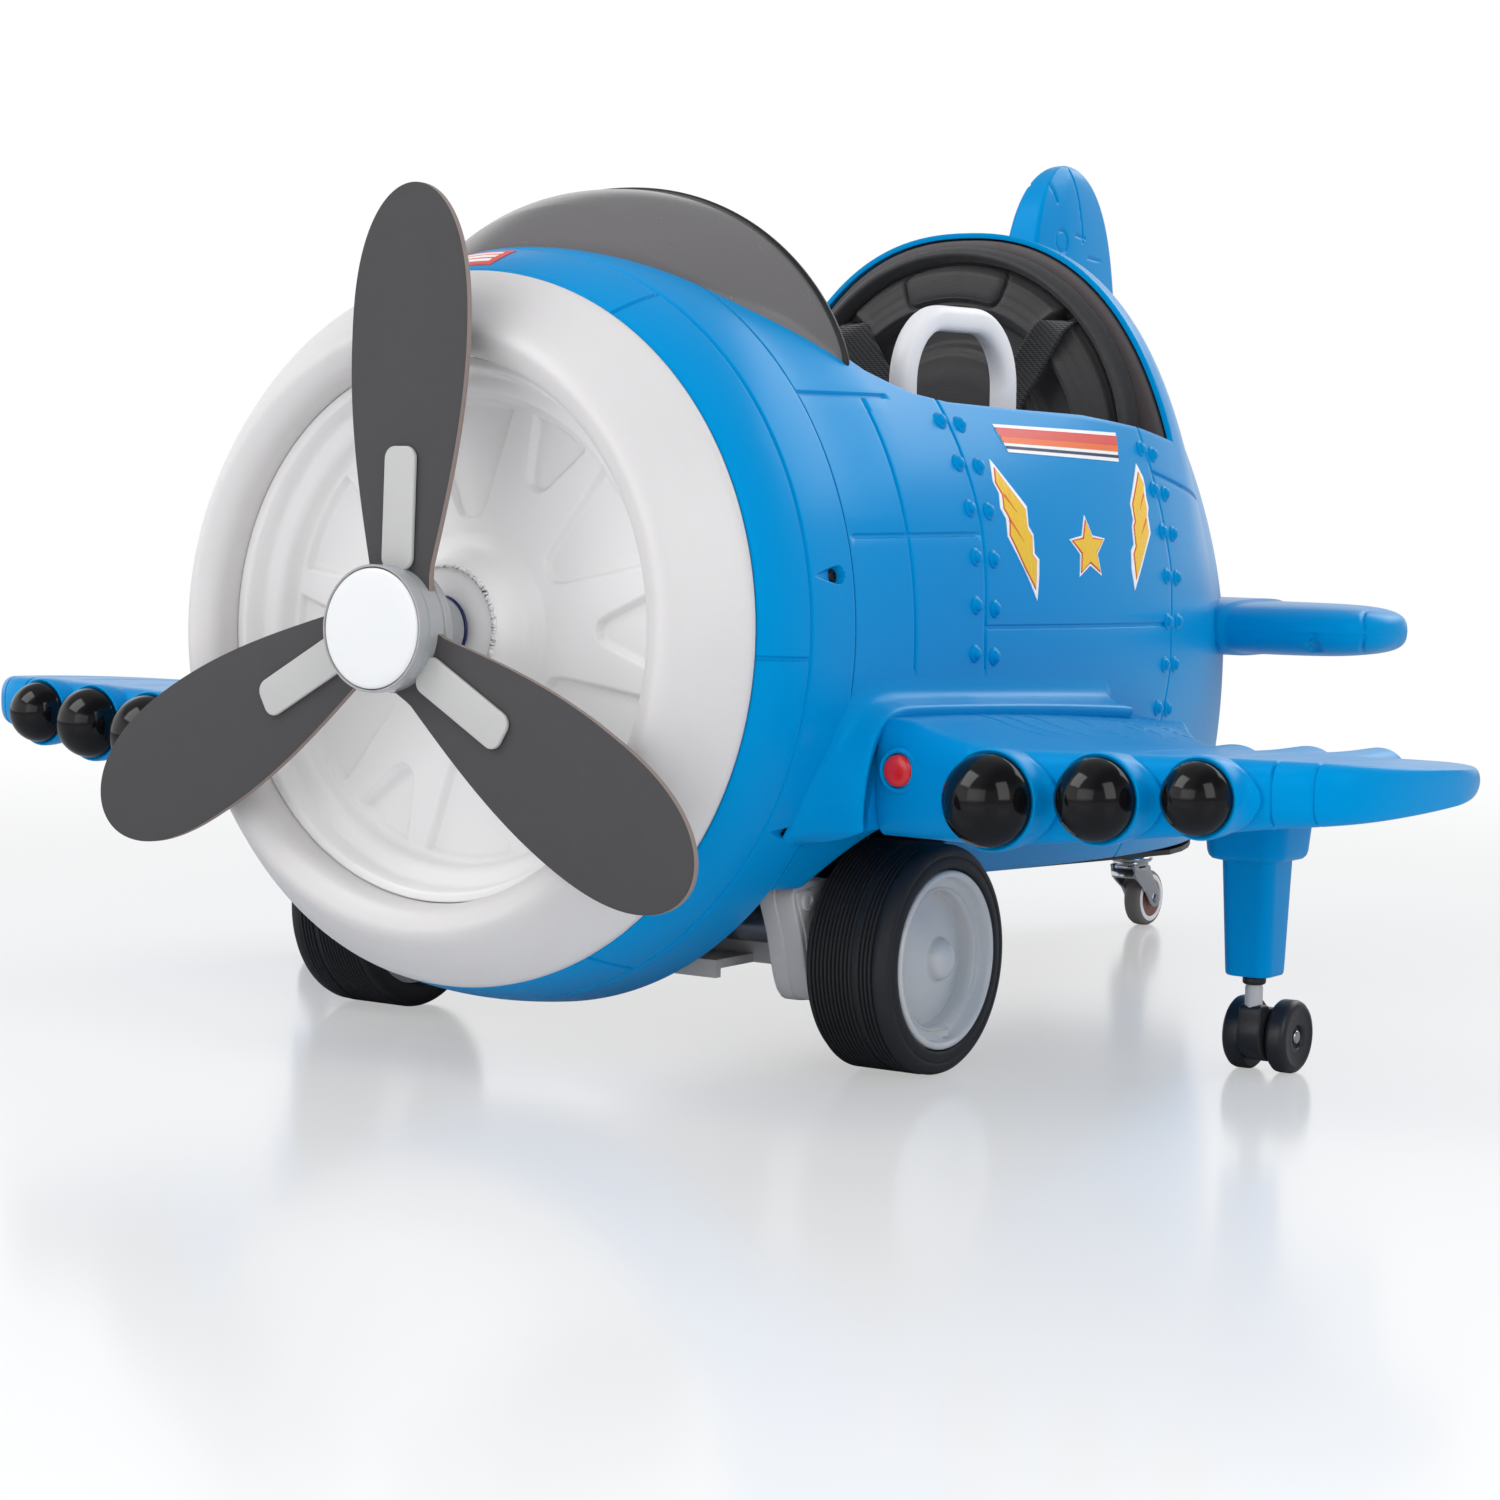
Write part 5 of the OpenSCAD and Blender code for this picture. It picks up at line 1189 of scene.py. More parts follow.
for i, (p, n) in enumerate(zip(lip_path, away)):
    row = []
    for d, h in zip(across, crest):
        y, z = p + n * d * (0.4 + 0.6 * ends[i])
        y = max(y, 62.0)
        on_body = max(y, BODY_START + 0.5)
        base = float(skin(on_body, angle_at(on_body, z))[0])
        if y <= BODY_START:
            base = float(np.interp(y, [60, BODY_START + 0.5], [base - 2.2, base]))
        row.append((base + (SOCKET_X + 4 - base) * h * ends[i] - 0.5 * (h <= 0), y, z))
    strip.append(row)
make_pair("socket_lip_", sheet_of(np.array(strip)), blue, "airframe", slot="blue_shell")
print("socket lips swept")

# %% [markdown]
# A leg is a square column with soft corners under a broad flange. It is lofted from rounded squares:
# a small bead at the foot, a straight draft up the column, then a quick flare into the flange.

# %% Legs
levels = [(67, 14.6, 8), (67.4, 15.8, 8.5), (68.6, 16.5, 8.8), (72, 16.8, 9), (143, 19.3, 9),
          (144, 19.8, 9.3), (144.3, 23, 12), (145, 25.6, 13), (147, 27.6, 14.6), (150, 28.6, 15.2),
          (168, 30.1, 15), (171.2, 30.2, 15), (171.6, 29.4, 14.6)]
rings = []
for z, half, r in levels:
    rings.append(at_level(rounded_outline(2 * half, 2 * half, min(r, half - 0.5)) + [LEG_X, LEG_Y], z))
make_pair("leg_column_", loft(rings), blue, "wing_", "leg_", sharp=60, slot="blue_shell")
print("legs lofted")

# %% [markdown]
# The windscreen is one bubble of smoked plastic that rests on the cowl and rises to a tall rear arch.
# It could be a scaled sphere, but then its foot wouldn't follow the body. So it is the body's own skin,
# lifted by a dome formula, with rows that crowd together at the front where it closes to a point.

# %% Windscreen
SCREEN_Y, RIM_Y, SCREEN_HALF, SCREEN_LIFT = 58, 166, 187, 43

cowl_tops = nose_frame(cowl_point(np.full(40, math.pi / 2), np.linspace(0, COWL_LEN, 40)))
cowl_gap = axis_z(cowl_tops[:, 1]) + TOP_RISE - cowl_tops[:, 2]


def screen_point(y, t, out=0.0):
    """A point of the screen at station y, with t from -1 at one foot over 0 at the top to 1."""
    y, t = np.broadcast_arrays(np.asarray(y, float), np.asarray(t, float))
    edge = SCREEN_HALF * np.maximum(0, (y - SCREEN_Y) / 112) ** (1 / 2.2)
    x = edge * np.sin(t * math.pi / 2)
    a = np.arccos(np.sign(x) * (np.abs(x) / half_w(y)) ** (squareness(y) / 2))
    lift = SCREEN_LIFT * np.sin(np.clip((y - SCREEN_Y) / (RIM_Y - SCREEN_Y), 0, 1) * math.pi / 2) ** 0.9
    lift = lift * falloff(np.abs(np.sin(t * math.pi / 2)), 2, 0.75) + out - 0.8
    lift = lift - np.maximum(0, np.interp(y, cowl_tops[:, 1], cowl_gap, right=0))
    p = skin(y, a)
    return p + np.stack([lift * np.cos(a), 0 * y, lift * np.sin(a)], -1)


screen_rows = SCREEN_Y + 0.6 + (RIM_Y - SCREEN_Y - 0.6) * np.linspace(0, 1, 48) ** 2
arch = np.linspace(-1, 1, 97)
grid = screen_point(screen_rows[:, None], arch[None, :])
screen = make_mesh("windscreen_bubble", *sheet_of(grid), smoke, "airframe", "windscreen", slot="smoke")
walled(screen, 2.6, 0.5)
print("windscreen rows:", len(screen_rows))

# %% [markdown]
# A black rubber bead covers the screen's rear edge, so that the child meets no sharp edge. It is an
# oval section swept along the arch, and its feet run a little way into the sill.

# %% Windscreen rim
sweep = np.linspace(-1, 1, 141)
line = screen_point(np.full(141, RIM_Y + 0.3), sweep)
along = directions(line)
outside = np.stack([-along[:, 2], 0 * along[:, 0], along[:, 0]], 1)
outside *= np.sign(np.sum(outside * (line - [0, RIM_Y, 300]), 1))[:, None]
rings = [[p + n * (-0.6 + 2.7 * math.cos(b)) + np.array([0, 2.4 + 3.2 * math.sin(b), 0])
          for b in full_turn(16)] for p, n in zip(line, outside)]
make_mesh("screen_edge_bead", *loft(rings), black_satin, "airframe", "windscreen_rim", slot="black_plastic")
print("rim swept over", len(line), "stations")

# %% [markdown]
# Behind the child a dark plate closes the hood. A flat flange runs round it just inside the hood's edge,
# and the pads are sewn over its inner border. The plate's outline is the section of the skin, set in.

# %% Seat back plate
BACK_Y, BACK_C, TUB_FLOOR = 628, 412, 130.3


LINER_STEPS = [(5.8, 632), (5.0, 630), (4.9, 623), (5.2, 621.4), (6.2, 620.8), (12, 620.8), (22, 620.8),
               (33, 620.8), (35, 623), (38, 628)]
rings = []
for inset, y in LINER_STEPS:
    x, _, z = skin(BACK_Y, full_turn(192), inset).T
    rings.append(np.column_stack([x, np.full(len(x), y), np.maximum(TUB_FLOOR + 0.01 * inset, z)]))
make_mesh("seat_back_liner", *loft(rings), black_liner, "airframe", "seat_back", sharp=60,
          slot="black_plastic")
print("seat back plate made")

# %% [markdown]
# The padded roll round the backrest is a strip of foam under black leatherette. It stands proud of the
# plate, so its section is an oval, deeper than wide, swept up one side, round the arch and down.

# %% Padded roll
ROLL_R, ROLL_W, ROLL_D, ROLL_Y, ROLL_LOW = 155, 6, 13.2, 614.5, 248


def arch_line(radius, centre, low, n_side=24, n_arc=97):
    """Points and outward normals (x, z) up one side, round the arch and down the other."""
    up = np.linspace(low, centre, n_side)[:-1]
    a = np.linspace(math.pi, 0, n_arc)
    x = np.concatenate([np.full(len(up), -radius), radius * np.cos(a), np.full(len(up), radius)])
    z = np.concatenate([up, centre + radius * np.sin(a), up[::-1]])
    n = np.concatenate([np.tile([-1.0, 0], (len(up), 1)), np.stack([np.cos(a), np.sin(a)], 1),
                        np.tile([1.0, 0], (len(up), 1))])
    return np.stack([x, z], 1), n


middle, normal = arch_line(ROLL_R, BACK_C, ROLL_LOW)
rings = []
for i, ((x, z), (nx, nz)) in enumerate(zip(middle, normal)):
    end = min(i, len(middle) - 1 - i) * 6.6
    size = math.sqrt(max(0.02, 1 - (1 - min(1, end / 9)) ** 2))
    pucker = 1 + 0.012 * math.sin(i * 2.3) + 0.01 * math.sin(i * 0.9 + 1)
    rings.append([(x + nx * ROLL_W * size * pucker * math.cos(b),
                   ROLL_Y + ROLL_D * size * math.sin(b) * pucker,
                   z + nz * ROLL_W * size * pucker * math.cos(b)) for b in full_turn(20)])
roll_obj = make_mesh("padded_roll", *loft(rings), pad, "airframe", "seat_bead", slot="pad")
print("roll length (mm):", round(float(np.sum(np.linalg.norm(np.diff(middle, axis=0), axis=1)))))

# %% [markdown]
# The backrest is a foam moulding: a broad outer band, a roll that turns down from it, a channel and a
# raised arch in the middle. Its height depends only on the distance to the arch's edge, so it is
# a grid of points over that distance, which keeps every channel crisp where a simulation would blur it.

# %% Backrest
PAD_R, PAD_LOW, PAD_Y = 148.5, 232, 627.7
BAND_STEPS = [(0, 8), (3, 17), (8, 22), (18, 23.5), (26, 25), (33, 26.6), (37, 23), (40.5, 15), (43, 12.5),
              (60, 12.5), (63, 13.5), (67, 19.5), (74, 22.5), (92, 24), (400, 25)]
SLOT_X, SLOT_Z = 93, 514
HEAD_HALF, HEAD_R0, HEAD_R1, HEAD_CORNER = 48, 117.5, 146.5, 9
HEAD_MID, HEAD_BEND = (HEAD_R0 + HEAD_R1) / 2, 143


def smooth_steps(d, marks):
    """Height at distance d along a chain of (distance, height) marks, eased between them."""
    marks = np.asarray(marks, float)
    k = np.clip(np.searchsorted(marks[:, 0], d, side="right") - 1, 0, len(marks) - 2)
    t = np.clip((d - marks[k, 0]) / (marks[k + 1, 0] - marks[k, 0]), 0, 1)
    return marks[k, 1] + (marks[k + 1, 1] - marks[k, 1]) * ease(t)


def rounded_box(u, v, hu, hv, r):
    """Signed distance to a rounded rectangle's edge, negative inside."""
    du, dv = np.abs(u) - hu + r, np.abs(v) - hv + r
    return np.minimum(np.maximum(du, dv), 0) + np.hypot(np.maximum(du, 0), np.maximum(dv, 0)) - r


def band_height(x, z, d):
    """Height of the pad at (x, z), d inside its edge, with the headrest's moat and the belt slots."""
    h = smooth_steps(d, BAND_STEPS)
    turn = np.degrees(np.arctan2(x, z - BACK_C))
    r = np.hypot(x, z - BACK_C)
    moat = rounded_box(np.radians(turn) * HEAD_BEND, r - HEAD_MID, HEAD_HALF, (HEAD_R1 - HEAD_R0) / 2,
                       HEAD_CORNER)
    h = h - 5.5 * np.exp(-(moat / 1.5) ** 2) * (z > BACK_C)
    for side in (1, -1):
        u, v = x - side * SLOT_X, z - SLOT_Z
        slot = rounded_box(u * 0.8 + v * 0.6 * side, v * 0.8 - u * 0.6 * side, 19, 4.2, 4)
        h = h - np.maximum(h - 2, 0) * ease(0.5 - slot / 3)
        h = h + 2 * np.exp(-((slot - 3.2) / 2) ** 2) * (d > 4)
    return h


distance = np.unique(np.concatenate([np.linspace(0, 12, 16), np.linspace(12, 48, 42), np.linspace(48, 76, 26),
                                     np.linspace(76, 150, 22), [PAD_R]]))
edge_line, _ = arch_line(PAD_R, BACK_C, PAD_LOW, 40, 260)
spine = np.stack([0 * edge_line[:, 0], np.minimum(edge_line[:, 1], BACK_C)], 1)
share = (distance / PAD_R)[:, None, None]
flat = edge_line[None] * (1 - share) + spine[None] * share
height = band_height(flat[..., 0], flat[..., 1], distance[:, None] + 0 * flat[..., 0])
height = height * ease(np.clip((flat[..., 1] - PAD_LOW + 0.5) / 9, 0, 1)) ** 0.5
grid = np.stack([flat[..., 0], PAD_Y - height, flat[..., 1]], -1)
backrest = make_mesh("backrest_foam", *sheet_of(grid), pad, "airframe", "backrest_pad", slot="pad")
print("backrest points:", grid.shape[0] * grid.shape[1])

# %% [markdown]
# The headrest is a panel of the band, sewn in between two seams. A pillow of rings drawn inward from
# a rounded outline is bent round the arch, a little proud of the band, so that the seam falls in shade.

# %% Headrest
HEAD_STEPS = [(-9, 16), (3, 17), (8, 21.5), (18, 23), (40, 24)]
outline = rounded_outline(2 * HEAD_HALF - 1.6, HEAD_R1 - HEAD_R0 - 1.6, HEAD_CORNER - 0.8, 10)
outline = fine_edge(outline, 2)
rings = []
for inset, lift in ((0, -3), (0.2, -1), (0.8, 0.3), (1.8, 1.2), (3.4, 1.9), (5.6, 2.3), (8, 2.5)):
    across, up = (outline * (1 - inset / np.array([HEAD_HALF, (HEAD_R1 - HEAD_R0) / 2]))).T
    turn, r = across / HEAD_BEND, up + HEAD_MID
    base = smooth_steps(PAD_R - r, HEAD_STEPS)
    rings.append(np.stack([r * np.sin(turn), PAD_Y - base - lift, BACK_C + r * np.cos(turn)], -1))
headrest = make_mesh("headrest_panel", *loft(rings), pad, "airframe", "headrest_pad", slot="pad")
print("headrest outline points:", len(outline))

# %% [markdown]
# The seat cushion is loose foam in a sewn cover, so it is the one pad that cloth simulation suits: a
# slightly small block is remeshed, blown up against its own skin for twenty frames with the base pinned,
# and held to a few millimetres of swelling. Piping is sewn round its upper edge afterwards.

# %% Seat cushion
CUSHION = ((-116, 116), (433, 594), (188.6, 220))
CUSHION_STEPS = [(0, 0.93), (0.06, 0.97), (0.2, 0.99), (0.5, 1), (0.75, 0.985), (0.9, 0.955), (1, 0.9)]
CORNERS = 0.42
PRESSURE, MOST_SWELL, VOXEL, FRAMES = 4.0, 4.0, 5.0, 20


def cushion_block(n=96):
    """The cushion before it is blown up: a block with round corners and a low crown."""
    (x0, x1), (y0, y1), (z0, z1) = CUSHION
    c, s = blunt(np.cos(full_turn(n)), CORNERS), blunt(np.sin(full_turn(n)), CORNERS)
    middle = (y0 + y1) / 2
    rings = []
    for share, draw in CUSHION_STEPS:
        x, y = (x1 - x0) / 2 * draw * c, (y1 - y0) / 2 * draw * s
        rings.append(np.stack([x, y + middle, np.full(n, z0 + (z1 - z0) * share)], -1))
    last = rings[-1]
    for shrink in (0.8, 0.6, 0.4, 0.2, 0.05):
        crown = 5 * (1 - shrink ** 2)
        rings.append(np.stack([last[:, 0] * shrink, (last[:, 1] - middle) * shrink + middle,
                               np.full(n, z1 + crown)], -1))
    return loft(rings)


def puffed(obj, base):
    """Blows a closed pad up by cloth simulation, with all points under the height base held still."""
    remesh = obj.modifiers.new("even mesh", "REMESH")
    remesh.mode = "VOXEL"
    remesh.voxel_size = VOXEL / 1000
    view = bpy.context.evaluated_depsgraph_get()
    obj.data = bpy.data.meshes.new_from_object(obj.evaluated_get(view))
    obj.modifiers.clear()
    before = np.array([v.co[:] for v in obj.data.vertices])
    held = obj.vertex_groups.new(name="held")
    held.add([i for i, p in enumerate(before) if p[2] < base / 1000], 1.0, "REPLACE")
    cloth = obj.modifiers.new("cover", "CLOTH")
    cloth.settings.vertex_group_mass = "held"
    cloth.settings.use_pressure = True
    cloth.settings.uniform_pressure_force = PRESSURE
    cloth.settings.effector_weights.gravity = 0
    cloth.point_cache.frame_start, cloth.point_cache.frame_end = 1, FRAMES
    for number in range(1, FRAMES + 1):
        scene.frame_set(number)
    view = bpy.context.evaluated_depsgraph_get()
    swollen = bpy.data.meshes.new_from_object(obj.evaluated_get(view))
    after = np.array([v.co[:] for v in swollen.vertices])
    obj.modifiers.clear()
    scene.frame_set(1)
    step = after - before
    reach = np.linalg.norm(step, axis=1, keepdims=True) + 1e-12
    after = before + step * np.minimum(1, MOST_SWELL / 1000 / reach)
    obj.data.vertices.foreach_set("co", after.ravel())
    obj.data.polygons.foreach_set("use_smooth", [True] * len(obj.data.polygons))
    obj.data.update()
    smoother = obj.modifiers.new("finer", "SUBSURF")
    smoother.levels = smoother.render_levels = 1
    return float(np.minimum(reach, MOST_SWELL / 1000).mean() * 1000)


cushion = make_mesh("seat_cushion_cover", *cushion_block(), pad, "airframe", "seat_cushion", slot="pad")
print("cushion swelled by (mm, mean):", round(puffed(cushion, CUSHION[2][0] + 5), 2))
a = full_turn(160)
piping = np.stack([112 * blunt(np.cos(a), CORNERS), 513.5 + 77.5 * blunt(np.sin(a), CORNERS),
                   np.full(160, 219.5)], -1)
make_mesh("cushion_piping", *ring_tube(piping, 2.0, 8), pad, "airframe", slot="pad")
print("cushion and piping ready")

# %% [markdown]
# The belt is woven strap, 27 mm wide, that comes out of a slot each side of the head and runs taut to the
# buckle. A flat strap is modelled directly: its width is swept along the route, so it keeps its
# cut length, and a raised selvedge runs along both its edges.

# %% Belt
BELT_W, BELT_T = 27, 1.4
belt_route = smooth_line([(SLOT_X + 3, 622, SLOT_Z - 1), (SLOT_X + 1, 610, SLOT_Z - 1),
                          (SLOT_X - 1, 601.5, SLOT_Z - 4), (SLOT_X - 7, 598.6, SLOT_Z - 13), (71, 598.6, 478),
                          (53, 598.6, 445), (46, 598, 375), (44, 597, 290), (43, 592, 254), (41, 582, 240.5),
                          (39, 562, 238), (37.5, 532, 237)], 7)
facing = smooth_line([(0.1, 0.3, 1.0), (0.1, 0, 1.0), (0.1, -0.7, 0.7), (0, -1, 0.1), (0, -1, 0), (0, -1, 0),
                      (0, -1, 0), (0, -1, 0.1), (0, -0.9, 0.4), (0, -0.25, 0.95), (0, 0, 1), (0, 0, 1)], 7)
rings = []
for p, t, n in zip(belt_route, directions(belt_route), facing):
    n = n - t * (n @ t)
    n /= np.linalg.norm(n)
    w = np.cross(t, n)
    half, thick = BELT_W / 2, BELT_T / 2
    section = [(-half, 0), (-half + 0.3, thick * 1.1), (-half + 2.2, thick * 1.1), (-half + 3, thick * 0.75),
               (half - 3, thick * 0.75), (half - 2.2, thick * 1.1), (half - 0.3, thick * 1.1), (half, 0)]
    section += [(u, -v) for u, v in section[-2:0:-1]]
    rings.append([p + w * u + n * v for u, v in section])
strap = loft(rings)
for name, side in SIDES:
    replaced = "belt_webbing" if side > 0 else None
    belt = make_mesh("belt_strap_" + name, *mirrored(strap, side), webbing, "airframe", replaced,
                     slot="webbing")

# %% [markdown]
# The buckle lies where the straps meet on the cushion: a black shell with a red press button let into its
# top. A rounded plate and a smaller one on it give its stepped edge.

# %% Buckle
BUCKLE_Y = 544
buckle_shell = [moved(plate(rounded_outline(46, 40, 8), 11.6, edge=3.2, n=5), None, (0, BUCKLE_Y, 230.2))]
buckle_shell += [moved(plate(rounded_outline(20, 34, 3, 5), 4, edge=0.8), None, (s * 31, BUCKLE_Y, 235))
                 for s in (1, -1)]
make_mesh("buckle_shell", *join(*buckle_shell), black_satin, "airframe", "belt_buckle", sharp=50,
          slot="black_plastic")
press_button = moved(plate(rounded_outline(24, 16, 4), 3.4, edge=1.2, n=4), None, (0, 537, 239.6))
make_mesh("buckle_button", *press_button, red, "airframe", sharp=50, slot="red_plastic")
print("buckle ready")

# %% [markdown]
# Each lever is a grey moulded loop on a flat stem that tilts in the tub. The loop's section is
# a squared circle, because the real one has soft flat faces, so the highlight stays broad along it.

# %% Lever handles
LEVER_X, LEVER_Y, PIVOT_Z, LOOP_TOP, LOOP_R, BEND_R = 150, 354, 330, 512, 9, 46
LOOP_MID, LOOP_LOW, LOOP_WIDE = LEVER_Y + 7, 388, 154
EYE, WEB_T = 15, 18
SOFT_SQUARE = 0.78
UPRIGHT = np.array([[0, 0, 1], [1, 0, 0], [0, 1, 0]])
reach = LOOP_WIDE / 2 - LOOP_R
start_y, stop_y, bend_z = LOOP_MID - reach, LOOP_MID + reach, LOOP_TOP - LOOP_R - BEND_R
turns = np.linspace(0, math.pi / 2, 15)
line = [(start_y, z) for z in np.linspace(LOOP_LOW + 2, bend_z - 4, 9)]
line += [(start_y + BEND_R * (1 - math.cos(a)), bend_z + BEND_R * math.sin(a)) for a in turns]
line += [(2 * LOOP_MID - y, z) for y, z in line[::-1]]
section = [(blunt(math.cos(b), SOFT_SQUARE), blunt(math.sin(b), SOFT_SQUARE)) for b in full_turn(28)]
line = np.array(line)
rings = [[(LOOP_R * u, y - LOOP_R * v * t[1], z + LOOP_R * v * t[0]) for u, v in section]
         for (y, z), t in zip(line, directions(line))]
web = [(start_y - LOOP_R, LOOP_LOW), (start_y - LOOP_R, LOOP_LOW + 12), (stop_y + LOOP_R, LOOP_LOW + 12),
       (stop_y + LOOP_R, LOOP_LOW), (stop_y - 6, LOOP_LOW - 10), (LEVER_Y + EYE, PIVOT_Z + 14)]
web += [(LEVER_Y + EYE * math.cos(a), PIVOT_Z - EYE * math.sin(a)) for a in np.linspace(0, math.pi, 17)]
web += [(LEVER_Y - EYE, PIVOT_Z + 14), (start_y + 6, LOOP_LOW - 10)]
web_plate = moved(plate(np.array(web)[::-1], WEB_T, edge=1.5), UPRIGHT, (LEVER_X - WEB_T / 2, 0, 0))
lever = join(moved(loft(rings), None, (LEVER_X, 0, 0)), web_plate)
make_pair("lever_handle_", lever, handle_grey, "lever_", "lever_", sharp=50, slot="grey_plastic")
print("levers ready")

# %% [markdown]
# The tyres are hard hollow plastic with fine ribs running round them, a plain shoulder outside and a
# shallow step down to the disc. They are turned, and each rib is one small tooth of the profile.

# %% Tyres
AXLE_X, TYRE_R, DISC_R = 224, 76.5, 59.5
RIBS = [-26.5 + 3.05 * k for k in range(16) if k != 11]


def about_axle(part, centre=(0, 0, 0)):
    """A part turned about +Y and moved so that +Y points to +X at the centre."""
    return moved(part, np.array([[0, 1, 0], [-1, 0, 0], [0, 0, 1]]), centre)


tread = []
for x in RIBS:
    tread += [(TYRE_R - 1.9, x - 1.15), (TYRE_R - 0.5, x - 0.7), (TYRE_R, x - 0.35), (TYRE_R, x + 0.35),
              (TYRE_R - 0.5, x + 0.7), (TYRE_R - 1.9, x + 1.15)]
shoulder = [(TYRE_R - 0.3, 22), (TYRE_R - 0.4, 26), (TYRE_R - 1.3, 28.6), (TYRE_R - 3, 30.4),
            (TYRE_R - 5.4, 31.3), (TYRE_R - 7.5, 31.5), (TYRE_R - 8.4, 30.9), (TYRE_R - 9.2, 31.5),
            (DISC_R + 3.2, 31.9), (DISC_R + 1.4, 31.6), (DISC_R + 0.5, 30.2), (DISC_R + 0.5, 20)]
inner = [(DISC_R + 0.5, -20), (DISC_R + 0.5, -31), (DISC_R + 2, -32), (TYRE_R - 7, -31.8),
         (TYRE_R - 3, -30.6), (TYRE_R - 1.9, -28.4)]
ring = inner + tread + shoulder
tyre = about_axle(turned(ring + ring[:1], 192), (AXLE_X, AXLE[0], TYRE_R))
make_pair("ribbed_tyre_", tyre, tyre_black, "drive_wheel_", "tyre_", sharp=50, slot="tyre_rubber")
print("tyre profile points:", len(ring))

# %% [markdown]
# The disc is a grey moulding that clips into the tyre: a lip, a flat step, a raised edge, then a cone
# that falls to a domed cap over the axle. A small tab at the foot of the step marks where it was gated.

# %% Wheel discs
disc_line = smooth_line([(44.2, 14.5), (40, 16.1), (32, 19.4), (24, 22.4), (18, 24.3), (15.4, 25.2)], 4)
disc_ring = [(6.05, -30), (20, -30), (20, 1), (44, 3), (53, 4), (53, -26), (59.3, -26), (59.3, 30.6),
             (58.7, 32), (57.4, 32.7), (55.8, 32.5), (54.6, 31.5), (54.1, 29.6), (53.4, 25.4), (52.6, 24.2),
             (49.8, 23.4), (47.9, 23.6), (47.2, 24.6), (46.5, 25.1), (45.7, 24.4), (45.2, 20), (44.8, 16)]
dome = [(14.7, 24.6), (13.9, 25.4), (13.5, 27.2), (12.6, 29.3), (10.8, 31.4), (8.2, 33.1), (4.6, 34.1),
        (0, 34.4)]
profile = np.vstack([disc_ring, disc_line, dome])
points, faces = turned(profile, 160)
turn = np.arctan2(points[:, 2], points[:, 0])
radius = np.hypot(points[:, 0], points[:, 2])
tab = bump((np.degrees(turn) + 100) / 6) * (np.abs(radius - 50) < 3.2) * (points[:, 1] > 20)
points[:, 1] += 4.2 * tab
disc = about_axle((points, faces), (AXLE_X, AXLE[0], TYRE_R))
make_pair("dished_disc_", disc, disc_grey, "drive_wheel_", "wheel_disc_", sharp=45, slot="clear_hub")
print("wheel discs turned")

# %% [markdown]
# The grey gearbox housings hold the motors against the wheels. They are mouldings with soft edges,
# closed by a rim seam, four screw bosses and a round boss for the axle.

# %% Gearbox housings
GEAR_LINE = np.array([(116, 120.5), (130, 128.5), (168, 126.5), (212, 116.5), (222, 96.5), (220, 58.5),
                      (206, 46.5), (156, 45.5), (142, 50.5), (134, 64.5), (126, 92.5)])
gear_line = smooth_line(GEAR_LINE, 3, closed=True)
cover = [plate(gear_line, 13.4, edge=1.6, n=4), plate(inward(gear_line, 0.9), 27.2, edge=1.6, n=4),
         plate(inward(gear_line, 5), 28.4, edge=0.8)]
boss = button([(7, 20), (7, 29.2), (6.2, 30.4), (3.6, 30.6), (3.2, 28.6), (0, 28.4)], 32)
bosses = [moved(boss, None, (y, z, 0)) for y, z in ((132, 116), (207, 104), (208, 60), (150, 62))]
hub_boss = button([(24, 20), (24, 30), (22, 32.7), (9, 32.9), (7, 31.5), (0, 31.5)], 64)
hub_boss = moved(hub_boss, None, (AXLE[0], TYRE_R, 0))
housing = moved(join(*cover, *bosses, hub_boss), UPRIGHT, (156, 0, 0))
make_pair("gear_housing_", housing, bracket_grey, "airframe", "gearbox_", sharp=40, slot="grey_plastic")
print("gearbox housings made")

# %% [markdown]
# A twin caster turns under each wing: a black body with a grey stem in a black neck, and two black wheels.
# Each wheel has a rounded shoulder, a flat face and a plated screw head in its middle.

# %% Wing casters
TWIN_TRAIL, TWIN_R, TWIN_OFF = 22, 24.5, 9.2
LEG_FOOT = (LEG_X, LEG_Y, 0)
body_line = smooth_line([(-7, 35), (-8, 27), (-4.5, 17), (3, 10.6), (14, 7.4), (26, 8.6), (34, 15),
                         (37, 24.5), (35, 34), (28, 40.8), (18, 43.6), (9, 44.4), (6, 46.4), (-5.5, 46.4)], 4,
                        closed=True)
caster_plate = moved(plate(body_line, 16, edge=1.8, n=4), UPRIGHT, (LEG_X - 8, LEG_Y, 0))
stem = button([(4.4, 24), (5.8, 25), (5.9, 40), (5.9, 58.6), (5.3, 60.4), (5, 61), (5, 66.5), (4.5, 67),
               (4.5, 108), (3.8, 109), (0, 109)], 40)
neck = button([(5.2, 60.6), (6.6, 60.8), (7.6, 61.6), (7.8, 63), (7.8, 65.6), (7, 66.4), (5, 66.6)], 40)
twin_ring = [(3, 0), (TWIN_R - 1.5, 0), (TWIN_R - 0.2, 1.4), (TWIN_R, 3), (TWIN_R, 9.8), (TWIN_R - 0.7, 11.8),
             (TWIN_R - 2.4, 13.4), (TWIN_R - 4.6, 13.9), (TWIN_R - 5.4, 13.8), (TWIN_R - 6, 13.4), (12, 13.2),
             (8.6, 13.1), (7.8, 12.4), (7.4, 11), (4.4, 10.8)]
screw_head = [(4.6, 10.8), (4.6, 12), (4, 12.9), (2.6, 13.3), (1.2, 13.1), (0, 13)]
rod = about_axle(turned([(0, -10), (3, -10), (3, 10), (0, 10)], 32))
wheels, heads = [], [moved(rod, None, (LEG_X, LEG_Y + TWIN_TRAIL, TWIN_R))]
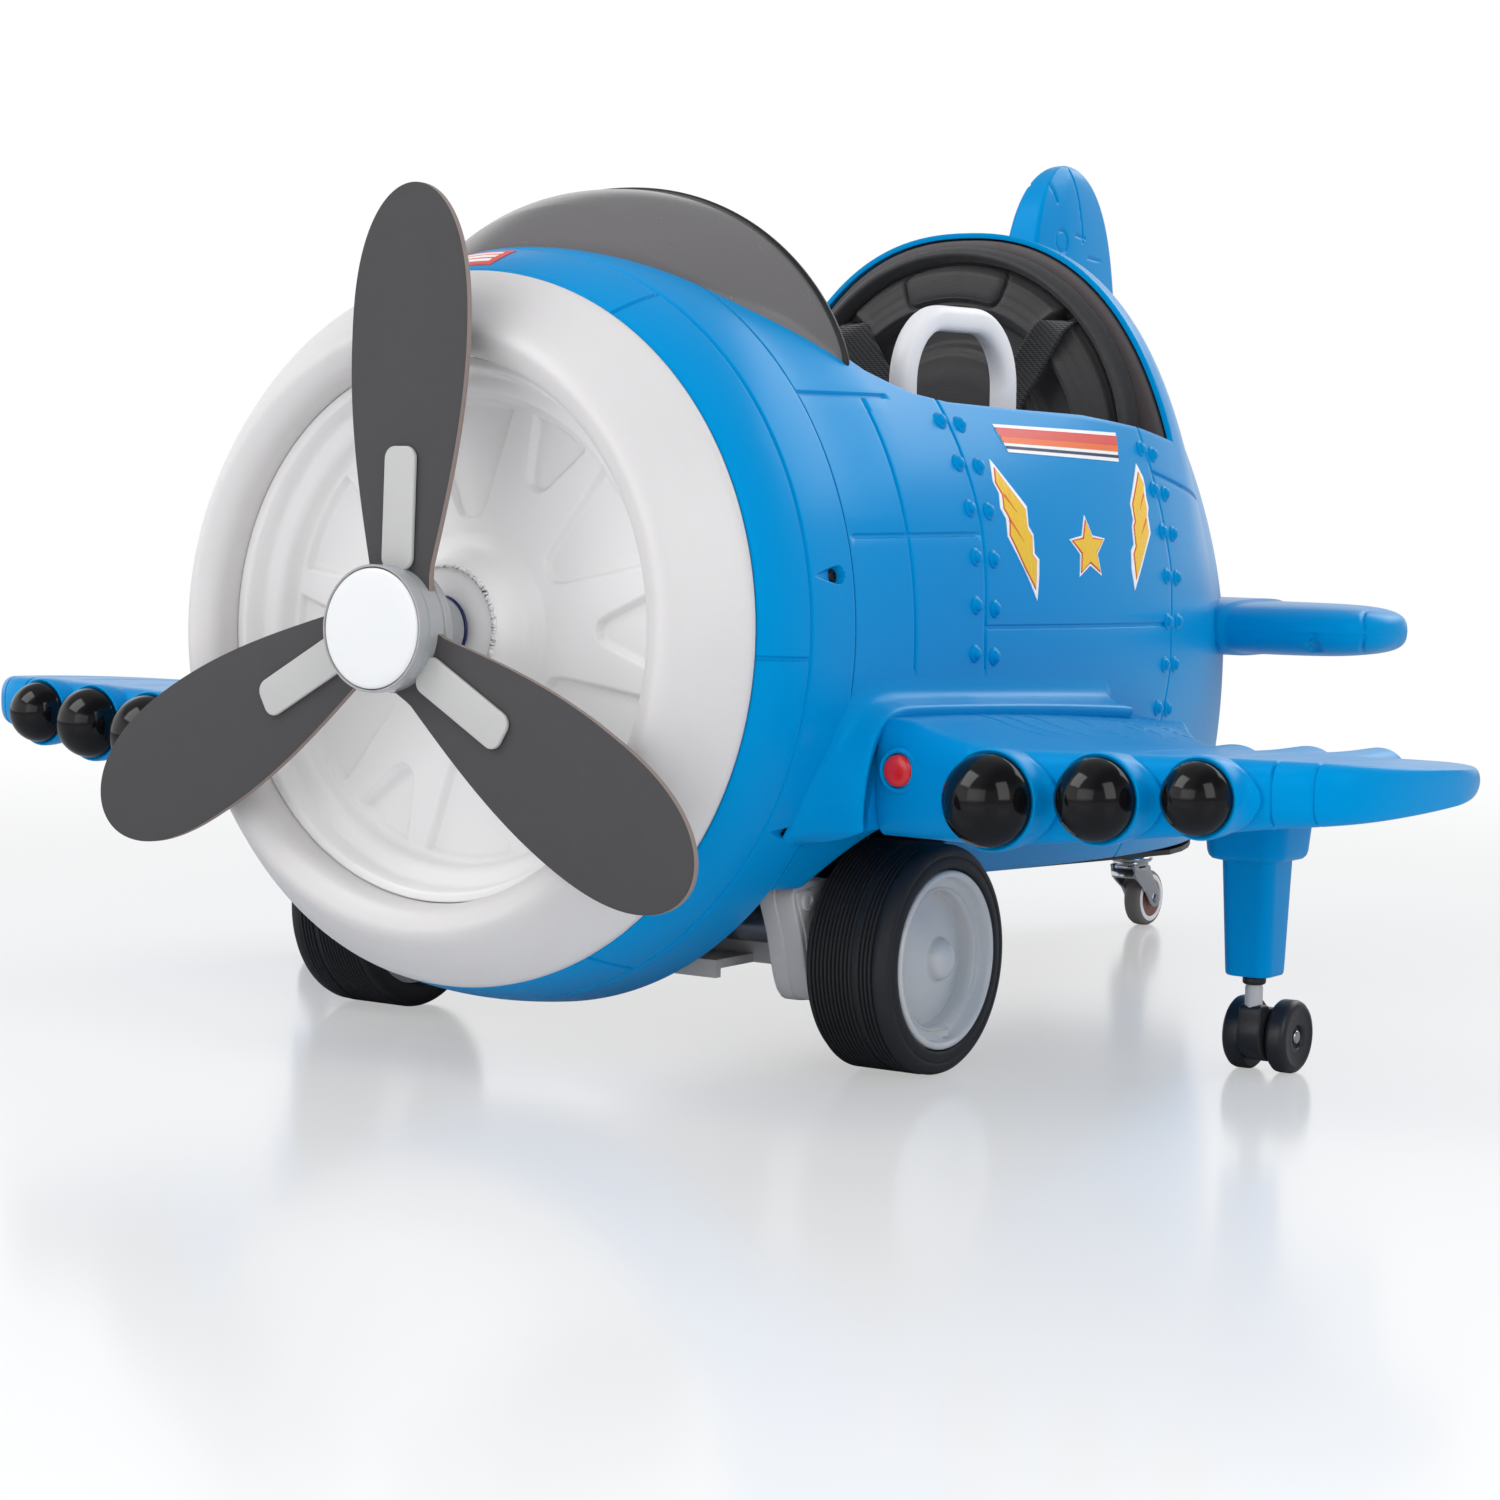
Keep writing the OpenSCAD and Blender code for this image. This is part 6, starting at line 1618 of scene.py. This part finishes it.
for m in (1, -1):
    centre = (LEG_X + TWIN_OFF * m, LEG_Y + TWIN_TRAIL, TWIN_R)
    flip = np.array([[m, 0, 0], [0, 1, 0], [0, 0, 1]])
    wheels.append(moved(about_axle(turned(twin_ring + [(0, 10.8)], 96)), flip, centre))
    heads.append(moved(about_axle(turned(screw_head, 40)), flip, centre))
stem, neck = moved(stem, None, LEG_FOOT), moved(neck, None, LEG_FOOT)
make_pair("caster_yoke_", caster_plate, caster_black, "caster_", "caster_body_", sharp=50,
          slot="grey_plastic")
make_pair("caster_stem_", stem, clip_grey, "caster_", sharp=50, slot="grey_plastic")
make_pair("caster_neck_", neck, caster_black, "caster_", sharp=50, slot="black_plastic")
make_pair("twin_wheels_", join(*wheels), caster_black, "caster_wheels_", "caster_wheels_", sharp=45,
          slot="black_plastic")
make_pair("twin_screws_", join(*heads), chrome, "caster_wheels_", sharp=45, slot="chrome_part")
print("wing casters made")

# %% [markdown]
# The rear caster is a bought part: a plated plate with a ball race, a pressed fork whose legs sweep back,
# and a hard wheel with a white band between its hub and its tread.

# %% Rear caster
TAIL_Y, TAIL_TRAIL, TAIL_R = 921, 25, 24.5
race = button([(0, 55), (13.4, 55), (15, 55.8), (15.6, 57.2), (15.2, 58.6), (17.6, 59.2), (18.8, 60.4),
               (19, 61.6), (18.6, 62.8), (17.4, 63.6), (16.6, 63.9), (17.4, 64.3), (16.9, 64.9), (5, 65.2),
               (5, 97), (0, 97)], 72)
leg_line = smooth_line([(-13.5, 56.8), (-14.6, 53), (-12.5, 46), (-5, 40), (6, 33), (13, 24.5), (17.5, 19.6),
                        (25, 16.6), (31.4, 19), (33.6, 24.8), (31, 31.4), (24, 40), (16, 49), (11.5, 55.2)],
                       5, closed=True)
fork_legs = [moved(plate(leg_line, 2.5, edge=0.8), UPRIGHT, (x, 0, 0)) for x in (9.7, -12.2)]
crown = moved(plate(rounded_outline(24.4, 26, 7), 3.4, edge=1.0), None, (0, -1.5, 52.4))
bend_rings = []
for k, a in enumerate(np.linspace(0, math.pi / 2, 7)):
    y, z = -9 - 6.2 * math.sin(a), 55.4 - 9 * (1 - math.cos(a))
    half = 12 - 1.2 * k / 6
    bend_rings.append([(half, y, z), (half * 0.5, y - 1.2, z), (0, y - 1.6, z), (-half * 0.5, y - 1.2, z),
                       (-half, y, z), (-half, y + 2, z - 1.6), (0, y + 0.6, z - 1.6), (half, y + 2, z - 1.6)])
nut_ring = [(0, 14.5), (2.6, 14.5), (4.4, 14), (5, 12.4), (5, 9.8), (3, 9.8)]
nuts = about_axle(turned(nut_ring + [(r, -x) for r, x in nut_ring[::-1]], 6), (0, TAIL_TRAIL, TAIL_R))
fork = moved(join(race, *fork_legs, crown, loft(bend_rings), nuts), None, (0, TAIL_Y, 0))
make_mesh("plated_fork", *fork, chrome, "tail_caster", "tail_fork", sharp=45, slot="chrome_part")
wheel_at = (0, TAIL_Y + TAIL_TRAIL, TAIL_R)
tread_ring = [(TAIL_R - 4, -7.6), (TAIL_R - 1.6, -6.8), (TAIL_R - 0.3, -4.8), (TAIL_R, -2.6), (TAIL_R, 2.6),
              (TAIL_R - 0.3, 4.8), (TAIL_R - 1.6, 6.8), (TAIL_R - 4, 7.6)]
band_ring = [(TAIL_R - 4, 7.6), (TAIL_R - 4.6, 8.1), (TAIL_R - 7.4, 8.2), (TAIL_R - 8, 7.4)]
hub_ring = [(TAIL_R - 8, 7.4), (12, 6.6), (8, 7), (7, 8.4), (3.4, 8.5)]


def tail_rings(*profiles):
    """Rings of the rear wheel, turned from their profiles."""
    return join(*[about_axle(turned(p, 96), wheel_at) for p in profiles])


def other_face(ring):
    """The same profile on the wheel's other face."""
    return [(r, -x) for r, x in ring[::-1]]


make_mesh("tail_tread", *tail_rings(tread_ring), tread_brown, "tail_caster_wheel", "tail_wheel", sharp=60,
          slot="caster_tread")
make_mesh("tail_wheel_band", *tail_rings(band_ring, other_face(band_ring)), cap_white, "tail_caster_wheel",
          sharp=50, slot="white_nose")
make_mesh("tail_wheel_hub", *tail_rings(hub_ring, other_face(hub_ring)), hub_brown, "tail_caster_wheel",
          sharp=50, slot="caster_tread")
print("rear caster made")

# %% [markdown]
# Fin and tailplanes are hollow paddles that plug on to the tail. The fin has a flat front with soft corners,
# so a crease runs up it, and pressed lines and a round plug on each side. Its points lie on rings up
# the fin, and each is pushed in by its distance to the nearest line.

# %% Fin
FIN_BASE, FIN_TOP = 400, 649
FIN_LINES = [[(722, 643), (728, 637.5), (735, 631), (740.5, 624), (744, 617)],
             [(774, 645), (778.5, 633), (781.5, 619), (784, 602), (785, 586.5)],
             [(771, 591.5), (789, 590)], [(794, 574.5), (828, 572.5)]]
PLUG = (747, 585, 9)
FRONT_V = 0.86


def to_lines(y, z, lines):
    """Distance of each point (y, z) to the nearest of the poly-lines."""
    best = np.full(np.shape(y), 1e9)
    for line in lines:
        for (y0, z0), (y1, z1) in zip(line[:-1], line[1:]):
            dy, dz = y1 - y0, z1 - z0
            t = np.clip(((y - y0) * dy + (z - z0) * dz) / (dy ** 2 + dz ** 2), 0, 1)
            best = np.minimum(best, np.hypot(y - y0 - t * dy, z - z0 - t * dz))
    return best


def paddle_section(n, flat, corner, tail):
    """Half a closed section (u, v), from the middle of the flat front to the middle of the round tail."""
    a = np.linspace(0, math.pi / 2, 7)
    front = [(0, flat * t) for t in (0, 0.35, 0.7)]
    front += [(corner * (1 - math.cos(b)) * 0.5, flat + (FRONT_V - flat) * math.sin(b)) for b in a]
    u = np.linspace(front[-1][0], 1 - tail, n)[1:]
    w = (u - front[-1][0]) / (1 - tail - front[-1][0])
    swell_v = FRONT_V + 0.14 * np.sin(np.pi * np.minimum(1, w / 0.5) / 2)
    sides = list(zip(u, swell_v - 0.52 * np.maximum(0, w - 0.3) ** 1.4 / 0.7 ** 1.4))
    v_end = sides[-1][1]
    rear = [(1 - tail + tail * math.sin(b), v_end * math.cos(b)) for b in a[1:]]
    return np.array(front + sides + rear)


half_section = paddle_section(108, 0.62, 0.05, 0.05)
full = np.vstack([half_section, half_section[-2:0:-1] * [1, -1]])
levels = np.concatenate([np.linspace(0, 0.62, 34), np.linspace(0.62, 0.9, 62)[1:],
                         0.9 + 0.1 * np.sin(np.linspace(0, math.pi / 2, 20)[1:])])
rings = []
for t in levels:
    s = math.sqrt(max(0.0004, 1 - t ** 6))
    chord, thick = (179 - 39 * t) * s, (46 - 13 * t) * s ** 0.8
    y = 778 + chord * (full[:, 0] - 0.5)
    rings.append(np.stack([full[:, 1] * thick / 2, y,
                           np.full(len(full), FIN_BASE + (FIN_TOP - FIN_BASE) * t)], -1))
rings = np.array(rings)
gap = to_lines(rings[..., 1], rings[..., 2], FIN_LINES)
plug = np.hypot(rings[..., 1] - PLUG[0], rings[..., 2] - PLUG[1])
press = 1.5 * channel(gap * 1.25) + 1.2 * channel((plug - PLUG[2]) * 1.3) + 0.5 * (plug < PLUG[2])
on_side = np.clip((np.abs(full[:, 1]) - 0.6) * 8, 0, 1) * np.sign(full[:, 1])
rings[..., 0] -= press * on_side
make_mesh("fin_moulding", *loft(rings), blue, "airframe", "fin", sharp=60, slot="blue_shell")
print("fin rings:", len(levels))

# %% [markdown]
# A tailplane is the same kind of paddle laid flat, with a collar where it meets the body, a curved end
# seam and a screw hole underneath. The mould's parting line shows as a fine ridge round its edge.

# %% Tailplanes
PLANE_TIP, PLANE_Z = 304, 274.7
ring_a = full_turn(132)
section = np.stack([-blunt(np.cos(ring_a), 0.62), blunt(np.sin(ring_a), 0.72)], 1)
ridge = np.exp(-(section[:, 1] / 0.035) ** 2)
reach = np.concatenate([np.linspace(0, 0.3, 20), np.linspace(0.3, 0.34, 6)[1:],
                        np.linspace(0.34, 0.84, 40)[1:], np.linspace(0.84, 0.965, 34)[1:],
                        0.965 + 0.035 * np.sin(np.linspace(0, math.pi / 2, 12)[1:])])
rings = []
for t in reach:
    s = math.sqrt(max(0.0006, 1 - t ** 10))
    chord, thick = (146 - 34 * t) * s, 41.5 * s ** 0.75
    x = 90 + (PLANE_TIP - 90) * t
    collar = 1.8 * float(ease((184 - x) / 2.2))
    y = 782 + 8 * t + section[:, 0] * (chord / 2 + collar + 0.7 * ridge)
    z = PLANE_Z + section[:, 1] * (thick / 2 + collar)
    seam = x - (PLANE_TIP - 22 + 9 * np.sqrt(np.maximum(0, 1 - section[:, 1] ** 2)))
    inner = channel(seam * 1.2) * 1.3 * (np.abs(section[:, 1]) > 0.02)
    hole = np.hypot(x - 256, y - 736) < 5.5
    z = z - np.sign(section[:, 1]) * inner * (np.abs(section[:, 1]) > 0.3)
    y = y - np.sign(section[:, 0]) * inner * (np.abs(section[:, 0]) > 0.6)
    rings.append(np.stack([np.full(len(y), x), y, np.where(hole & (section[:, 1] < 0), z + 3, z)], -1))
make_pair("tailplane_moulding_", loft(rings), blue, "airframe", "tailplane_", sharp=60, slot="blue_shell")
print("tailplane rings:", len(reach))

# %% [markdown]
# The pieces that are nearly hidden keep their CAD meshes, which are already right in shape. They only need
# the finish of what they are made of.

# %% Finishes for the kept pieces
KEPT = {
    blue: ("wing_socket_left", "wing_socket_right", "tail_mount"),
    black_satin: ("cockpit_tub", "chassis_plate", "dash_panel", "charge_socket", "control_box"),
    bracket_grey: ("axle_beam",),
    steel: ("drive_axle", "propeller_shaft", "propeller_motor", "drive_motors"),
    yellow: ("music_button",),
    red: ("horn_button",),
    screw_black: ("power_switch",),
    battery_grey: ("battery",),
}
for material, names in KEPT.items():
    for name in names:
        nodes[name].data.materials.clear()
        nodes[name].data.materials.append(material)
print("kept pieces finished:", sum(len(names) for names in KEPT.values()))

# %% [markdown]
# The marks are thin stickers on the skin: lightning bolts, a star and stripes. Each is drawn as a flat
# outline, filled with small triangles, and laid on the skin by the same formula that shaped it, so that
# it follows the barrel and never sinks in.

# %% Sticker maker
def filled(outline, step=6.0):
    """Points and triangles that fill a flat outline, with inner points so it can bend."""
    outline = np.asarray(outline, float)
    edge = fine_edge(outline, step)
    low, high = outline.min(0), outline.max(0)
    inside = [(a, b) for a in np.arange(low[0] + step / 2, high[0], step)
              for b in np.arange(low[1] + step / 2, high[1], step)]
    points = [Vector(p) for p in [*edge, *inside]]
    verts, _, tris, _, _, _ = delaunay_2d_cdt(points, [], [list(range(len(edge)))], 2, 1e-5)
    return np.array([v[:] for v in verts]), [list(t) for t in tris]


def sticker(name, outline, material, side, out, to_skin=None):
    """Lays a filled outline of (y, z) pairs on the fuselage side, as a thin shell."""
    flat, tris = filled(outline)
    place = to_skin or (lambda y, z, o: skin_at(y, z, side, o)[0])
    top = np.array([place(y, z, out) for y, z in flat])
    low = np.array([place(y, z, out - 0.5) for y, z in flat])
    n = len(flat)
    edges = dict.fromkeys((a, b) for t in tris for a, b in zip(t, t[1:] + t[:1]))
    rim = [(a, b) for a, b in edges if (b, a) not in edges]
    faces = tris + [[n + i for i in t[::-1]] for t in tris] + [[a, a + n, b + n, b] for a, b in rim]
    return make_mesh(name, np.vstack([top, low]), faces, material, "airframe", sharp=50)


def grown(outline, d):
    """An outline moved outward by d, with mitred corners kept short."""
    p = np.asarray(outline, float)
    area = np.sum(p[:, 0] * np.roll(p[:, 1], -1) - np.roll(p[:, 0], -1) * p[:, 1])
    n0, n1 = [(1 if area > 0 else -1) * np.stack([e[:, 1], -e[:, 0]], 1) / np.linalg.norm(e, axis=1)[:, None]
              for e in (p - np.roll(p, 1, 0), np.roll(p, -1, 0) - p)]
    half = n0 + n1
    half /= np.linalg.norm(half, axis=1)[:, None] + 1e-9
    reach = np.minimum(1.9, 1 / np.maximum(0.3, np.sum(half * n0, 1)))
    return p + half * d * reach[:, None]


print("sticker maker ready")

# %% [markdown]
# Two bolts stand on each side, with a star between them and a two-tone stripe above. Each figure is three
# layers: a pale border, a red line and a yellow middle, each a little further out than the last. Thin
# orange strokes cross the bolts.

# %% Side stickers
FRONT_BOLT = [(292, 405), (307, 390), (326, 373), (323, 360), (328, 354), (326, 341), (332, 337),
              (329.5, 326), (324.5, 309), (313, 325), (301, 340), (291, 353), (293, 365), (288, 372),
              (291, 382), (287, 390)]
FRONT_MIDDLE = [(294, 398), (306, 385), (321.6, 370.5), (319.4, 358), (324.5, 352), (321.5, 340),
                (326.8, 336), (324, 325), (322.2, 318), (309, 333), (294.4, 354), (298.5, 364.5), (293, 372),
                (295.5, 381), (290.3, 389)]
FRONT_STROKES = [((296.3, 380.8), (309.2, 368.8)), ((296.8, 364.6), (311.8, 348.9))]
REAR_BOLT = [(521.4, 404), (530, 394), (530.6, 386), (529.3, 380), (531.3, 372), (527.7, 366), (529.4, 353),
             (517, 341), (490, 312), (485.3, 328), (487, 341), (493, 345.5), (493, 358), (497, 363),
             (495.4, 375)]
REAR_MIDDLE = [(521.4, 396.6), (526.8, 389), (524, 383), (525.6, 372), (522.6, 364), (524, 354), (517, 346),
               (493.5, 321), (491.4, 338), (497, 343.4), (496.5, 358), (500.3, 361), (499.6, 374)]
REAR_STROKES = [((523.5, 381.6), (511.6, 370.5)), ((521.7, 363.3), (508.9, 352.4))]
BOLTS = {"front_bolt": (FRONT_BOLT, FRONT_MIDDLE, FRONT_STROKES),
         "rear_bolt": (REAR_BOLT, REAR_MIDDLE, REAR_STROKES)}
STRIPE = [(315, 429), (497, 426), (489, 405), (322, 410)]
STRIPE_BANDS = [("stripe_red", 0.12, 0.46, print_red), ("stripe_orange", 0.46, 0.66, orange),
                ("stripe_navy", 0.78, 0.88, print_navy)]
STAR_AT, STAR_R, STAR_INNER, STAR_WIDE = (411, 343), 19, 0.46, 1.35


def star():
    """The outline of the five-pointed star, a little wider than high."""
    out = []
    for k in range(10):
        a = math.pi / 2 + math.pi * k / 5
        r = STAR_R * (1 if k % 2 == 0 else STAR_INNER)
        out.append((STAR_AT[0] - r * STAR_WIDE * math.cos(a), STAR_AT[1] + r * math.sin(a)))
    return out


def band(outline, lo, hi):
    """The part of a four-sided stripe between two shares of its height."""
    a, b, c, d = [np.array(p, float) for p in outline]
    return [a + (d - a) * lo, b + (c - b) * lo, b + (c - b) * hi, a + (d - a) * hi]


def stroke(start, stop, width):
    """The outline of a straight stroke that ends in a point."""
    p, q = np.array(start, float), np.array(stop, float)
    n = np.array([p[1] - q[1], q[0] - p[0]]) / np.hypot(*(q - p)) * width / 2
    return [p - n, q, p + n]


for name, side in SIDES:
    for label, (border, middle, strokes) in BOLTS.items():
        sticker(label + "_border_" + name, border, print_white, side, 0.5)
        sticker(label + "_line_" + name, grown(middle, 0.9), print_red, side, 0.8)
        sticker(label + "_middle_" + name, middle, yellow, side, 1.1)
        for k, (start, stop) in enumerate(strokes):
            sticker(label + "_stroke_" + str(k) + "_" + name, stroke(start, stop, 2.2), orange, side, 1.3)
    sticker("stripe_pale_" + name, STRIPE, print_white, side, 0.5)
    for label, lo, hi, ink in STRIPE_BANDS:
        sticker(label + "_" + name, band(STRIPE, lo, hi), ink, side, 0.8)
    sticker("star_border_" + name, grown(star(), 2.6), print_white, side, 0.5)
    sticker("star_line_" + name, grown(star(), 1.1), print_red, side, 0.8)
    sticker("star_" + name, star(), yellow, side, 1.1)
print("side stickers laid")

# %% [markdown]
# The cowl's top carries a small red label with three pale stripes.

# %% Cowl label
def on_cowl(y, s, out):
    """A point of the cowl at y behind the seam and s millimetres to the side of the top line."""
    a = math.pi / 2 - s / 245
    p = cowl_point(np.float64(a), np.float64(y))
    n = np.array([math.cos(a), 0, math.sin(a)])
    return nose_frame([p + n * out])[0]


sticker("cowl_label", [(7, -58), (7, 8), (33, 8), (33, -58)], print_red, 1, 0.6, on_cowl)
for k, (y0, y1) in enumerate(((12.2, 15.84), (18.96, 22.6), (25.72, 28.32))):
    stripe = [(y0, -52), (y0, 2), (y1, 2), (y1, -52)]
    sticker("cowl_label_stripe_" + str(k), stripe, print_white, 1, 0.9, on_cowl)
print("cowl label laid")
